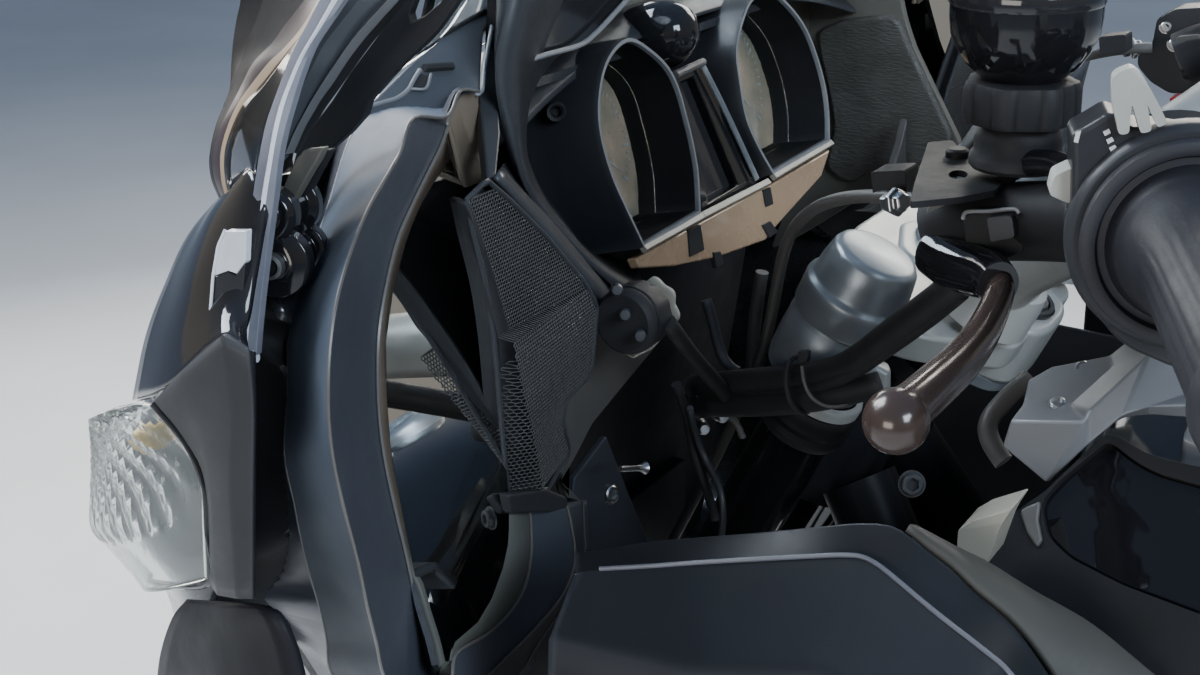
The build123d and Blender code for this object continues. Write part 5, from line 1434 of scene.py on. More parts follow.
both(o, "bar_boss_right")


def GP(px, py, t=0.0):
    """On the plane across the left grip, t along it from the flange."""
    return on(px, py, F0 + GD * t, GD)


o = lathe("grip_left", [(0.0, 0.1418), (0.012, 0.1418), (0.0185, 0.139), (0.0215, 0.134), (0.0218, 0.128), (0.0200, 0.124), (0.0193, 0.122), (0.0193, 0.040),
                        (0.0200, 0.030), (0.0222, 0.018), (0.0243, 0.009), (0.0248, 0.0045), (0.0262, 0.0028), (0.0268, 0.0010), (0.0290, 0.0005),
                        (0.0300, 0.0025), (0.0322, 0.0030), (0.0342, 0.0020), (0.0348, -0.0005), (0.0342, -0.0035), (0.018, -0.005), (0, -0.005)],
          F0, GD, "grip", segs=96, body=STEER, node="hand_grips", slot="rubber", sharp=40,
          shape=lambda g, r, t: 1 + (0.010 * (1 if math.cos(30 * g) > 0 else -1) if 0.03 < t < 0.123 else 0))
both(o, "grip_right")
# switch housing in the picture's outline
HO = [(1071, 240), (1073, 158), (1072, 134), (1086, 127), (1109, 113), (1121, 117), (1131, 128), (1160, 129), (1205, 137), (1258, 160), (1292, 200), (1300, 255), (1284, 322), (1240, 362),
      (1180, 372), (1120, 345), (1084, 300)]
o = prism("switch_housing_left", rounded([GP(px, py, -0.008) for px, py in HO], 0.006, 4), GD * -0.019, "satin", bev=0.0035, segs=4, body=STEER,
          node="hand_controls", slot="black_plastic")
both(o, "switch_housing_right")
o = lathe("switch_collar_left", [(0.0, -0.003), (0.0362, -0.003), (0.0378, -0.0045), (0.0384, -0.007), (0.0384, -0.012), (0, -0.012)], F0, GD, "satin", segs=80, body=STEER,
          slot="black_plastic", sharp=40)
both(o, "switch_collar_right")
o = lathe("switch_sleeve_left", [(0.013, -0.075), (0.021, -0.073), (0.026, -0.060), (0.031, -0.045), (0.034, -0.040), (0.030, -0.030)], F0, GD, "matt", segs=48, body=STEER,
          slot="black_plastic", sharp=40)
both(o, "switch_sleeve_right")
o = prism("switch_split_left", [GP(px, py, -0.0195) for px, py in ((1068, 238), (1070, 156), (1069, 132), (1086, 124), (1110, 110), (1123, 114), (1133, 125), (1160, 126), (1207, 134),
                                                                      (1262, 158), (1240, 200), (1120, 230))], GD * -0.0012, "matt", bev=0.0, body=STEER, slot="black_plastic")
both(o, "switch_split_right")
tab = [(1113, 78), (1119, 72), (1133, 67), (1142, 74), (1155, 97), (1168, 123), (1158, 128), (1147, 104), (1152, 131), (1141, 134), (1132, 104), (1129, 134),
       (1119, 135), (1113, 102)]
o = prism("switch_paddle_left", rounded([GP(px, py, -0.0045) for px, py in tab], 0.0012, 3), GD * -0.006, "light_grey", bev=0.0010, segs=3, body=STEER,
          slot="silver_paint")
both(o, "switch_paddle_right")
btn = [(1049, 195), (1054, 176), (1073, 167), (1091, 178), (1081, 208), (1064, 202)]
o = prism("switch_button_left", rounded([GP(px, py, -0.014) for px, py in btn], 0.0014, 3), GD * -0.011, "light_grey", bev=0.0018, segs=3, body=STEER,
          slot="silver_paint")
both(o, "switch_button_right")
o = prism("switch_button_2_left", rounded([GP(px, py, -0.010) for px, py in ((1066, 232), (1068, 216), (1082, 212), (1084, 238))], 0.0012, 3), GD * -0.010, "matt",
          bev=0.0012, segs=3, body=STEER, slot="black_plastic")
both(o, "switch_button_2_right")
for k, q in enumerate((((1076, 133), (1081, 131), (1078, 143), (1074, 142)), ((1103, 132), (1109, 129), (1111, 133), (1105, 136)),
                       ((1106, 140), (1112, 137), (1114, 141), (1108, 144)), ((1109, 148), (1115, 145), (1118, 149), (1111, 152)))):
    prism(f"switch_mark_{k}", [GP(px, py, -0.0075) for px, py in q], GD * -0.0006, "white_mark", bev=0.0, body=STEER, slot="silver_paint")
# controls of the right hand that show at the edge of the picture
prism("throttle_switch", rounded([at(px, py, y=-0.205) for px, py in ((1169, 98), (1182, 94), (1210, 101), (1210, 116), (1172, 114))], 0.0015, 3), (0, -0.010, 0),
      "red", bev=0.0015, segs=3, body=STEER, slot="lens_red")
prism("throttle_block", rounded([at(px, py, y=-0.209) for px, py in ((1152, 44), (1157, 18), (1175, 9), (1210, 7), (1214, 90), (1170, 94), (1150, 82), (1137, 66),
                                                                       (1138, 52))], 0.003, 3), (0, -0.022, 0), "satin", bev=0.003, segs=3, body=STEER, slot="black_plastic")
prism("throttle_cover", rounded([at(px, py, y=-0.206) for px, py in ((1178, 136), (1177, 124), (1184, 115), (1230, 112), (1240, 140))], 0.003, 3), (0, -0.02, 0),
      "trim", bev=0.003, segs=3, body=STEER, slot="silver_alloy")
bolts("throttle_screws", [(at(1175, 44, y=-0.2095), Vector((-0.2, 1, 0.2)), 0.0035, 0.002), (at(1166, 27, y=-0.2095), Vector((-0.2, 1, 0.2)), 0.003, 0.002)], "steel",
      body=STEER, slot="steel")

# perch, lever
o = tube("perch_left", [(0.270, 0.218, 1.092), (0.300, 0.205, 1.088), (0.338, 0.196, 1.080), (0.352, 0.194, 1.073)], [0.0150, 0.0148, 0.0145, 0.0155], "matt", n=24, segs=32,
         body=STEER, slot="black_plastic")
both(o, "perch_right")
o = prism("perch_block_left", rounded([at(px, py, y=0.205) for px, py in ((927, 206), (960, 204), (962, 252), (934, 254), (926, 236))], 0.002, 3), (0, -0.022, 0), "warm_panel",
          bev=0.002, segs=3, body=STEER, slot="black_plastic")
both(o, "perch_block_right")
o = prism("perch_reservoir_left", rounded([at(px, py, y=0.215) for px, py in ((962, 214), (1019, 212), (1024, 252), (1000, 262), (966, 250))], 0.003, 3), (0, -0.030, 0),
          "matt", bev=0.003, segs=3, body=STEER, slot="black_plastic")
both(o, "perch_reservoir_right")
o = tube("perch_clip_left", [at(px, py, y=0.2155) for px, py in ((963, 219), (967, 212), (990, 211), (1014, 209), (1019, 213))], 0.0008, "trim", n=24, segs=8, body=STEER,
         slot="steel")
both(o, "perch_clip_right")
o = prism("perch_switch_left", rounded([at(px, py, y=0.219) for px, py in ((986, 217), (1012, 216), (1015, 238), (990, 243))], 0.0015, 3), (0, -0.008, 0), "satin", bev=0.0012,
          body=STEER, slot="black_plastic")
both(o, "perch_switch_right")
kn = [(934, 252, .204, 9.5), (950, 262, .210, 10.0), (972, 270, .218, 9.6), (990, 276, .226, 9.0), (999, 284, .233, 8.2)]
o = tube("lever_knuckle_left", [at(px, py, y=y_) for px, py, y_, _ in kn], [r * 0.001 for *_, r in kn], "gloss", n=30, segs=32, squash=(1.0, 0.9), body=STEER,
         slot="black_metal")
both(o, "lever_knuckle_right")
bl = [(1000, 276, .228, 4.6), (1000, 292, .236, 6.0), (990, 318, .252, 6.6), (976, 343, .272, 7.2), (957, 366, .296, 7.7), (934, 387, .320, 8.0), (914, 405, .338, 8.2),
      (901, 417, .347, 8.9), (893, 426, .352, 8.4), (888, 431, .355, 6.6)]
o = tube("lever_blade_left", [at(px, py, y=y_) for px, py, y_, _ in bl], [r * 0.001 for *_, r in bl], "lever", n=54, segs=36, squash=(1.0, 0.86), body=STEER,
         slot="black_metal")
both(o, "lever_blade_right")
o = ball("lever_ball_left", at(896, 421, y=0.349), 0.0103, "lever", body=STEER, slot="black_metal")
both(o, "lever_ball_right")
o = bolts("lever_screw_left", [(at(947, 374, y=0.312), Vector((-0.3, 0.8, 0.5)), 0.0016, 0.001)], "dark_steel", body=STEER,
          slot="black_metal")
both(o, "lever_screw_right")

# accessory mount: lobed clamp ring under a ribbed cup
AX = Vector((0.326, 0.190, 0.0))
cup = [(0.0, 1.200), (0.0240, 1.200), (0.0262, 1.1985), (0.0270, 1.195), (0.0272, 1.170), (0.0272, 1.158), (0.0266, 1.152), (0.0240, 1.146), (0.0205, 1.1405),
       (0.0160, 1.1365), (0.0145, 1.1345), (0.0, 1.1345)]
lathe("accessory_cup", cup, AX, (0, 0, 1), "gloss", segs=96, body=STEER, node="accessory_mount", slot="black_plastic", sharp=45,
      shape=lambda g, r, t: 1 + (0.012 if (math.degrees(g) % 60) < 6 and t > 1.15 else 0))
lathe("accessory_cup_band", [(0.0274, 1.1625), (0.0278, 1.1635), (0.0278, 1.1675), (0.0274, 1.1685)], AX, (0, 0, 1), "gloss", segs=96, body=STEER, slot="black_plastic",
      closed=True)
lathe("accessory_clamp_ring", [(0.0, 1.1355), (0.0165, 1.1355), (0.0192, 1.1345), (0.0202, 1.1320), (0.0202, 1.1215), (0.0192, 1.1195), (0.0165, 1.1185), (0, 1.1185)], AX,
      (0, 0, 1), "matt", segs=168, body=STEER, slot="black_plastic", sharp=40,
      shape=lambda g, r, t: 1 + (0.075 * max(0.0, math.cos(7 * g)) ** 0.6 if r > 0.018 else 0))
lathe("accessory_base", [(0.0, 1.118), (0.0135, 1.118), (0.0150, 1.1165), (0.0160, 1.113), (0.0162, 1.1085), (0.0175, 1.1070), (0.0178, 1.1035), (0.0165, 1.1020),
                         (0, 1.1020)], AX, (0, 0, 1), "matt", segs=64, body=STEER, slot="black_plastic", sharp=40)
bolts("accessory_screws", [(AX + Vector((0.0235 * math.cos(a), 0.0235 * math.sin(a), 1.1999)), Vector((0, 0, 1)), 0.002, 0.0008) for a in (0.4, 2.5, 4.6)], "dark_steel",
      body=STEER, slot="black_metal")
pl = [(928, 142), (952, 140), (964, 153), (984, 149), (1010, 150), (1024, 164), (1008, 176), (996, 190), (960, 197), (910, 202), (914, 184)]
PZ = 1.0985
prism("accessory_plate", rounded([at(px, py, z=PZ) for px, py in pl], 0.002, 3), (0, 0, -0.0025), "matt", bev=0.0007, body=STEER, slot="black_metal",
      holes=[[at(958 + 9.5 * math.cos(a), 174.5 + 4.4 * math.sin(a), z=PZ) for a in (2 * math.pi * k / 20 for k in range(20))]])
lathe("accessory_grommet", [(0.0, 0.004), (0.0035, 0.004), (0.0045, 0.003), (0.0045, 0.0005), (0.0060, 0.0), (0, 0)], at(957, 158, z=PZ), (0, 0, 1), "rubber", segs=28,
      body=STEER, slot="rubber")
tube("mount_clamp_arc", [at(px, py, y=y_) for px, py, y_ in ((996, 197, .190), (1002, 180, .195), (1016, 167, .200), (1038, 162, .205), (1060, 166, .212), (1074, 178, .220))],
     0.0048, "gloss", n=30, segs=18, squash=(1, 0.7), body=STEER, slot="black_metal")
lathe("mount_stem", [(0, 0.014), (0.007, 0.014), (0.008, 0.012), (0.008, -0.012), (0, -0.012)], (0.345, 0.193, 1.079), (0, 0, 1), "dark_steel", segs=32, body=STEER,
      slot="black_metal")

# hoses and looms on the bars
HZ = [(.366, .178, 1.081), (.398, .168, 1.079), (.434, .147, 1.062), (.455, .118, 1.025), (.473, .088, .978), (.498, .072, .925), (.526, .072, .866), (.555, .076, .806),
      (.578, .082, .750), (.595, .088, .700), (.604, .090, .662)]
# the brake hose is in the lighter warm grey: partly its own grey, partly painted sheen
hose_both("brake_hose", HZ, 0.0028, "warm_panel", STEER, node="control_hoses", slot="rubber")
o = prism("hose_block_left", rounded([at(px, py, y=0.172) for px, py in ((870, 172), (905, 170), (907, 195), (873, 197))], 0.0015, 3), (0, -0.014, 0), "matt", bev=0.0014,
          body=STEER, slot="black_metal")
both(o, "hose_block_right")
o = lathe("hose_fitting_left", [(0, 0.003), (0.0030, 0.003), (0.0042, 0.002), (0.0042, 0.0), (0.0060, -0.001), (0.0060, -0.003), (0.004, -0.004), (0.004, -0.008), (0, -0.008)],
          at(900, 202, y=0.180), (-0.8, 0.35, 0.2), "steel", segs=6, body=STEER, slot="steel", bev=0.0005)
both(o, "hose_fitting_right")
LA = [(966, 276, .196), (940, 298, .186), (905, 322, .172), (874, 348, .160), (845, 368, .150), (815, 376, .146), (770, 380, .142), (725, 384, .138), (694, 388, .134)]
LB = [(880, 384, .146), (851, 392, .150), (815, 400, .150), (770, 404, .146), (725, 405, .140), (690, 404, .134)]
hose("wiring_loom_upper", [at(px, py, y=y_) for px, py, y_ in LA], 0.0062, "matt", STEER, slot="rubber")
hose("wiring_loom_lower", [at(px, py, y=y_) for px, py, y_ in LB], 0.0058, "matt", STEER, slot="rubber")
hose("wiring_loom_third", [at(px, py, y=y_) for px, py, y_ in ((960, 290, .190), (930, 316, .178), (893, 342, .165), (862, 364, .155), (830, 384, .150), (790, 393, .146),
                                                               (742, 396, .140), (700, 397, .136))], 0.0045, "rubber", STEER, slot="rubber")
tie = circle(at(801, 385, y=0.149), at(770, 380, y=0.142) - at(815, 376, y=0.146), 0.0125, 28, squash=0.85)
tube("cable_tie", tie, 0.0011, "matt", segs=8, closed=True, body=STEER, slot="black_plastic")
prism("cable_tie_head", rounded([at(px, py, y=0.156) for px, py in ((797, 352), (808, 352), (807, 363), (797, 363))], 0.0008, 2), (0, -0.004, 0), "matt", bev=0.0006,
      body=STEER, slot="black_plastic")
hose("fine_wire", [at(px, py, y=y_) for px, py, y_ in ((802, 366, .158), (803, 384, .160), (811, 400, .160), (830, 409, .158), (850, 405, .152), (856, 396, .146))], 0.0008,
     "warm_panel", STEER, slot="rubber")
lathe("bridge_pinch_boss", [(0, 0.004), (0.0055, 0.004), (0.0075, 0.0025), (0.0085, -0.001), (0.0090, -0.014), (0, -0.014)], at(874, 379, y=0.135), (-0.45, 0.85, 0.2),
      "silver_pale", segs=6, body=STEER, slot="silver_alloy", bev=0.0008)
for k, (px, py, r) in enumerate(((700, 393, 0.0035), (703, 428, 0.003), (722, 416, 0.003))):
    lathe(f"loom_plug_{k}", [(0, 0.004), (r * 0.7, 0.004), (r, 0.002), (r, -0.004), (r * 1.2, -0.005), (r * 1.2, -0.012), (0, -0.012)], at(px, py, y=0.136), (-0.6, 0.7, 0.2),
          "steel", segs=20, body=STEER, slot="steel")
hose("loom_tail_a", [at(px, py, y=y_) for px, py, y_ in ((700, 415, .134), (716, 415, .134), (730, 414, .134), (738, 424, .134), (743, 438, .134))], 0.0016, "warm_panel", STEER,
     slot="rubber")
# cables that stay with the fairing
hose("fairing_cable_a", [at(px, py, y=y_) for px, py, y_ in ((668, 322, .195), (684, 345, .180), (700, 366, .165), (718, 384, .150), (730, 402, .140))], 0.0036, "rubber", slot="rubber")
hose("fairing_cable_b", [at(px, py, y=y_) for px, py, y_ in ((762, 272, .05), (757, 300, .05), (753, 335, .05), (751, 372, .05), (752, 410, .05))], 0.0034, "warm_panel", slot="rubber")
hose("fairing_cable_c", [at(px, py, y=y_) for px, py, y_ in ((706, 300, .12), (712, 318, .12), (716, 340, .12), (724, 365, .12), (738, 372, .12))], 0.0026, "shelf", slot="rubber")
hose("fairing_cable_d", [at(px, py, y=y_) for px, py, y_ in ((676, 384, .16), (690, 420, .15), (690, 450, .15), (706, 485, .15), (716, 520, .15))], 0.0022, "matt", slot="rubber")
hose("fairing_cable_e", [at(px, py, y=y_) for px, py, y_ in ((690, 408, .16), (696, 440, .15), (710, 470, .15), (728, 500, .16), (720, 545, .16))], 0.0016, "satin", slot="rubber")

# boots and rings on the fork tubes
for s, tag in ((1, "left"), (-1, "right")):
    c = BR(-4, s * 105, 0)
    prof = [(0.0180, -0.027), (0.0205, -0.0275), (0.0215, -0.030)]
    prof += [(0.0213 + (0.0006 if k % 2 else -0.0004), -0.033 - 0.003 * k) for k in range(4)]
    prof += [(0.0208, -0.0445), (0.0196, -0.0465), (0.0178, -0.047)]
    lathe(f"fork_boot_{tag}", prof, c, UP, "rubber", segs=64, body=STEER, slot="rubber", closed=True)
    lathe(f"fork_ring_{tag}", [(0.0178, -0.0205), (0.0206, -0.0208), (0.0212, -0.0225), (0.0210, -0.0262), (0.0180, -0.0268)], c, UP, "silver_pale", segs=64, body=STEER,
          slot="silver_alloy", closed=True)
bv = soften("fork_legs", 0.0012)

# ------------------------------------------------------------------ side fairings: rim, flat top, side wall
T_PX = [(575, 552), (600, 549), (652, 540.5), (700, 536), (748, 532), (820, 525), (854, 521.8), (885, 523), (905, 531.5), (929, 551), (951, 568), (975, 592),
        (1014, 626), (1050, 675), (1085, 735)]
C_PX = [(575, 572), (600, 569), (652, 566), (694, 563), (735, 560.5), (820, 556), (845, 555.3), (862, 557), (878, 565), (897, 580), (917, 597), (945, 620),
        (985, 651), (1011.5, 675), (1055, 735)]
tops = [at(px, py, y=0.300) for px, py in T_PX]
SH_P, SH_N = at(735, 560.5, y=0.318), Vector((0, 0.7021, 0.7121))
crea = [on(px, py, SH_P, SH_N) for px, py in C_PX[:-1]] + [at(*C_PX[-1], y=0.332)]
# ahead of the picture's part the rim runs on to the nose, behind it goes down to the lower edge
tops = tops + [Vector((0.222, 0.290, 0.885)), Vector((0.172, 0.276, 0.820)), Vector((0.132, 0.262, 0.745)),
                                                                              Vector((0.110, 0.245, 0.66))]
crea = crea + [Vector((0.228, 0.306, 0.880)), Vector((0.178, 0.292, 0.812)), Vector((0.138, 0.276, 0.738)),
                                                                              Vector((0.116, 0.258, 0.655))]
n_ = len(tops)
groove = [c.lerp(t, 0.16) + Vector((0, -0.0010, -0.0036)) for c, t in zip(crea, tops)]
reach = [min(0.052, max(0.014, (0.3535 - c.y) / 0.7121)) for c in crea]
mid1 = [c + Vector((0, 0.7121, -0.7021)) * (r_ * 0.30) for c, r_ in zip(crea, reach)]
mid2 = [c + Vector((0, 0.7121, -0.7021)) * (r_ * 0.72) for c, r_ in zip(crea, reach)]
mid3 = [c + Vector((0, 0.7121, -0.7021)) * r_ + Vector((0, -0.002, -0.012)) for c, r_ in zip(crea, reach)]


def side_low(x, k):
    """Lower rows of the side, from the body's sections: outer y and z at x."""
    tab = {0.559: ((0.332, 0.820), (0.316, 0.750), (0.296, 0.684)), 0.500: ((0.344, 0.815), (0.324, 0.700), (0.300, 0.590)),
           0.430: ((0.352, 0.820), (0.330, 0.670), (0.300, 0.520)), 0.320: ((0.354, 0.820), (0.330, 0.690), (0.298, 0.540)),
           0.220: ((0.320, 0.790), (0.298, 0.690), (0.268, 0.590)), 0.110: ((0.276, 0.655), (0.262, 0.650), (0.238, 0.622))}
    xs = sorted(tab)
    x = min(max(x, xs[0]), xs[-1])
    for a, b in zip(xs, xs[1:]):
        if a <= x <= b:
            t = (x - a) / (b - a)
            return tuple(tab[a][k][i] * (1 - t) + tab[b][k][i] * t for i in range(2))


rows = [[t + Vector((0, -0.006, -0.012)) for t in tops], tops, groove, crea, mid1, mid2, mid3]
for k in range(3):
    row = []
    for i, m in enumerate(mid3):
        y_, z_ = side_low(m.x, k)
        row.append(Vector((m.x, y_, min(z_, m.z - 0.012 * (k + 1)))))
    rows.append(row)
rows = [per_station(r, 4) for r in rows]
cols = []
fine = []
for i, (a, b) in enumerate(zip(rows, rows[1:])):
    fine.append(a)
    if i > 4:
        p = rows[i - 1]
        q = rows[i + 2] if i + 2 < len(rows) else None
        line = []
        for j in range(len(a)):
            p0, p1, p2 = p[j], a[j], b[j]
            p3 = q[j] if q else p2 * 2 - p1
            t = 0.5
            line.append(0.5 * ((2 * p1) + (p2 - p0) * t + (2 * p0 - 5 * p1 + 4 * p2 - p3) * t * t + (3 * p1 - p0 - 3 * p2 + p3) * t ** 3))
        fine.append(line)
fine.append(rows[-1])
o = grid("side_fairing_left", fine, "shelf", thick=0.004, face=(0.4, 2.0, 1.6), sharp_rows=(1, 2, 3), bev=0.0012, node="side_fairings", slot="satin_black_plastic",
         sharp=60)
both(o, "side_fairing_right")
# painted highlight: a thin light tube along the crease for the light it catches
o = tube("side_fairing_highlight_line_left", [c + SH_N * 0.0002 for c in per_station(crea[1:15], 4)], 0.0009, "rim_line", segs=8, slot="satin_black_plastic")
both(o, "side_fairing_highlight_line_right")
# vents in the side wall
vent = []
for k in range(4):
    z0 = 0.735 - 0.028 * k
    y0 = 0.341 - 0.006 * k
    vent.append([Vector((0.46, y0, z0)), Vector((0.33, y0 + 0.002, z0 - 0.010)), Vector((0.33, y0 + 0.0005, z0 - 0.022)), Vector((0.455, y0 - 0.002, z0 - 0.012))])
for k, q in enumerate(vent):
    o = prism(f"side_louvre_{k}_left", rounded(q, 0.004, 3), (0.0, 0.006, -0.003), "matt", bev=0.0015, slot="satin_black_plastic")
    both(o, f"side_louvre_{k}_right")
o = bolts("side_fairing_screws_left", [(p, Vector((0, 0.9, 0.4)), 0.0045, 0.0018) for p in (Vector((0.52, 0.344, 0.86)), Vector((0.30, 0.350, 0.862)), Vector((0.24, 0.333, 0.80)),
                                                                                             Vector((0.46, 0.337, 0.72)))], "steel", slot="steel")
both(o, "side_fairing_screws_right")
# dark liners inside the fairing
for s, tag in ((1, "left"), (-1, "right")):
    pts = [Vector((x, s * 0.200, z)) for x, z in ((0.590, 0.70), (0.590, 0.905), (0.46, 0.905), (0.36, 0.90), (0.27, 0.86), (0.24, 0.74), (0.24, 0.56), (0.44, 0.56))]
    prism(f"fairing_liner_{tag}", pts, (0, s * 0.003, 0), "matt", bev=0.001, slot="black_plastic")
prism("fairing_front_liner", [Vector((0.615 + 0.165 * (0.985 - z_), y_, z_)) for y_, z_ in ((0.20, 0.70), (0.20, 0.985), (-0.20, 0.985), (-0.20, 0.70))], (0.003, 0, 0), "matt", bev=0.001,
      slot="black_plastic")

# strip between fairing rim and tank, and the pale block at its front end
in_e = [(912, 531), (935, 543), (958, 555), (985, 568), (1030, 596), (1087, 628.5), (1145, 675), (1190, 712)]
out_e = [(905, 531.5), (929, 551), (951, 568), (975, 592), (1014, 626), (1050, 675), (1085, 735), (1110, 775)]
ra = [at(px, py, y=0.264) for px, py in in_e]
rb = [at(px, py, y=0.2985) for px, py in out_e]
rows = [spline(r, 30) for r in ([p + Vector((0, -0.004, -0.02)) for p in ra], ra, rb)]
o = grid("tank_side_strip_left", rows, "strip_olive", thick=0.003, face=(0.3, 2, 2), sharp_rows=(1,), bev=0.0015, slot="satin_black_plastic")
both(o, "tank_side_strip_right")
blk = [(958, 530), (975, 520), (1012, 509), (1002, 524), (998, 532), (985, 568), (956, 556)]
o = prism("tank_side_block_left", rounded([at(px, py, y=0.262) for px, py in blk], 0.001, 2), (0, -0.02, 0), "olive_bar", bev=0.0012, slot="silver_paint")
both(o, "tank_side_block_right")

# ------------------------------------------------------------------ tank with its gloss side panels in matt frames
TK = [(0.020, .092, .128, .770, .850, .902, .926), (0.090, .118, .172, .768, .870, .930, .962), (0.160, .120, .196, .768, .885, .955, .984),
      (0.250, .104, .200, .770, .900, .965, .988), (0.318, .070, .168, .790, .900, .950, .972)]
rows = []
for x_, ht, hm, zb, zm, zs, zt in TK:
    half = [Vector((x_, 0, zt + 0.004)), Vector((x_, ht * 0.5, zt)), Vector((x_, ht, zs + 0.35 * (zt - zs))), Vector((x_, hm * 0.93, zm + 0.45 * (zs - zm))), Vector((x_, hm, zm)),
            Vector((x_, hm * 0.97, zm - 0.05)), Vector((x_, ht * 0.95, zb + 0.012)), Vector((x_, ht * 0.6, zb)), Vector((x_, 0, zb))]
    ring = half + [Vector((p.x, -p.y, p.z)) for p in reversed(half[1:-1])]
    rows.append(spline(ring, 72, closed=True))
first = [p.lerp(Vector((0.012, 0, 0.86)), 0.25) + Vector((-0.006, 0, 0)) for p in rows[0]]
last = [p.lerp(Vector((0.324, 0, 0.88)), 0.3) + Vector((0.006, 0, 0)) for p in rows[-1]]
cols = [spline([r[j] for r in [first] + rows + [last]], 26) for j in range(72)]
rows = [[c[i] for c in cols] for i in range(26)]
grid("fuel_tank_shell", rows, "gloss", close_u=True, caps=True, node="fuel_tank", slot="body_paint", sharp=0)
TP_N = Vector((0.05, 0.83, 0.555)).normalized()
TP_P = at(1110, 530, y=0.222)


def TPL(px, py, d=0.0):
    return on(px, py, TP_P + TP_N * d, TP_N)


gl_o = [(1040, 503), (1058, 482), (1108, 440), (1136, 462), (1159, 474), (1210, 488), (1290, 520), (1330, 600), (1330, 668), (1200, 614), (1123, 585), (1070, 558), (1047, 536)]
o = prism("tank_gloss_panel_left", rounded([TPL(px, py, 0.002) for px, py in gl_o], 0.004, 4), TP_N * -0.006, "tank_black", bev=0.0015, segs=3, slot="body_paint")
both(o, "tank_gloss_panel_right")
fr_o = [(985, 568), (999, 529), (1021, 507), (1043, 493), (1108, 430), (1150, 455), (1215, 470), (1330, 500), (1400, 640), (1340, 760), (1200, 716), (1145, 675), (1087, 628)]
o = prism("tank_frame_left", rounded([TPL(px, py, 0.006) for px, py in fr_o], 0.005, 4), TP_N * -0.018, "matt", bev=0.002, segs=3, slot="black_plastic",
          holes=[rounded([TPL(px, py, 0.006) for px, py in gl_o], 0.004, 4)])
both(o, "tank_frame_right")
# painted highlight: a lighter chip on the frame's front corner for the light on its rounded bevel
cr = [(1019, 510), (1026, 506), (1040, 500), (1038, 520), (1042, 540), (1036, 548), (1026, 532)]
o = prism("tank_frame_bevel_highlight_left", [TPL(px, py, 0.0075) for px, py in cr], TP_N * -0.004, "warm_panel", bev=0.0012, slot="black_plastic")
both(o, "tank_frame_bevel_highlight_right")
lathe("fuel_cap", [(0, 0.012), (0.020, 0.012), (0.027, 0.0105), (0.0285, 0.008), (0.0315, 0.0075), (0.034, 0.006), (0.036, 0.002), (0.036, -0.012), (0, -0.012)],
      (0.225, 0, 0.990), (-0.12, 0, 0.99), "silver", segs=72, slot="silver_alloy", sharp=35)
bolts("fuel_cap_screws", [(Vector((0.225 + 0.0315 * math.cos(a), 0.0315 * math.sin(a), 0.9975 - 0.0038 * math.cos(a) * 0)), Vector((-0.12, 0, 0.99)), 0.0024, 0.0014)
                          for a in (2 * math.pi * k / 6 for k in range(6))], "steel", slot="steel")

# cast trims beside the tank: faceted, with the picture's outline
TV = {"a": (1002, 446.6, .210), "b": (1046.6, 484, .214), "c": (1087, 447, .213), "d": (1123, 415, .212), "e": (1147, 406, .210), "f": (1210, 404, .204),
      "g": (1009, 421, .213), "h": (1086, 422, .216), "i": (1089, 410, .213), "j": (1069, 405, .205), "k": (1042, 399, .199), "l": (1022, 404, .199),
      "m": (1028, 379, .188), "n": (1051, 366, .184), "o": (1109, 355, .182), "q": (1113, 366, .190), "r": (1158, 316, .176), "s": (1162, 326, .184),
      "t": (1149, 354, .196), "u": (1176, 355, .192), "v": (1202, 392, .197), "w": (1187, 345, .182)}
TF = ["abhg", "hbci", "icdt", "tdev", "tvu", "efv", "ghijkl", "lkjqonm", "jitsq", "qsro", "stuwr", "uvw"]
bm = bmesh.new()
vt = {k: bm.verts.new(at(px, py, y=y_)) for k, (px, py, y_) in TV.items()}
for f_ in TF:
    bm.faces.new([vt[c] for c in f_])
bm.normal_update()
for f_ in bm.faces:
    if f_.normal.dot(CAM_AT - f_.calc_center_median()) < 0:
        f_.normal_flip()
bmesh.ops.triangulate(bm, faces=[f_ for f_ in bm.faces if len(f_.verts) > 4])
o = from_bm("tank_trim_left", bm, "trim", node="tank_trims", slot="silver_paint", sharp=12)
m_ = o.modifiers.new("thick", "SOLIDIFY")
m_.thickness, m_.offset = 0.007, -1
bevel(o, 0.0012, 3, 14)
both(o, "tank_trim_right")
# the trim runs on behind the hand grip to the seat
TR = [(0.256, .196, 1.010, .190, .980), (0.200, .190, 1.000, .196, .962), (0.150, .178, .980, .186, .945), (0.095, .150, .955, .160, .925)]
rows = []
for x_, y1, z1, y2, z2 in TR:
    rows.append([Vector((x_, y1 - 0.030, z1 + 0.004)), Vector((x_, y1 - 0.012, z1 + 0.004)), Vector((x_, y1, z1)), Vector((x_, y2 + 0.004, z2)), Vector((x_, y2 - 0.004, z2 - 0.008))])
o = grid("tank_trim_rear_left", [spline(r, 10, smooth=False) for r in rows], "trim", thick=0.004, face=(0.2, 2, 2), bev=0.0012, sub=1, slot="silver_paint")
both(o, "tank_trim_rear_right")
o = bolts("trim_screws_left", [(at(1083, 368, y=0.186), Vector((0, 0.5, 0.86)), 0.0028, 0.0012), (at(1058, 403, y=0.2035), Vector((0, 0.3, 0.95)), 0.0028, 0.0012)], "steel",
          slot="steel")
both(o, "trim_screws_right")
hose("ribbed_sleeve", [at(px, py, y=y_) for px, py, y_ in ((1030, 378, .170), (1012, 392, .176), (998, 408, .182), (984, 424, .188), (990, 444, .192), (1004, 462, .194))], 0.0040,
     "warm_panel", slot="steel")
o = bolts("frame_bolt_left", [(at(912, 484, y=0.150), Vector((-0.45, 0.8, 0.3)), 0.0046, 0.003)], "engine", slot="steel")
both(o, "frame_bolt_right")

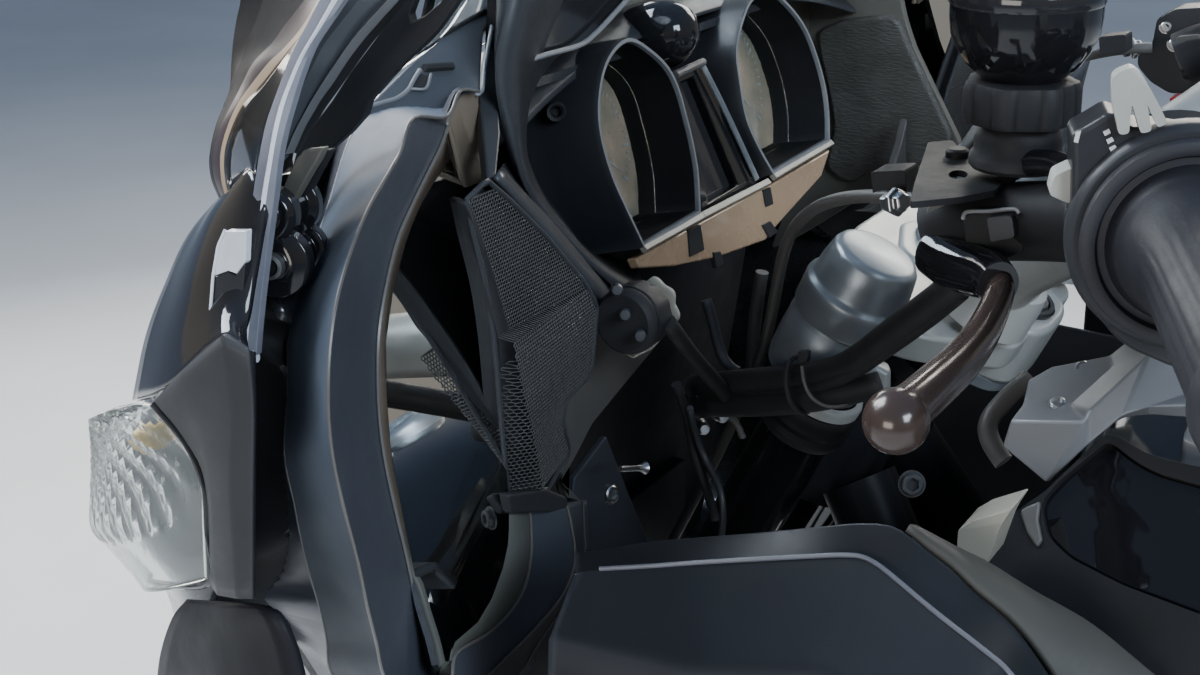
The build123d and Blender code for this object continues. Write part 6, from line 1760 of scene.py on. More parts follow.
# ------------------------------------------------------------------ nose, headlamp
NOSE = {
    .560: [(0, 1108), (110, 1108), (215, 1104), (285, 1062), (318, 960), (325, 850), (300, 740), (262, 690), (130, 690), (0, 690)],
    .620: [(0, 1090), (98, 1089), (190, 1084), (258, 1040), (290, 950), (290, 850), (262, 750), (225, 700), (112, 700), (0, 700)],
    .690: [(0, 1050), (78, 1048), (150, 1042), (212, 1000), (238, 930), (236, 850), (210, 760), (170, 716), (85, 716), (0, 716)],
    .760: [(0, 985), (54, 983), (105, 978), (150, 945), (172, 900), (168, 840), (150, 780), (118, 750), (60, 750), (0, 750)],
    .803: [(0, 918), (34, 916), (68, 910), (98, 892), (112, 866), (110, 836), (96, 808), (70, 792), (36, 790), (0, 790)],
    .818: [(0, 884), (20, 883), (40, 880), (56, 870), (64, 856), (62, 842), (54, 828), (40, 820), (20, 818), (0, 818)]}
rings = []
for x_, half in NOSE.items():
    pts = [Vector((x_, y * 0.001, z * 0.001)) for y, z in half]
    ring = pts + [Vector((p.x, -p.y, p.z)) for p in reversed(pts[1:-1])]
    rings.append(per_station(ring, 5, closed=True))
cols = [per_station([r[j] for r in rings], 6) for j in range(len(rings[0]))]
nrows = [[c[i] for c in cols] for i in range(len(cols[0]))]
# character lines: the upper cowl stands a little proud of the lower part
for row in nrows:
    for p in row:
        if p.z > 0.93:
            s = min(1.0, (p.z - 0.93) / 0.012)
            p.y *= 1 + 0.010 * s


def nose_mesh(name, mat, thick, **kw):
    o = grid(name, nrows, mat, close_u=True, thick=thick, face=(2.5, 0, 0.9), **kw)
    bm = bmesh.new()
    bm.from_mesh(o.data)
    tip = [v for v in bm.verts if abs(v.co.x - 0.818) < 1e-5]
    f = bmesh.ops.contextual_create(bm, geom=[e for e in bm.edges if all(abs(v.co.x - 0.818) < 1e-5 for v in e.verts)])["faces"]
    bmesh.ops.triangulate(bm, faces=f)
    bm.normal_update()
    s = sum(q.normal.dot(q.calc_center_median() - Vector((0.62, 0, 0.88))) * q.calc_area() for q in bm.faces)
    if s < 0:
        bmesh.ops.reverse_faces(bm, faces=bm.faces)
    bm.to_mesh(o.data)
    bm.free()
    o.data.shade_smooth()
    return o


nose = nose_mesh("nose_cowl", "paint", 0.004, node="nose_fairing", slot="body_paint", sharp=0)
NOSE_T = bvh(nose)


def on_nose(y, z, lift=0.0):
    hit, n_, _, _ = NOSE_T.ray_cast(Vector((1.2, y, z)), Vector((-1, 0, 0)))
    return (hit + n_ * lift, n_) if hit else (Vector((0.7, y, z)), Vector((1, 0, 0)))


bake(nose)
ZONE = [(0.012, .808), (0.060, .809), (0.118, .816), (0.150, .832), (0.158, .868), (0.154, .898), (0.128, .912), (0.096, .916), (0.050, .905), (0.012, .899)]
zone_l = rounded([Vector((0.690, y, z)) for y, z in ZONE], 0.010, 4)
zone_r = [Vector((p.x, -p.y, p.z)) for p in zone_l]
for zn in (zone_l, zone_r):
    carve(nose, zn, (0.2, 0, 0))
carve(nose, [Vector((0.50, -0.17, 0.60)), Vector((0.50, 0.17, 0.60)), Vector((0.50, 0.17, 0.724)), Vector((0.50, -0.17, 0.724))], (0.20, 0, 0))
nose.data.shade_smooth()
nose.data.set_sharp_from_angle(angle=math.radians(38))
lens = nose_mesh("headlamp_lens", "clear", 0.003, node="headlamp", slot="lens_clear", sharp=0)
bake(lens)
lens_r = lens.copy()
lens_r.data = lens.data.copy()
lens_r.name = "headlamp_lens_right"
COLL.objects.link(lens_r)
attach(lens_r, CHASSIS)
for o, zn in ((lens, zone_l), (lens_r, zone_r)):
    c_ = sum(zn, Vector()) / len(zn)
    carve(o, [c_ + (p - c_) * 0.975 for p in zn], (0.2, 0, 0), keep=True)
    o.data.shade_smooth()
    o.data.set_sharp_from_angle(angle=math.radians(38))
for s, tag in ((1, "left"), (-1, "right")):
    prism(f"lamp_tray_{tag}", rounded([Vector((0.712, s * y, z)) for y, z in ZONE], 0.010, 4), (0.004, 0, 0), "gloss", bev=0.001, slot="black_plastic")
    # side walls of the lamp
    wall = rounded([Vector((0.714, s * y, z)) for y, z in ZONE], 0.010, 4)
    rows = []
    for k in range(5):
        row = []
        for p in wall:
            q, n_ = on_nose(p.y, p.z)
            row.append(Vector((p.x + (min(q.x - 0.010, 0.80) - p.x) * k / 4, p.y * (1 - 0.00 * k), p.z)))
        rows.append(row)
    c_ = sum(wall, Vector()) / len(wall)
    rows = [[Vector((p.x, c_.y + (p.y - c_.y) * 0.985, c_.z + (p.z - c_.z) * 0.975)) for p in r] for r in rows]
    grid(f"lamp_walls_{tag}", rows, "gloss", close_u=True, thick=0.0015, face=(0.75, c_.y, c_.z), slot="black_plastic")
    for k, (y_, z_, r_) in enumerate(((0.050, 0.858, 0.036), (0.118, 0.868, 0.030))):
        c = Vector((0.722, s * y_, z_))
        lathe(f"lamp_reflector_{k}_{tag}", [(0.010, 0.000), (r_ * 0.55, 0.006), (r_ * 0.80, 0.016), (r_ * 0.95, 0.030), (r_, 0.034), (r_ + 0.003, 0.034), (r_ + 0.003, 0.0),
                                            (0.012, -0.006)], c, (1, 0, 0), "chrome", segs=64, slot="chrome", closed=True)
        lathe(f"lamp_lens_ball_{k}_{tag}", [(0, 0.028), (r_ * 0.3, 0.0268), (r_ * 0.5, 0.0225), (r_ * 0.60, 0.016), (r_ * 0.62, 0.008), (r_ * 0.5, 0.0)], c, (1, 0, 0), "clear",
              segs=56, slot="lens_clear")
        lathe(f"lamp_ring_{k}_{tag}", [(r_ * 0.62, 0.010), (r_ * 0.70, 0.014), (r_ * 0.70, 0.017), (r_ * 0.64, 0.018)], c, (1, 0, 0), "steel", segs=56, slot="steel", closed=True)
    rim = []
    zc = sum([Vector((0, s * y, z)) for y, z in ZONE], Vector()) / len(ZONE)
    for p in rounded([Vector((0, s * y, z)) for y, z in ZONE], 0.010, 6):
        q = zc + (p - zc) * 1.0
        rim.append(on_nose(q.y, q.z, -0.0002)[0])
    tube(f"lamp_bezel_{tag}", rim, 0.0018, "matt", closed=True, segs=10, slot="black_plastic")
    # air intakes beside and under the lamps
    for k, q in enumerate((((0.185, 0.800), (0.214, 0.826), (0.222, 0.880), (0.205, 0.885), (0.188, 0.842)),
                           ((0.046, 0.770), (0.104, 0.774), (0.138, 0.792), (0.130, 0.800), (0.100, 0.790), (0.050, 0.786)))):
        out = rounded([on_nose(s * y, z, 0.0012)[0] for y, z in q], 0.006, 4)
        prism(f"intake_{k}_{tag}", out, (-0.010, 0, 0), "matt", bev=0.0008, slot="black_plastic")
        out2 = [on_nose(s * y, z, 0.0026)[0] for y, z in q]
        tube(f"intake_rim_{k}_{tag}", rounded(out2, 0.006, 5), 0.0018, "satin", closed=True, segs=10, slot="black_plastic")
    n_sl = 6
    for k in range(n_sl):
        t = (k + 0.5) / n_sl
        a, b = on_nose(s * (0.190 + 0.008 * t), 0.812 + 0.062 * t, 0.003)[0], on_nose(s * (0.210 + 0.008 * t), 0.826 + 0.050 * t, 0.003)[0]
        tube(f"intake_bar_{k}_{tag}", [a, b], 0.0013, "satin", segs=8, slot="black_plastic")
    # seams of the cowl, laid on its skin
    for nm, line in (("a", [(0.100, 0.986), (0.135, 0.955), (0.160, 0.925), (0.166, 0.895), (0.168, 0.860), (0.160, 0.825), (0.145, 0.795), (0.125, 0.772)]),
                     ("b", [(0.166, 0.905), (0.200, 0.935), (0.235, 0.962), (0.268, 0.985), (0.290, 1.000)])):
        tube(f"nose_seam_{nm}_{tag}", [on_nose(s * y, z, 0.0001)[0] for y, z in line], 0.0011, "matt", n=40, segs=8, slot="black_plastic")
    bolts(f"nose_screws_{tag}", [(on_nose(s * y, z)[0], on_nose(s * y, z)[1], 0.0042, 0.0016) for y, z in ((0.250, 0.800), (0.262, 0.880), (0.225, 1.010), (0.180, 0.760))],
          "steel", slot="steel")
prism("oil_cooler", [Vector((0.640, y, z)) for y, z in ((-0.14, 0.727), (0.14, 0.727), (0.14, 0.790), (-0.14, 0.790))], (0.014, 0, 0), "matt", bev=0.001, slot="black_metal")
for k in range(9):
    prism(f"oil_cooler_row_{k}", [Vector((0.6545, y, 0.731 + 0.0066 * k + dz)) for y, dz in ((-0.132, 0), (0.132, 0), (0.132, 0.003), (-0.132, 0.003))], (0.0015, 0, 0), "steel", bev=0.0,
          slot="steel")
# the seam across the top
tube("nose_top_seam", [on_nose(y * 0.001, z * 0.001, 0.0001)[0] for y, z in ((-98, 990), (-60, 978), (-20, 972), (20, 972), (60, 978), (98, 990))], 0.0011, "matt", n=50, segs=8,
     slot="black_plastic")
# ------------------------------------------------------------------ wheels
FA, RA = Vector((0.815, 0, 0.300)), Vector((-0.670, 0, 0.345))


def polar(c, r, a, y):
    """Beside a wheel's centre: r out at a degrees in the x-z plane, at y."""
    g = math.radians(a)
    return Vector((c.x + r * math.cos(g), y, c.z + r * math.sin(g)))


def tyre(name, c, rad, half, bead, pitches, body, node, way=1):
    k = 0.045
    rc = (half * half + k * k) / (2 * k)
    ph = math.asin(half / rc) if half < rc else math.pi / 2
    prof = [(bead - 0.004, 0.2162), (bead, 0.2165), (bead, 0.2285), (bead + 0.0025, 0.2310)]
    top_r = rad - k
    for t in (0.12, 0.22, 0.30, 0.34, 0.38, 0.55, 0.75, 0.9):
        rr = 0.2310 + (top_r - 0.2310) * t
        yy = bead + 0.0025 + (half - bead - 0.0025) * math.sin(t * math.pi / 2) + (0.0009 if 0.29 < t < 0.36 else 0)
        prof.append((yy, rr))
    crown = []
    stops = [0.085, 0.10, 0.36, 0.375, 0.43, 0.445, 0.80, 0.815, 0.90, 0.915]
    us = sorted(set([i / 26 for i in range(27)] + stops))
    for u in reversed(us):
        a = ph * u
        crown.append((rc * math.sin(a), rad - rc + rc * math.cos(a)))
    right = prof + crown
    line = right + [(-y, r) for y, r in reversed(right[:-1])]
    fr = [0.0, 0.035, 0.14, 0.175, 0.27, 0.38, 0.5, 0.535, 0.64, 0.675, 0.77, 0.88]
    rows = []
    for p in range(pitches):
        for q, f in enumerate(fr):
            row = []
            for y, r in line:
                u = min(1.0, math.asin(max(-1.0, min(1.0, abs(y) / rc))) / ph) if r > top_r - 1e-6 else 1.0
                cut = 0.0
                if r >= top_r - 1e-6:
                    long_, short_ = (q in (1, 2), q in (7, 8)) if y > 0 else (q in (7, 8), q in (1, 2))
                    if long_ and 0.10 <= u <= 0.80:
                        cut = 0.0052
                    elif short_ and 0.445 <= u <= 0.90:
                        cut = 0.0045
                g = 2 * math.pi * (p + f) / pitches + way * 0.30 * (min(u, 1.0) ** 1.35)
                rr = r - cut
                row.append(Vector((c.x + rr * math.cos(g), y, c.z + rr * math.sin(g))))
            rows.append(row)
    return grid(name, rows, "tyre", close_v=True, body=body, node=node, slot="tyre", sharp=32, thick=0.0)


def bar_section(c, u, v, w, d, n=28):
    """A rounded bar section about c: w along u, d along v, its broad faces a little hollow."""
    out = []
    for k in range(n):
        g = 2 * math.pi * k / n
        x = math.copysign(abs(math.cos(g)) ** 0.55, math.cos(g))
        y = math.copysign(abs(math.sin(g)) ** 0.55, math.sin(g))
        y *= 1 - 0.16 * max(0.0, 1 - abs(x) * 1.45)
        out.append(c + u * (x * w / 2) + v * (y * d / 2))
    return out


def cast_wheel(tag, c, bead, hub_r, y0, y1, bore, spoke, body, node, spoke_mid=0.0):
    b = bead
    half = [(0.1992, 0.0), (0.1990, b - 0.018), (0.2000, b - 0.008), (0.2035, b - 0.002), (0.2060, b + 0.0032), (0.2080, b + 0.0040), (0.2215, b + 0.0040),
            (0.2262, b + 0.0034), (0.2282, b + 0.0018), (0.2282, b + 0.0002), (0.2262, b), (0.2175, b - 0.0004), (0.2158, b - 0.0015), (0.2150, b - 0.012),
            (0.2080, b - 0.022), (0.2070, 0.0)]
    ring = [(r, t) for r, t in half] + [(r, -t) for r, t in reversed(half[1:-1])]
    lathe(f"{tag}_rim_band", ring, c, (0, 1, 0), "rim", segs=144, body=body, node=node, slot="rim_paint", closed=True, sharp=38)
    for k in range(5):
        for s in (-1, 1):
            a = math.radians(72 * k + 18 + 9 * s)
            root = math.radians(72 * k + 18 + 19.8 * s)
            p0 = Vector(((hub_r - 0.007) * math.cos(root), 0, (hub_r - 0.007) * math.sin(root)))
            p1 = Vector((0.2008 * math.cos(a), 0, 0.2008 * math.sin(a)))
            d = (p1 - p0).normalized()
            n = Vector((-d.z, 0, d.x))
            rows = []
            for i in range(17):
                t = i / 16
                w = 0.0150 + 0.0085 * (1 - min(1, t / 0.25)) ** 2 + 0.016 * max(0.0, (t - 0.86) / 0.14) ** 2
                dd = spoke * 2 * (1.0 + 0.28 * (1 - min(1, t / 0.4)) ** 1.5 + 0.22 * max(0.0, (t - 0.85) / 0.15) ** 2)
                rows.append(bar_section(c + Vector((0, spoke_mid, 0)) + p0.lerp(p1, t), n, Vector((0, 1, 0)), w, dd))
            grid(f"{tag}_spoke_{k}_{'a' if s < 0 else 'b'}", rows, "rim", close_u=True, caps=True, body=body, slot="rim_paint", sharp=0)
    prof = [(bore, y0), (hub_r - 0.007, y0), (hub_r - 0.004, y0 + 0.002), (hub_r - 0.003, y0 + 0.010), (hub_r, y0 + 0.016), (hub_r + 0.003, y0 + 0.024),
            (hub_r + 0.003, y1 - 0.024), (hub_r, y1 - 0.016), (hub_r - 0.003, y1 - 0.010), (hub_r - 0.004, y1 - 0.002), (hub_r - 0.007, y1), (bore, y1)]
    lathe(f"{tag}_hub", prof, c, (0, 1, 0), "rim", segs=72, body=body, slot="rim_paint", closed=True, sharp=40)
    for s, yy in ((1, y1), (-1, y0)):
        lathe(f"{tag}_bearing_seal_{'left' if s > 0 else 'right'}", [(bore + 0.0006, -0.002), (bore + 0.0006, 0.0006), (bore + 0.006, 0.0010), (bore + 0.0066, 0.0002),
                                                                      (hub_r - 0.009, 0.0002), (hub_r - 0.009, -0.002)],
              c + Vector((0, yy, 0)), (0, s, 0), "rubber", segs=56, body=body, slot="rubber", closed=True, sharp=30)
    v0 = polar(c, 0.2000, 18, 0.012)
    v1 = polar(c, 0.1700, 18, 0.016)
    tube(f"{tag}_valve", [v0, v0.lerp(v1, 0.45), v0.lerp(v1, 0.46), v1], [0.0042, 0.0040, 0.0032, 0.0032], "dark_steel", segs=18, body=body, slot="black_metal")


tyre("front_tyre_tread", FA, 0.300, 0.060, 0.048, 24, "front_wheel", "front_tyre", 1)
tyre("rear_tyre_tread", RA, 0.315, 0.090, 0.074, 24, "rear_wheel", "rear_tyre", -1)
cast_wheel("front_wheel", FA, 0.048, 0.032, -0.055, 0.055, 0.0126, 0.0125, "front_wheel", "front_rim")
cast_wheel("rear_wheel", RA, 0.074, 0.040, -0.052, 0.060, 0.0206, 0.0175, "rear_wheel", "rear_rim")


def drilled_disc(name, c, r0, r1, y, t, rows_, mat, body, node=None, waves=0, **kw):
    n = 144
    out = [polar(c, r1 + (0.0012 * math.cos(waves * math.radians(360 * k / n)) - 0.0012 if waves else 0), 360 * k / n, y) for k in range(n)]
    inn = [polar(c, r0, 360 * k / 96, y) for k in range(96)]
    holes = [inn]
    for num, rad, hr, off in rows_:
        for k in range(num):
            h = polar(c, rad, 360 * (k + off) / num, y)
            holes.append([h + Vector((hr * math.cos(2 * math.pi * q / 12), 0, hr * math.sin(2 * math.pi * q / 12))) for q in range(12)])
    return prism(name, out, (0, t, 0), mat, bev=0.0, holes=holes, body=body, node=node, sharp=30, **kw)


for s, tag in ((1, "left"), (-1, "right")):
    drilled_disc(f"front_disc_{tag}", FA, 0.1175, 0.1600, s * 0.0582, s * 0.0042, [(20, 0.1245, 0.0031, 0), (20, 0.1320, 0.0031, .33), (20, 0.1395, 0.0031, .66),
                                                                                  (20, 0.1470, 0.0031, 0), (20, 0.1540, 0.0026, .33)],
                 "steel", "front_wheel", "front_brake_discs" if s == 1 else None, slot="steel")
    n = 120
    out = []
    for k in range(n):
        a = 360 * k / n
        out.append(polar(FA, 0.1135 if (a % 36) < 12 or (a % 36) > 33 else 0.1065, a, s * 0.0545))
    wins = [circle(FA, (0, 1, 0), 0.0205, 48)]
    wins[0] = [p + Vector((0, s * 0.0545, 0)) for p in wins[0]]
    for k in range(10):
        a0, a1 = 36 * k + 14, 36 * k + 32
        q = [polar(FA, 0.0960, a0 + 3, s * .0545), polar(FA, 0.0975, (a0 + a1) / 2, s * .0545), polar(FA, 0.0960, a1 - 3, s * .0545), polar(FA, 0.0500, a1 - 5, s * .0545),
             polar(FA, 0.0480, (a0 + a1) / 2, s * .0545), polar(FA, 0.0500, a0 + 5, s * .0545)]
        wins.append(rounded(q, 0.006, 3))
    prism(f"front_disc_carrier_{tag}", out, (0, s * 0.0038, 0), "rim", bev=0.0008, holes=wins, body="front_wheel", slot="black_metal", sharp=30)
    for k in range(10):
        p = polar(FA, 0.1145, 36 * k + 4.5, s * 0.0535)
        lathe(f"front_disc_bobbin_{k}_{tag}", [(0.0028, -0.001), (0.0058, -0.001), (0.0062, 0.0002), (0.0062, 0.0088), (0.0056, 0.0098), (0.0042, 0.0098), (0.0036, 0.0086),
                                             (0.0028, 0.0086)], p, (0, s, 0), "dark_steel", segs=20, body="front_wheel", slot="black_metal", closed=True, sharp=35)
    bolts(f"front_disc_bolts_{tag}", [(polar(FA, 0.039, 60 * k, s * 0.0583), Vector((0, s, 0)), 0.0050, 0.0034) for k in range(6)], "steel", body="front_wheel", slot="steel")
drilled_disc("rear_disc", RA, 0.0860, 0.1320, -0.0608, 0.0044, [(18, 0.0945, 0.0032, 0), (18, 0.1030, 0.0032, .33), (18, 0.1115, 0.0032, .66), (18, 0.1200, 0.0032, 0),
                                                                (18, 0.1270, 0.0024, .33)], "steel", "rear_wheel", "rear_brake_disc", slot="steel")
wins = []
for k in range(5):
    a0, a1 = 72 * k + 18, 72 * k + 54
    wins.append(rounded([polar(RA, 0.0800, a0, -.0595), polar(RA, 0.0835, (a0 + a1) / 2, -.0595), polar(RA, 0.0800, a1, -.0595), polar(RA, 0.056, a1 - 6, -.0595),
                         polar(RA, 0.054, (a0 + a1) / 2, -.0595), polar(RA, 0.056, a0 + 6, -.0595)], 0.006, 3))
prism("rear_disc_carrier", [polar(RA, 0.0875, 3 * k, -0.0595) for k in range(120)], (0, 0.0030, 0), "rim", bev=0.0, holes=[[polar(RA, 0.029, 7.5 * k, -.0595) for k in range(48)]] + wins,
      body="rear_wheel", slot="black_metal", sharp=30)
bolts("rear_disc_bolts", [(polar(RA, 0.046, 72 * k + 0, -0.0597), Vector((0, -1, 0)), 0.0052, 0.0022) for k in range(5)], "steel", body="rear_wheel", slot="steel")

# calipers
for s, tag in ((1, "left"), (-1, "right")):
    def arc_block(r0, r1, a0, a1, y, n=10):
        return [polar(FA, r1, a0 + (a1 - a0) * k / n, y) for k in range(n + 1)] + [polar(FA, r0, a1 - (a1 - a0) * k / n, y) for k in range(n + 1)]
    prism(f"caliper_outer_{tag}", rounded(arc_block(0.106, 0.176, 123, 160, s * 0.0665), 0.004, 2), (0, s * 0.0165, 0), "fork", bev=0.0028, segs=3, body=STEER,
          node="brake_calipers" if s == 1 else None, slot="black_metal")
    prism(f"caliper_inner_{tag}", rounded(arc_block(0.1228, 0.176, 125, 158, s * 0.0440), 0.004, 2), (0, s * 0.0115, 0), "fork", bev=0.0024, segs=3, body=STEER, slot="black_metal")
    prism(f"caliper_bridge_{tag}", rounded(arc_block(0.1655, 0.177, 126, 157, s * 0.0440), 0.003, 2), (0, s * 0.0360, 0), "fork", bev=0.0018, segs=3, body=STEER, slot="black_metal")
    for k, a in enumerate((132.5, 150.5)):
        lathe(f"caliper_cup_{k}_{tag}", [(0.0135, -0.002), (0.0150, 0.0004), (0.0150, 0.0014), (0.0138, 0.0022), (0.0100, 0.0022), (0.0088, 0.0012), (0.0, 0.0012)],
              polar(FA, 0.140, a, s * 0.0828), (0, s, 0), "dark_steel", segs=44, body=STEER, slot="black_metal", sharp=35)
        prism(f"brake_pad_{k}_{tag}", arc_block(0.1228, 0.158, a - 7.5, a + 7.5, s * (0.0560 if k else 0.0560), 4), (0, s * 0.0018, 0), "matt", bev=0.0, body=STEER, slot="black_metal")
    bolts(f"caliper_bolts_{tag}", [(polar(FA, 0.170, a, s * 0.0828), Vector((0, s, 0)), 0.0052, 0.0045) for a in (127, 156)], "steel", body=STEER, slot="steel")
    prism(f"caliper_lug_{tag}", [Vector((0.700, s * 0.074, 0.352)), Vector((0.735, s * 0.074, 0.352)), Vector((0.745, s * 0.074, 0.425)), Vector((0.712, s * 0.074, 0.430))],
          (0, s * 0.012, 0), "fork", bev=0.003, body=STEER, slot="black_metal")
    hose(f"caliper_hose_{tag}", [(0.606, s * 0.112, 0.640), (0.612, s * 0.126, 0.600), (0.650, s * 0.132, 0.540), (0.684, s * 0.126, 0.480), (0.700, s * 0.108, 0.448),
                                 (0.706, s * 0.084, 0.436)], 0.0034, "rubber", STEER, slot="rubber")
    # slider: dust seal, clamp bolts
    ax = Vector((-0.4478, 0, 0.8941))
    tz = lambda z, s=s: Vector((0.921 - 0.5008 * z, s * 0.105, z))
    lathe(f"fork_seal_{tag}", [(0.0178, 0.010), (0.0200, 0.0095), (0.0215, 0.007), (0.0225, 0.004), (0.0268, 0.0022), (0.0275, 0.0), (0.0275, -0.010), (0.0262, -0.012)],
          tz(0.645), ax, "rubber", segs=56, body=STEER, slot="rubber", sharp=40)
    lathe(f"axle_cap_{tag}", [(0.0, 0.0050), (0.0065, 0.0050), (0.0075, 0.0062), (0.0145, 0.0062), (0.0165, 0.004), (0.0165, -0.004), (0.0125, -0.006)],
          (0.815, s * 0.1335, 0.300), (0, s, 0), "steel", segs=6, body=STEER, slot="steel", bev=0.0008)
    bolts(f"axle_clamp_bolts_{tag}", [(Vector((0.790, s * 0.118, 0.281)), Vector((-0.5, 0, -0.85)), 0.0048, 0.004), (Vector((0.802, s * 0.096, 0.278)), Vector((-0.4, 0, -0.9)), 0.0048, 0.004)],
          "steel", body=STEER, slot="steel")

# front mudguard
rows = []
NA, SEC = 44, [0, 0.22, 0.42, 0.58, 0.70, 0.79, 0.86, 0.92, 0.965, 0.99, 1.0, 1.0, 0.995]
for i in range(NA + 1):
    t = i / NA
    a = 33 + (169 - 33) * t
    w = 0.0740 * (1 - 0.34 * max(0.0, (0.22 - t) / 0.22) ** 1.7 - 0.10 * max(0.0, (t - 0.85) / 0.15) ** 2)
    skirt = 0.268 + 0.028 * max(0.0, (0.30 - t) / 0.30) ** 1.4 + 0.016 * max(0.0, (t - 0.80) / 0.20) ** 1.5 - 0.004 * math.sin(math.pi * t)
    row = []
    for j, q in enumerate(SEC):
        if j < 9:
            r = 0.3132 - 0.0035 * (q / 0.6) ** 2 - 0.020 * max(0.0, (q - 0.62) / 0.38) ** 2.2 + (0.0010 if 0.50 < q < 0.72 else 0)
        else:
            r = [0.2885, 0.282, skirt + 0.004, skirt][j - 9]
            r = max(r, skirt + 0.0006 * (12 - j))
        row.append((q * w, r))
    full = [(-y, r) for y, r in reversed(row[1:])] + row
    rows.append([polar(FA, r, a, y) for y, r in full])
grid("front_mudguard_shell", rows, "paint", thick=0.0034, face=(0.815, 0, 2.5), body=STEER, node="front_mudguard", slot="body_paint", sharp=0, sub=1)
for s, tag in ((1, "left"), (-1, "right")):
    pts = [polar(FA, 0.292, 118, s * 0.0735), polar(FA, 0.300, 128, s * 0.0735), polar(FA, 0.296, 140, s * 0.0735), polar(FA, 0.262, 140, s * 0.0735), polar(FA, 0.240, 130, s * 0.0735),
           polar(FA, 0.262, 118, s * 0.0735)]
    prism(f"mudguard_bracket_{tag}", rounded(pts, 0.008, 4), (0, s * 0.011, 0), "matt", bev=0.002, body=STEER, slot="black_plastic")
    bolts(f"mudguard_bolts_{tag}", [(polar(FA, 0.284, 123, s * 0.0845), Vector((0, s, 0)), 0.0048, 0.003), (polar(FA, 0.284, 136, s * 0.0845), Vector((0, s, 0)), 0.0048, 0.003)],
          "steel", body=STEER, slot="steel")
    tube(f"mudguard_arm_{tag}", [polar(FA, 0.262, 129, s * 0.079), (0.654, s * 0.086, 0.500), (0.664, s * 0.096, 0.497)], 0.0085, "matt", segs=18, body=STEER, slot="black_plastic")

# front suspension: damper with its coil spring
def damper(tag, lo, hi, r_wire, r_coil, turns, body_r, node=None):
    lo, hi = Vector(lo), Vector(hi)
    ax = (hi - lo).normalized()
    ln = (hi - lo).length
    u, v, _ = basis(ax)
    lathe(f"damper_{tag}", [(0, 0.0), (0.016, 0.0), (0.018, 0.003), (0.018, 0.012), (r_coil + 0.005, 0.014), (r_coil + 0.006, 0.018), (r_coil + 0.004, 0.021), (body_r, 0.022),
                            (body_r, ln * 0.60), (body_r - 0.004, ln * 0.61), (0.0075, ln * 0.615), (0.0075, ln - 0.026), (0.016, ln - 0.024), (0.018, ln - 0.020),
                            (r_coil + 0.005, ln - 0.018), (r_coil + 0.006, ln - 0.013), (r_coil - 0.004, ln - 0.008), (0.016, ln - 0.004), (0.014, ln), (0, ln)],
          lo, ax, "dark_steel", segs=48, slot="steel", node=node, sharp=35)
    pts = []
    N = int(turns * 22)
    for i in range(N + 1):
        g = 2 * math.pi * turns * i / N
        h = 0.022 + r_wire + (ln - 0.044 - 2 * r_wire) * i / N
        pts.append(lo + ax * h + (u * math.cos(g) + v * math.sin(g)) * r_coil)
    tube(f"spring_{tag}", pts, r_wire, "silver_pale", segs=12, slot="steel")


damper("front", (0.4600, 0, 0.672), (0.4405, 0, 0.846), 0.0048, 0.0265, 6.5, 0.019, "shock_absorbers")
damper("rear", (-0.2480, -0.006, 0.4905), (-0.2185, -0.006, 0.5855), 0.0046, 0.0235, 4.5, 0.016)
for n_, w_ in (("front_a_arm", 0.0035), ("rear_swingarm", 0.004), ("main_frame", 0.002)):
    soften(n_, w_)
# ------------------------------------------------------------------ power unit
soften("power_unit", 0.006, 3)


def xz(pts, y):
    return [Vector((x, y, z)) for x, z in pts]


def yz(pts, x):
    return [Vector((x, y, z)) for y, z in pts]


# front cover
prism("front_cover", rounded(yz(((-.088, .300), (.088, .300), (.096, .420), (.070, .512), (-.070, .512), (-.096, .420)), .326), .022, 6), (.014, 0, 0), "engine", bev=0.005,
      segs=3, slot="engine_paint")
for k, (z0, z1, w) in enumerate(((.318, .322, .074), (.344, .348, .080), (.370, .374, .084), (.396, .400, .086), (.422, .426, .084), (.448, .452, .076), (.474, .478, .068))):
    prism(f"front_cover_rib_{k}", yz(((-w, z0), (w, z0), (w, z1), (-w, z1)), .339), (.004, 0, 0), "engine", bev=0.0010, slot="engine_paint")
bolts("front_cover_bolts", [(Vector((.3402, y, z)), Vector((1, 0, 0)), .0048, .004) for y, z in ((-.078, .312), (.078, .312), (-.086, .415), (.086, .415), (-.062, .500), (.062, .500))],
      "steel", slot="steel")
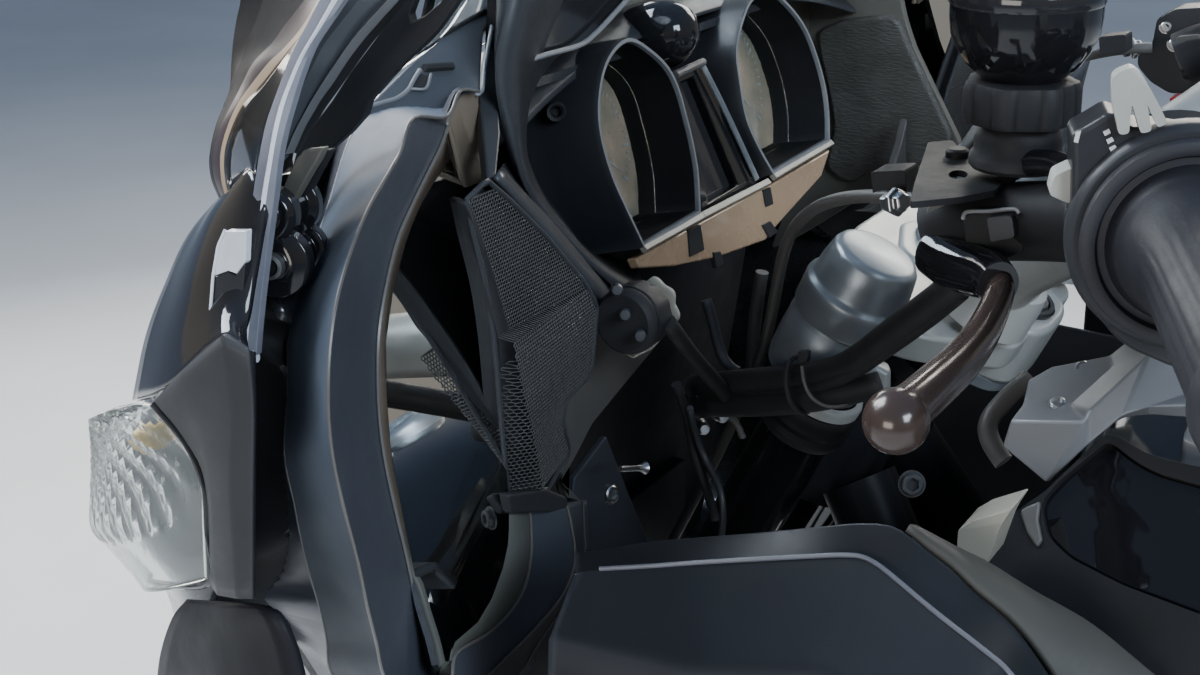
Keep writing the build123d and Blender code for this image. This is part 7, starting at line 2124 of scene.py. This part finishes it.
# sump ribs and drain plug
for k in range(9):
    y = -.080 + .020 * k
    prism(f"sump_rib_{k}", xz(((-.060, .2455), (.285, .2455), (.270, .2370), (-.045, .2370)), y - .0015), (0, .003, 0), "engine", bev=0.0008, slot="engine_paint")
lathe("drain_plug", [(0, -.006), (.009, -.006), (.0095, -.002), (.0125, -.001), (.0125, .002)], (.12, .045, .2455), (0, 0, 1), "steel", segs=6, slot="steel", bev=.0005)
for s, tag in ((1, "left"), (-1, "right")):
    # crankcase side, belt of ribs, bolts
    prism(f"crankcase_side_{tag}", rounded(xz(((-.070, .262), (.290, .262), (.318, .300), (.318, .545), (.285, .556), (-.070, .556)), s * .1045), .020, 5), (0, s * .0045, 0), "engine",
          bev=.0018, slot="engine_paint")
    bolts(f"crankcase_bolts_{tag}", [(Vector((x, s * .109, z)), Vector((0, s, 0)), .0046, .004) for x, z in ((-.055, .275), (.08, .272), (.275, .275), (.305, .42), (.300, .535), (.19, .542),
                                                                                                    (.03, .542), (-.055, .540), (-.055, .41))], "steel", slot="steel")
    for k in range(5):
        prism(f"crankcase_rib_{k}_{tag}", xz(((-.050 + .026 * k, .300), (-.046 + .026 * k, .300), (-.046 + .026 * k, .520), (-.050 + .026 * k, .520)), s * .1085), (0, s * .0035, 0),
              "engine", bev=.001, slot="engine_paint")
    # gearbox side
    prism(f"gearbox_side_{tag}", rounded(xz(((-.240, .310), (-.086, .310), (-.086, .470), (-.205, .470), (-.240, .440)), s * .0915), .014, 5), (0, s * .005, 0), "engine", bev=.002,
          slot="engine_paint")
    bolts(f"gearbox_bolts_{tag}", [(Vector((x, s * .0965, z)), Vector((0, s, 0)), .0044, .0036) for x, z in ((-.228, .320), (-.160, .318), (-.098, .320), (-.098, .460), (-.198, .460),
                                                                                                 (-.230, .430))], "steel", slot="steel")
    # cylinder: core, fins, head, cover
    co = rounded(xz(((.118, .374), (.254, .374), (.254, .492), (.118, .492)), s * .100), .028, 6)
    prism(f"cylinder_core_{tag}", co, (0, s * .140, 0), "engine", bev=0, slot="engine_paint")
    for k in range(10):
        y = s * (.118 + .0118 * k)
        g = .004 * math.sin(math.pi * k / 9)
        fo = rounded(xz(((.108 - g, .366), (.264 + g, .366), (.264 + g, .500), (.108 - g, .500)), y), .020, 6)
        prism(f"cylinder_fin_{k}_{tag}", fo, (0, s * .0030, 0), "engine", bev=.0009, node="cylinder_heads" if (k == 0 and s == 1) else None, slot="engine_paint")
    ho = rounded(xz(((.106, .363), (.266, .363), (.267, .430), (.262, .502), (.110, .502), (.105, .430)), s * .238), .020, 6)
    prism(f"cylinder_head_{tag}", ho, (0, s * .082, 0), "engine", bev=.004, segs=3, slot="engine_paint")
    for k in range(4):
        z = .388 + .026 * k
        prism(f"head_rib_{k}_{tag}", [Vector((.104, s * .248, z)), Vector((.269, s * .248, z)), Vector((.269, s * .312, z)), Vector((.104, s * .312, z))], (0, 0, .004), "engine",
              bev=.0012, slot="engine_paint")
    rows = []
    for y, k, kz in ((.3185, 1.0, 1.0), (.334, 1.0, 1.0), (.348, .985, .97), (.360, .94, .90), (.369, .84, .78), (.3745, .62, .52), (.376, .3, .25)):
        base = rounded(xz(((.111, .368), (.261, .368), (.262, .432), (.256, .498), (.116, .498), (.110, .432)), 0), .030, 7)
        rows.append([Vector((.186 + (p.x - .186) * k, s * y, .434 + (p.z - .434) * kz)) for p in base])
    grid(f"valve_cover_{tag}", rows, "engine", close_u=True, caps=True, slot="engine_paint", sharp=0)
    prism(f"valve_cover_gasket_{tag}", rounded(xz(((.109, .366), (.263, .366), (.264, .432), (.258, .500), (.114, .500), (.108, .432)), s * .3160), .028, 6), (0, s * .0035, 0),
          "matt", bev=.0006, slot="black_plastic")
    prism(f"valve_cover_band_{tag}", rounded(xz(((.128, .424), (.244, .424), (.244, .444), (.128, .444)), s * .366), .008, 4), (0, s * .0095, 0), "silver", bev=.002, segs=3,
          slot="silver_alloy")
    bolts(f"valve_cover_bolts_{tag}", [(Vector((.140, s * .3755, .434)), Vector((0, s, 0)), .0062, .0035), (Vector((.232, s * .3755, .434)), Vector((0, s, 0)), .0062, .0035)],
          "steel", slot="steel")
    lathe(f"plug_cap_{tag}", [(0, .0020), (.010, .0020), (.0135, .0005), (.0145, -.004), (.0145, -.02)], (.1045, s * .285, .434), (-1, 0, 0), "matt", segs=40, slot="black_plastic")
    # intake: throttle body and boots
    tube(f"intake_{tag}", [(.152, s * .262, .500), (.142, s * .240, .535), (.118, s * .190, .575), (.085, s * .130, .604), (.060, s * .095, .622)], .0235, "rubber", n=24, segs=32,
         slot="rubber")
    lathe(f"throttle_body_{tag}", [(.0238, -.026), (.0290, -.025), (.0300, -.020), (.0300, .020), (.0290, .025), (.0238, .026)], (.132, s * .216, .555), (-.35, -.75 * s, .55), "silver",
          segs=48, slot="silver_alloy", closed=True)
    for k, (q, d) in enumerate((((.148, s * .254, .516), (-.15, -.5 * s, .8)), ((.106, s * .166, .588), (-.4, -.8 * s, .45)))):
        lathe(f"intake_clamp_{k}_{tag}", [(.0236, -.0045), (.0262, -.0045), (.0262, .0045), (.0236, .0045)], q, d, "steel", segs=40, slot="steel", closed=True)
    # pedals and pegs
    tube(f"peg_bar_{tag}", [(-.060, s * .100, .350), (-.060, s * .258, .350)], .0112, "dark_steel", segs=24, node="foot_rests" if s == 1 else None, slot="black_metal", bev=.0015)
    prism(f"peg_rubber_{tag}", rounded([Vector((-.079, s * .164, .3465)), Vector((-.041, s * .164, .3465)), Vector((-.041, s * .262, .3465)), Vector((-.079, s * .262, .3465))], .006, 4),
          (0, 0, .0135), "rubber", bev=.003, segs=3, slot="rubber")
    for k in range(9):
        prism(f"peg_tread_{k}_{tag}", [Vector((-.0765, s * (.170 + .0098 * k), .3597)), Vector((-.0435, s * (.170 + .0098 * k), .3597)), Vector((-.0435, s * (.1745 + .0098 * k), .3597)),
                                       Vector((-.0765, s * (.1745 + .0098 * k), .3597))], (0, 0, .0022), "rubber", bev=.0008, slot="rubber")
    tube(f"pedal_{tag}", [(-.020, s * .100, .318), (-.018, s * .128, .318), (.020, s * .150, .322), (.066, s * .168, .330)], .0062, "steel", n=20, segs=18, slot="steel")
    lathe(f"pedal_pad_{tag}", [(0, .024), (.0075, .024), (.0085, .022), (.0085, -.022), (.0075, -.024), (0, -.024)], (.070, s * .180, .331), (0.1, s, 0), "rubber", segs=28,
          shape=lambda g, r, t: 1 + .05 * math.cos(10 * g), slot="rubber")
    # passenger pegs' sleeves
    prof = [(.0122, .0)] + [(.0150 + (.0010 if k % 2 else -.0006), .004 + .0058 * k) for k in range(15)] + [(.0122, .092)]
    lathe(f"passenger_peg_sleeve_{tag}", prof, (-.332, s * .158, .470), (0, s, 0), "rubber", segs=40, slot="rubber", closed=True)
# air box, battery and starter between the rails
prism("air_box", rounded([Vector((x, -.084, z)) for x, z in ((.010, .622), (.235, .622), (.262, .660), (.250, .762), (.020, .762), (-.010, .700))], .018, 5), (0, .168, 0), "matt", bev=.006,
      segs=3, slot="black_plastic")
for k in range(6):
    prism(f"air_box_rib_{k}", [Vector((.030 + .036 * k, -.0855, .640)), Vector((.034 + .036 * k, -.0855, .640)), Vector((.034 + .036 * k, -.0855, .750)), Vector((.030 + .036 * k, -.0855, .750))],
          (0, .171, 0), "matt", bev=.001, slot="black_plastic")
prism("battery_tray", rounded([Vector((x, -.072, z)) for x, z in ((-.170, .612), (-.030, .612), (-.030, .740), (-.170, .740))], .006, 3), (0, .144, 0), "satin", bev=.003,
      slot="black_plastic")
lathe("starter_motor", [(0, .075), (.026, .075), (.031, .070), (.032, .060), (.032, -.050), (.028, -.060), (.022, -.070), (.010, -.075), (0, -.075)], (.020, .046, .585), (1, 0, 0), "dark_steel",
      segs=44, slot="black_metal")
lathe("gearbox_boot", [(.030, .0)] + [(.033 + (.004 if k % 2 else -.002), .004 + .006 * k) for k in range(6)] + [(.030, .040)], (-.262, -.072, .372), (-.75, -.65, 0), "rubber",
      segs=48, slot="rubber", closed=True)
# final drive cover
lathe("final_drive_cover", [(0, .006), (.024, .006), (.030, .004), (.034, .0045), (.060, .0035), (.074, .0), (.078, -.006), (.078, -.010)], (-.670, -.1615, .345), (0, -1, 0), "engine", segs=72,
      slot="engine_paint", sharp=35)
for k in range(8):
    a = math.radians(45 * k + 10)
    prism(f"final_drive_rib_{k}", [Vector((-.670 + r * math.cos(a + d), -.1640, .345 + r * math.sin(a + d))) for r, d in ((.036, -.05), (.068, -.02), (.068, .02), (.036, .05))], (0, -.0035, 0),
          "engine", bev=.001, slot="engine_paint")
bolts("final_drive_bolts", [(Vector((-.670 + .071 * math.cos(math.radians(60 * k)), -.1625, .345 + .071 * math.sin(math.radians(60 * k)))), Vector((0, -1, 0)), .0048, .0038) for k in range(6)],
      "steel", slot="steel")
lathe("rear_axle_cap", [(0, .004), (.016, .004), (.0185, .002), (.0190, -.003)], (-.670, .0605, .345), (0, 1, 0), "steel", segs=48, slot="steel", sharp=35)

# ------------------------------------------------------------------ exhaust
soften("exhaust", 0.003, 3)
MF, MT = Vector((-.372, .156, .280)), Vector((-.868, .190, .378))
MD = (MT - MF).normalized()
ML = (MT - MF).length
for k, (t, w, r) in enumerate(((.018, .010, .0586), (.150, .014, .0596), (.352, .014, .0596), (ML - .056, .012, .0594))):
    lathe(f"muffler_band_{k}", [(.0578, -w), (r, -w), (r + .0006, -w * .7), (r + .0006, w * .7), (r, w), (.0578, w)], MF + MD * t, MD, "steel" if k in (0, 3) else "dark_steel", segs=72,
          slot="steel", closed=True, sharp=40)
mu, mv, _ = basis(MD)
rows = []
for i in range(26):
    t = .165 + .172 * i / 25
    rows.append([MF + MD * t + (Vector((0, 1, 0)) * math.cos(g) + mu * math.sin(g)) * .0625 for g in (math.radians(-28 + 118 * j / 20) for j in range(21))])
grid("muffler_shield", rows, "satin", thick=.0018, face=(-.6, 1.5, .6), slot="black_metal", sharp=0, bev=.0006)
bolts("muffler_screws", [(MF + MD * t + (Vector((0, 1, 0)) * math.cos(g) + mu * math.sin(g)) * .0626, Vector((0, 1, 0)) * math.cos(g) + mu * math.sin(g), .0044, .0028)
                         for t in (.176, .326) for g in (math.radians(-16), math.radians(76))], "steel", slot="steel")
lathe("muffler_outlet", [(.0235, -.030), (.0235, .010), (.0255, .013), (.0275, .010), (.0275, -.002)], MT, MD, "chrome", segs=56, slot="chrome")
for s, tag in ((1, "left"), (-1, "right")):
    lathe(f"header_flange_{tag}", [(.0195, -.006), (.030, -.006), (.032, -.003), (.032, .004), (.0195, .004)], (.188, s * .255, .352), (0, 0, 1), "steel", segs=40, slot="steel", closed=True)
    bolts(f"header_nuts_{tag}", [(Vector((.188 + dx, s * .255, .3455)), Vector((0, 0, -1)), .005, .006) for dx in (-.026, .026)], "steel", slot="steel")

# ------------------------------------------------------------------ seats: simulated covers over foam
def cushion(name, sections, node, cap, groove_x, inset=.006, sweep=None):
    rows = []
    for x_, h, zb, zt in sections:
        h, zb, zt = h - inset, zb + inset * .6, zt - inset * 1.3
        half = [(0, zb), (h * .7, zb), (h * .92, zb + (zt - zb) * .22), (h, zb + (zt - zb) * .55), (h * .90, zt - (zt - zb) * .12), (h * .55, zt), (0, zt - .004)]
        ring = [Vector((x_, y, z)) for y, z in half] + [Vector((x_, -y, z)) for y, z in reversed(half[1:-1])]
        rows.append(spline(ring, 56, closed=True))
    cols = [spline([r[j] for r in rows], 24) for j in range(56)]
    rows = [[c[i] for c in cols] for i in range(24)]
    ends = []
    for r, d in ((rows[0], -1), (rows[-1], 1)):
        c_ = sum(r, Vector()) / len(r)
        dx = rows[1][0].x - rows[0][0].x
        sg = math.copysign(1, dx) * (-1 if d < 0 else 1)
        ends.append([[c_ + (p - c_) * k + Vector((sg * e, 0, 0)) for p in r] for k, e in ((.94, .004), (.80, .007))])
    rows = [ends[0][1], ends[0][0]] + rows + [ends[1][0], ends[1][1]]
    o = grid(name, rows, "vinyl", close_u=True, caps=True, node=node, slot="seat_vinyl", sharp=0)
    rest = None
    m = o.modifiers.new("remesh", "REMESH")
    m.mode, m.voxel_size = "VOXEL", 0.0055
    bake(o)
    rest = np.empty(len(o.data.vertices) * 3)
    o.data.vertices.foreach_get("co", rest)
    m = o.modifiers.new("cloth", "CLOTH")
    m.settings.quality = 5
    m.settings.mass = 0.3
    m.settings.tension_stiffness = m.settings.compression_stiffness = 22
    m.settings.bending_stiffness = 3
    m.settings.use_pressure = True
    m.settings.uniform_pressure_force = 4.0
    m.settings.effector_weights.gravity = 0.0
    m.collision_settings.use_collision = False
    m.point_cache.frame_start, m.point_cache.frame_end = 1, 20
    sc = bpy.context.scene
    for f in range(1, 21):
        sc.frame_set(f)
    bake(o)
    sc.frame_set(1)
    co = np.empty(len(o.data.vertices) * 3)
    o.data.vertices.foreach_get("co", co)
    d = (co - rest).reshape(-1, 3)
    ln = np.linalg.norm(d, axis=1)
    d *= np.minimum(1.0, cap / np.maximum(ln, 1e-9))[:, None]
    flat = np.clip((rest.reshape(-1, 3)[:, 2] - min(s_[2] for s_ in sections)) / 0.03, 0.15, 1.0)
    d *= flat[:, None]
    co = rest.reshape(-1, 3) + d
    o.data.vertices.foreach_set("co", co.ravel())
    m = o.modifiers.new("sub", "SUBSURF")
    m.levels = m.render_levels = 1
    bake(o)
    # sewn channels pressed into the cover
    co = np.empty(len(o.data.vertices) * 3)
    no = np.empty(len(o.data.vertices) * 3)
    o.data.vertices.foreach_get("co", co)
    o.data.vertices.foreach_get("normal", no)
    co, no = co.reshape(-1, 3), no.reshape(-1, 3)
    top = np.clip((no[:, 2] - 0.25) / 0.4, 0, 1)
    dip = np.zeros(len(co))
    for gx, bow, wid in groove_x:
        dd = np.abs(co[:, 0] - (gx + bow * co[:, 1] ** 2))
        m_ = np.clip(1 - np.abs(co[:, 1]) / wid, 0, 1) ** .5
        dip = np.maximum(dip, 0.0038 * np.exp(-(dd / 0.0042) ** 2) * m_)
    co -= no * (dip * top)[:, None]
    o.data.vertices.foreach_set("co", co.ravel())
    o.data.update()
    o.data.shade_smooth()
    return o


def welt(name, o, pts, r, mat="vinyl", n=70, lift=0.0):
    t_ = bvh(o)
    out = []
    for p in spline(pts, n):
        q, nn, _, _ = t_.find_nearest(p)
        out.append(q + nn * lift)
    for _ in range(3):
        out = [out[0]] + [(a + b * 2 + c) / 4 for a, b, c in zip(out, out[1:], out[2:])] + [out[-1]]
    return tube(name, out, r, mat, segs=10, slot="seat_vinyl")


SR = [(-.288, .150, .800, .862), (-.240, .168, .770, .836), (-.140, .170, .752, .824), (-.030, .140, .750, .822), (.018, .104, .756, .826)]
SP = [(-.640, .120, .820, .884), (-.560, .152, .806, .892), (-.420, .160, .798, .888), (-.290, .152, .790, .880)]
seat_r = cushion("rider_seat_cover", [(x + (.006 if x < -.2 else 0) - (.008 if x > 0 else 0), h, a, b) for x, h, a, b in SR], "rider_seat", .009,
                 [(-.215, -.9, .150), (-.150, -.5, .155), (-.085, -.2, .150), (-.020, 0.0, .125)])
seat_p = cushion("passenger_seat_cover", [(x + (.008 if x < -.6 else 0) - (.010 if x > -.3 else 0), h, a, b) for x, h, a, b in SP], "passenger_seat", .009,
                 [(-.360, .5, .140), (-.440, .2, .145), (-.520, -.3, .135)])
for s, tag in ((1, "left"), (-1, "right")):
    welt(f"rider_seat_welt_{tag}", seat_r, [(.010, s * .060, .826), (-.010, s * .112, .815), (-.060, s * .142, .812), (-.140, s * .158, .808), (-.230, s * .155, .822), (-.280, s * .120, .856)],
         .0019, lift=.0004)
    welt(f"rider_seat_low_welt_{tag}", seat_r, [(.008, s * .100, .790), (-.030, s * .138, .782), (-.140, s * .168, .782), (-.240, s * .165, .800), (-.284, s * .148, .824)], .0016, lift=.0002)
    welt(f"passenger_seat_welt_{tag}", seat_p, [(-.300, s * .090, .884), (-.310, s * .135, .872), (-.420, s * .146, .880), (-.560, s * .140, .884), (-.625, s * .112, .878), (-.634, s * .06, .886)],
         .0019, lift=.0004)

# ------------------------------------------------------------------ tail, rack, lamps
soften("tail_rack", 0.005, 3)
for s, tag in ((1, "left"), (-1, "right")):
    for k, x in enumerate((-.855, -.838)):
        prism(f"rack_pad_{k}_{tag}", rounded([Vector((x, s * y, .8895)) for x, y in ((x, .020), (x + .009, .020), (x + .009, .104), (x, .104))], .003, 3), (0, 0, .0016), "rubber", bev=.0006,
              slot="rubber")
    prism(f"rack_side_pad_{tag}", rounded([Vector((x, s * y, .8895)) for x, y in ((-.800, .091), (-.668, .091), (-.668, .104), (-.800, .104))], .003, 3), (0, 0, .0016), "rubber", bev=.0006,
          slot="rubber")
    bolts(f"rack_bolts_{tag}", [(Vector((x, s * y, .8895)), Vector((0, 0, 1)), .0050, .0028) for x, y in ((-.862, .098), (-.660, .098), (-.662, .020), (-.825, .098))], "steel", slot="steel")
    # painted side panel of the tail
    pts = [Vector((x, s * y, z)) for x, y, z in ((-.860, .088, .832), (-.760, .136, .834), (-.640, .1735, .828), (-.460, .1795, .790), (-.300, .166, .760), (-.300, .160, .744), (-.430, .1775, .764),
                                                (-.620, .1715, .796), (-.760, .135, .810), (-.855, .088, .816))]
    prism(f"tail_side_panel_{tag}", rounded(pts, .008, 3), (0, s * .0035, 0), "paint", bev=.0014, slot="body_paint")
    # lamp: a row of chromed cells behind the lens
    for k in range(6):
        lathe(f"tail_lamp_cell_{k}_{tag}", [(.0, -.001), (.003, .0), (.0072, .0042), (.0080, .0044), (.0080, -.004), (0, -.004)],
              (-.8925, s * (.007 + .0105 * k), .823), (-1, 0, 0), "chrome", segs=20, slot="chrome")
lrows = []
for i in range(13):
    t = i / 12
    z = .8045 + .037 * t
    lrows.append([Vector((-.8955 - .0042 * math.sin(math.pi * t) * (1 - (abs(j - 24) / 24) ** 3) - .0004 * math.cos(j * math.pi / 2), -.0655 + .131 * j / 48, z)) for j in range(49)])
grid("tail_lamp_lens", lrows, "red_lens", thick=.0022, face=(-3, 0, .82), node="tail_lamp", slot="lens_red", sharp=0)
prism("tail_lamp_frame", rounded(yz(((-.070, .8015), (.070, .8015), (.070, .8445), (-.070, .8445)), -.8945), .006, 4), (.010, 0, 0), "matt", bev=.001,
      holes=[rounded(yz(((-.0645, .8055), (.0645, .8055), (.0645, .8405), (-.0645, .8405)), -.8945), .005, 4)], slot="black_plastic")
soften("rear_mudguard", 0.003, 3)
for s, tag in ((1, "left"), (-1, "right")):
    lathe(f"rear_indicator_lens_{tag}", [(0, .0120), (.008, .0112), (.0150, .0085), (.0195, .0040), (.0218, -.0010), (.0222, -.006)], (-.980, s * .165, .700), (-1, 0, 0), "lens", segs=48,
          slot="lens_clear", sharp=0)
    lathe(f"rear_indicator_ring_{tag}", [(.0214, .002), (.0228, .001), (.0232, -.003), (.0230, -.008), (.0214, -.008)], (-.980, s * .165, .700), (-1, 0, 0), "satin", segs=48, closed=True,
          slot="black_plastic")
    lathe(f"rear_indicator_cap_{tag}", [(0, .010), (.010, .009), (.0170, .005), (.0222, -.001), (.0226, -.004)], (-.940, s * .165, .700), (1, 0, 0), "satin", segs=48, slot="black_plastic", sharp=0)
    lathe(f"rear_indicator_bulb_{tag}", [(0, .008), (.005, .006), (.0065, .001), (.0065, -.004)], (-.9805, s * .165, .700), (-1, 0, 0), "amber", segs=24, slot="lens_clear", sharp=0)
bolts("plate_carrier_screws", [(Vector((-1.1152, y, z)), Vector((-1, 0, 0)), .0048, .0022) for y, z in ((-.075, .580), (.075, .580), (-.075, .492), (.075, .492))], "steel", slot="steel")
prism("plate_lamp", rounded([Vector((-1.1130, y, z)) for y, z in ((-.030, .600), (.030, .600), (.026, .617), (-.026, .617))], .004, 3), (.022, 0, 0), "satin", bev=.002, slot="black_plastic")
prism("plate_lamp_lens", [Vector((-1.108, y, .5993)) for y in (-.02, .02)] + [Vector((-1.096, y, .5993)) for y in (.02, -.02)], (0, 0, .002), "clear", bev=.0004, slot="lens_clear")
lathe("rear_reflector", [(0, .0035), (.020, .0035), (.0225, .0025), (.0235, 0), (.0235, -.003)], (-1.0895, 0, .580), (-1, 0, 0.0), "red_lens", segs=48, slot="lens_red", sharp=35)

# ------------------------------------------------------------------ panniers
PAN = [(-.402, .540), (-.430, .790), (-.470, .826), (-.830, .826), (-.872, .780), (-.880, .600), (-.810, .462), (-.470, .462)]
PR = [.045, .045, .03, .03, .045, .05, .05, .05]


def pan(y, k, n=6):
    cx, cz = -.640, .645
    pts = [Vector((x, y, z)) for x, z in PAN]
    return [Vector((cx + (p.x - cx) * k, y, cz + (p.z - cz) * k)) for p in rounded(pts, PR, n)]


for s, tag in ((1, "left"), (-1, "right")):
    # case
    rows = [pan(s * y, k) for y, k in ((.2003, .90), (.2003, .945), (.2030, .962), (.2090, .972), (.230, .990), (.262, .995), (.280, .995), (.2805, .990), (.2835, .990), (.284, .995),
                                       (.2985, .998))]
    o = grid(f"pannier_case_{tag}", rows, "shelf", close_u=True, thick=.004, face=(-.64, s * 3, .5), node="pannier_cases" if s == 1 else None, slot="satin_black_plastic", sharp=24)
    bm = bmesh.new()
    bm.from_mesh(o.data)
    bm.verts.ensure_lookup_table()
    ring = [v for v in bm.verts if v.index < len(rows[0])]
    f = bm.faces.new(ring)
    f.smooth = True
    bmesh.ops.triangulate(bm, faces=[f])
    bmesh.ops.recalc_face_normals(bm, faces=bm.faces)
    c_ = Vector((-.64, s * .27, .645))
    tot = sum(q.normal.dot(q.calc_center_median() - c_) * q.calc_area() for q in bm.faces)
    if tot < 0:
        bmesh.ops.reverse_faces(bm, faces=bm.faces)
    bm.to_mesh(o.data)
    bm.free()
    body = f"{tag}_lid"
    rows = [pan(s * y, k) for y, k in ((.3008, .998), (.316, .998), (.3165, .992), (.3195, .992), (.320, .998), (.345, .995), (.372, .985), (.392, .965), (.410, .930), (.423, .885), (.4305, .835),
                                       (.4345, .78), (.4358, .70), (.4358, .62))]
    o = grid(f"pannier_lid_{tag}", rows, "paint", close_u=True, thick=.004, face=(-.64, s * 3, .645), body=body, node=f"{tag}_pannier_lid", slot="body_paint", sharp=24)
    bm = bmesh.new()
    bm.from_mesh(o.data)
    bm.verts.ensure_lookup_table()
    n_ = len(rows[0])
    ring = [v for v in bm.verts if v.index >= n_ * (len(rows) - 1)]
    f = bm.faces.new(ring)
    bmesh.ops.triangulate(bm, faces=[f])
    bmesh.ops.recalc_face_normals(bm, faces=bm.faces)
    tot = sum(q.normal.dot(q.calc_center_median() - Vector((-.64, s * .36, .645))) * q.calc_area() for q in bm.faces)
    if tot < 0:
        bmesh.ops.reverse_faces(bm, faces=bm.faces)
    bm.to_mesh(o.data)
    bm.free()
    # seal in the split, inlay on the lid, lock plate, lock and handle
    tube(f"pannier_seal_{tag}", pan(s * .2986, .984), .0016, "rubber", closed=True, segs=8, slot="rubber")
    strip = [(-.850, .640), (-.432, .640), (-.436, .662), (-.850, .662)]
    rws = []
    for i in range(9):
        t = i / 8
        x = -.848 + .408 * t
        rws.append([Vector((x, s * (.4366 - .0010), z)) if abs(x + .64) < .13 else None for z in (.640, .662)])
    prism(f"pannier_lid_inlay_{tag}", rounded([Vector((x, s * .4352, z)) for x, z in ((-.770, .600), (-.520, .600), (-.505, .668), (-.530, .700), (-.775, .700), (-.785, .650))], .012, 4),
          (0, s * .0022, 0), "satin", bev=.0010, body=body, slot="satin_black_plastic")
    prism(f"pannier_lock_plate_{tag}", rounded([Vector((x, s * .3025, .8225)) for x in (-.690, -.590)] + [Vector((x, s * .338, .8215)) for x in (-.600, -.680)], .006, 4), (0, 0, .0060), "satin",
          bev=.0018, body=body, slot="satin_black_plastic")
    lathe(f"pannier_lock_{tag}", [(0, .0012), (.0045, .0012), (.0050, .0030), (.0088, .0030), (.0095, .0015), (.0095, -.004)], (-.640, s * .320, .8275), (0, 0, 1), "steel", segs=36,
          body=body, slot="steel", sharp=35)
    tube(f"pannier_handle_{tag}", [(-.710, s * .250, .824), (-.706, s * .252, .833), (-.690, s * .252, .836), (-.590, s * .252, .836), (-.574, s * .252, .833), (-.570, s * .250, .824)], .0062,
         "satin", n=30, segs=16, slot="satin_black_plastic")
    for k, x in enumerate((-.745, -.535)):
        lathe(f"pannier_hinge_{k}_{tag}", [(0, .028), (.0068, .028), (.0075, .026), (.0075, -.026), (.0068, -.028), (0, -.028)], (x, s * .3000, .4550), (1, 0, 0), "dark_steel", segs=28,
              slot="black_metal", sharp=35)
    bolts(f"pannier_mounts_{tag}", [(Vector((x, s * .2000, z)), Vector((0, -s, 0)), .010, .004) for x, z in ((-.760, .770), (-.520, .770), (-.700, .520))], "dark_steel", slot="black_metal")
    lathe(f"pannier_reflector_{tag}", [(0, .002), (.013, .002), (.0155, .001), (.016, -.002)], (-.828, s * .380, .600), (-.96, s * .28, 0), "red_lens", segs=36, body=body, slot="lens_red", sharp=30)

# ------------------------------------------------------------------ stands
soften("centre_stand", 0.002, 3)
soften("side_stand", 0.0025, 3)
for s, tag in ((1, "left"), (-1, "right")):
    lathe(f"centre_stand_collar_{tag}", [(.0145, -.010), (.019, -.010), (.0205, -.008), (.0205, .008), (.019, .010), (.0145, .010)], (-.210, s * .158, .230), (0, 1, 0), "dark_steel",
          segs=36, body="centre_stand", slot="black_metal", closed=True)
tube("centre_stand_tang", [(-.200, .150, .120), (-.190, .172, .105), (-.170, .196, .098), (-.150, .206, .097)], .0065, "dark_steel", n=18, segs=16, body="centre_stand", slot="black_metal")
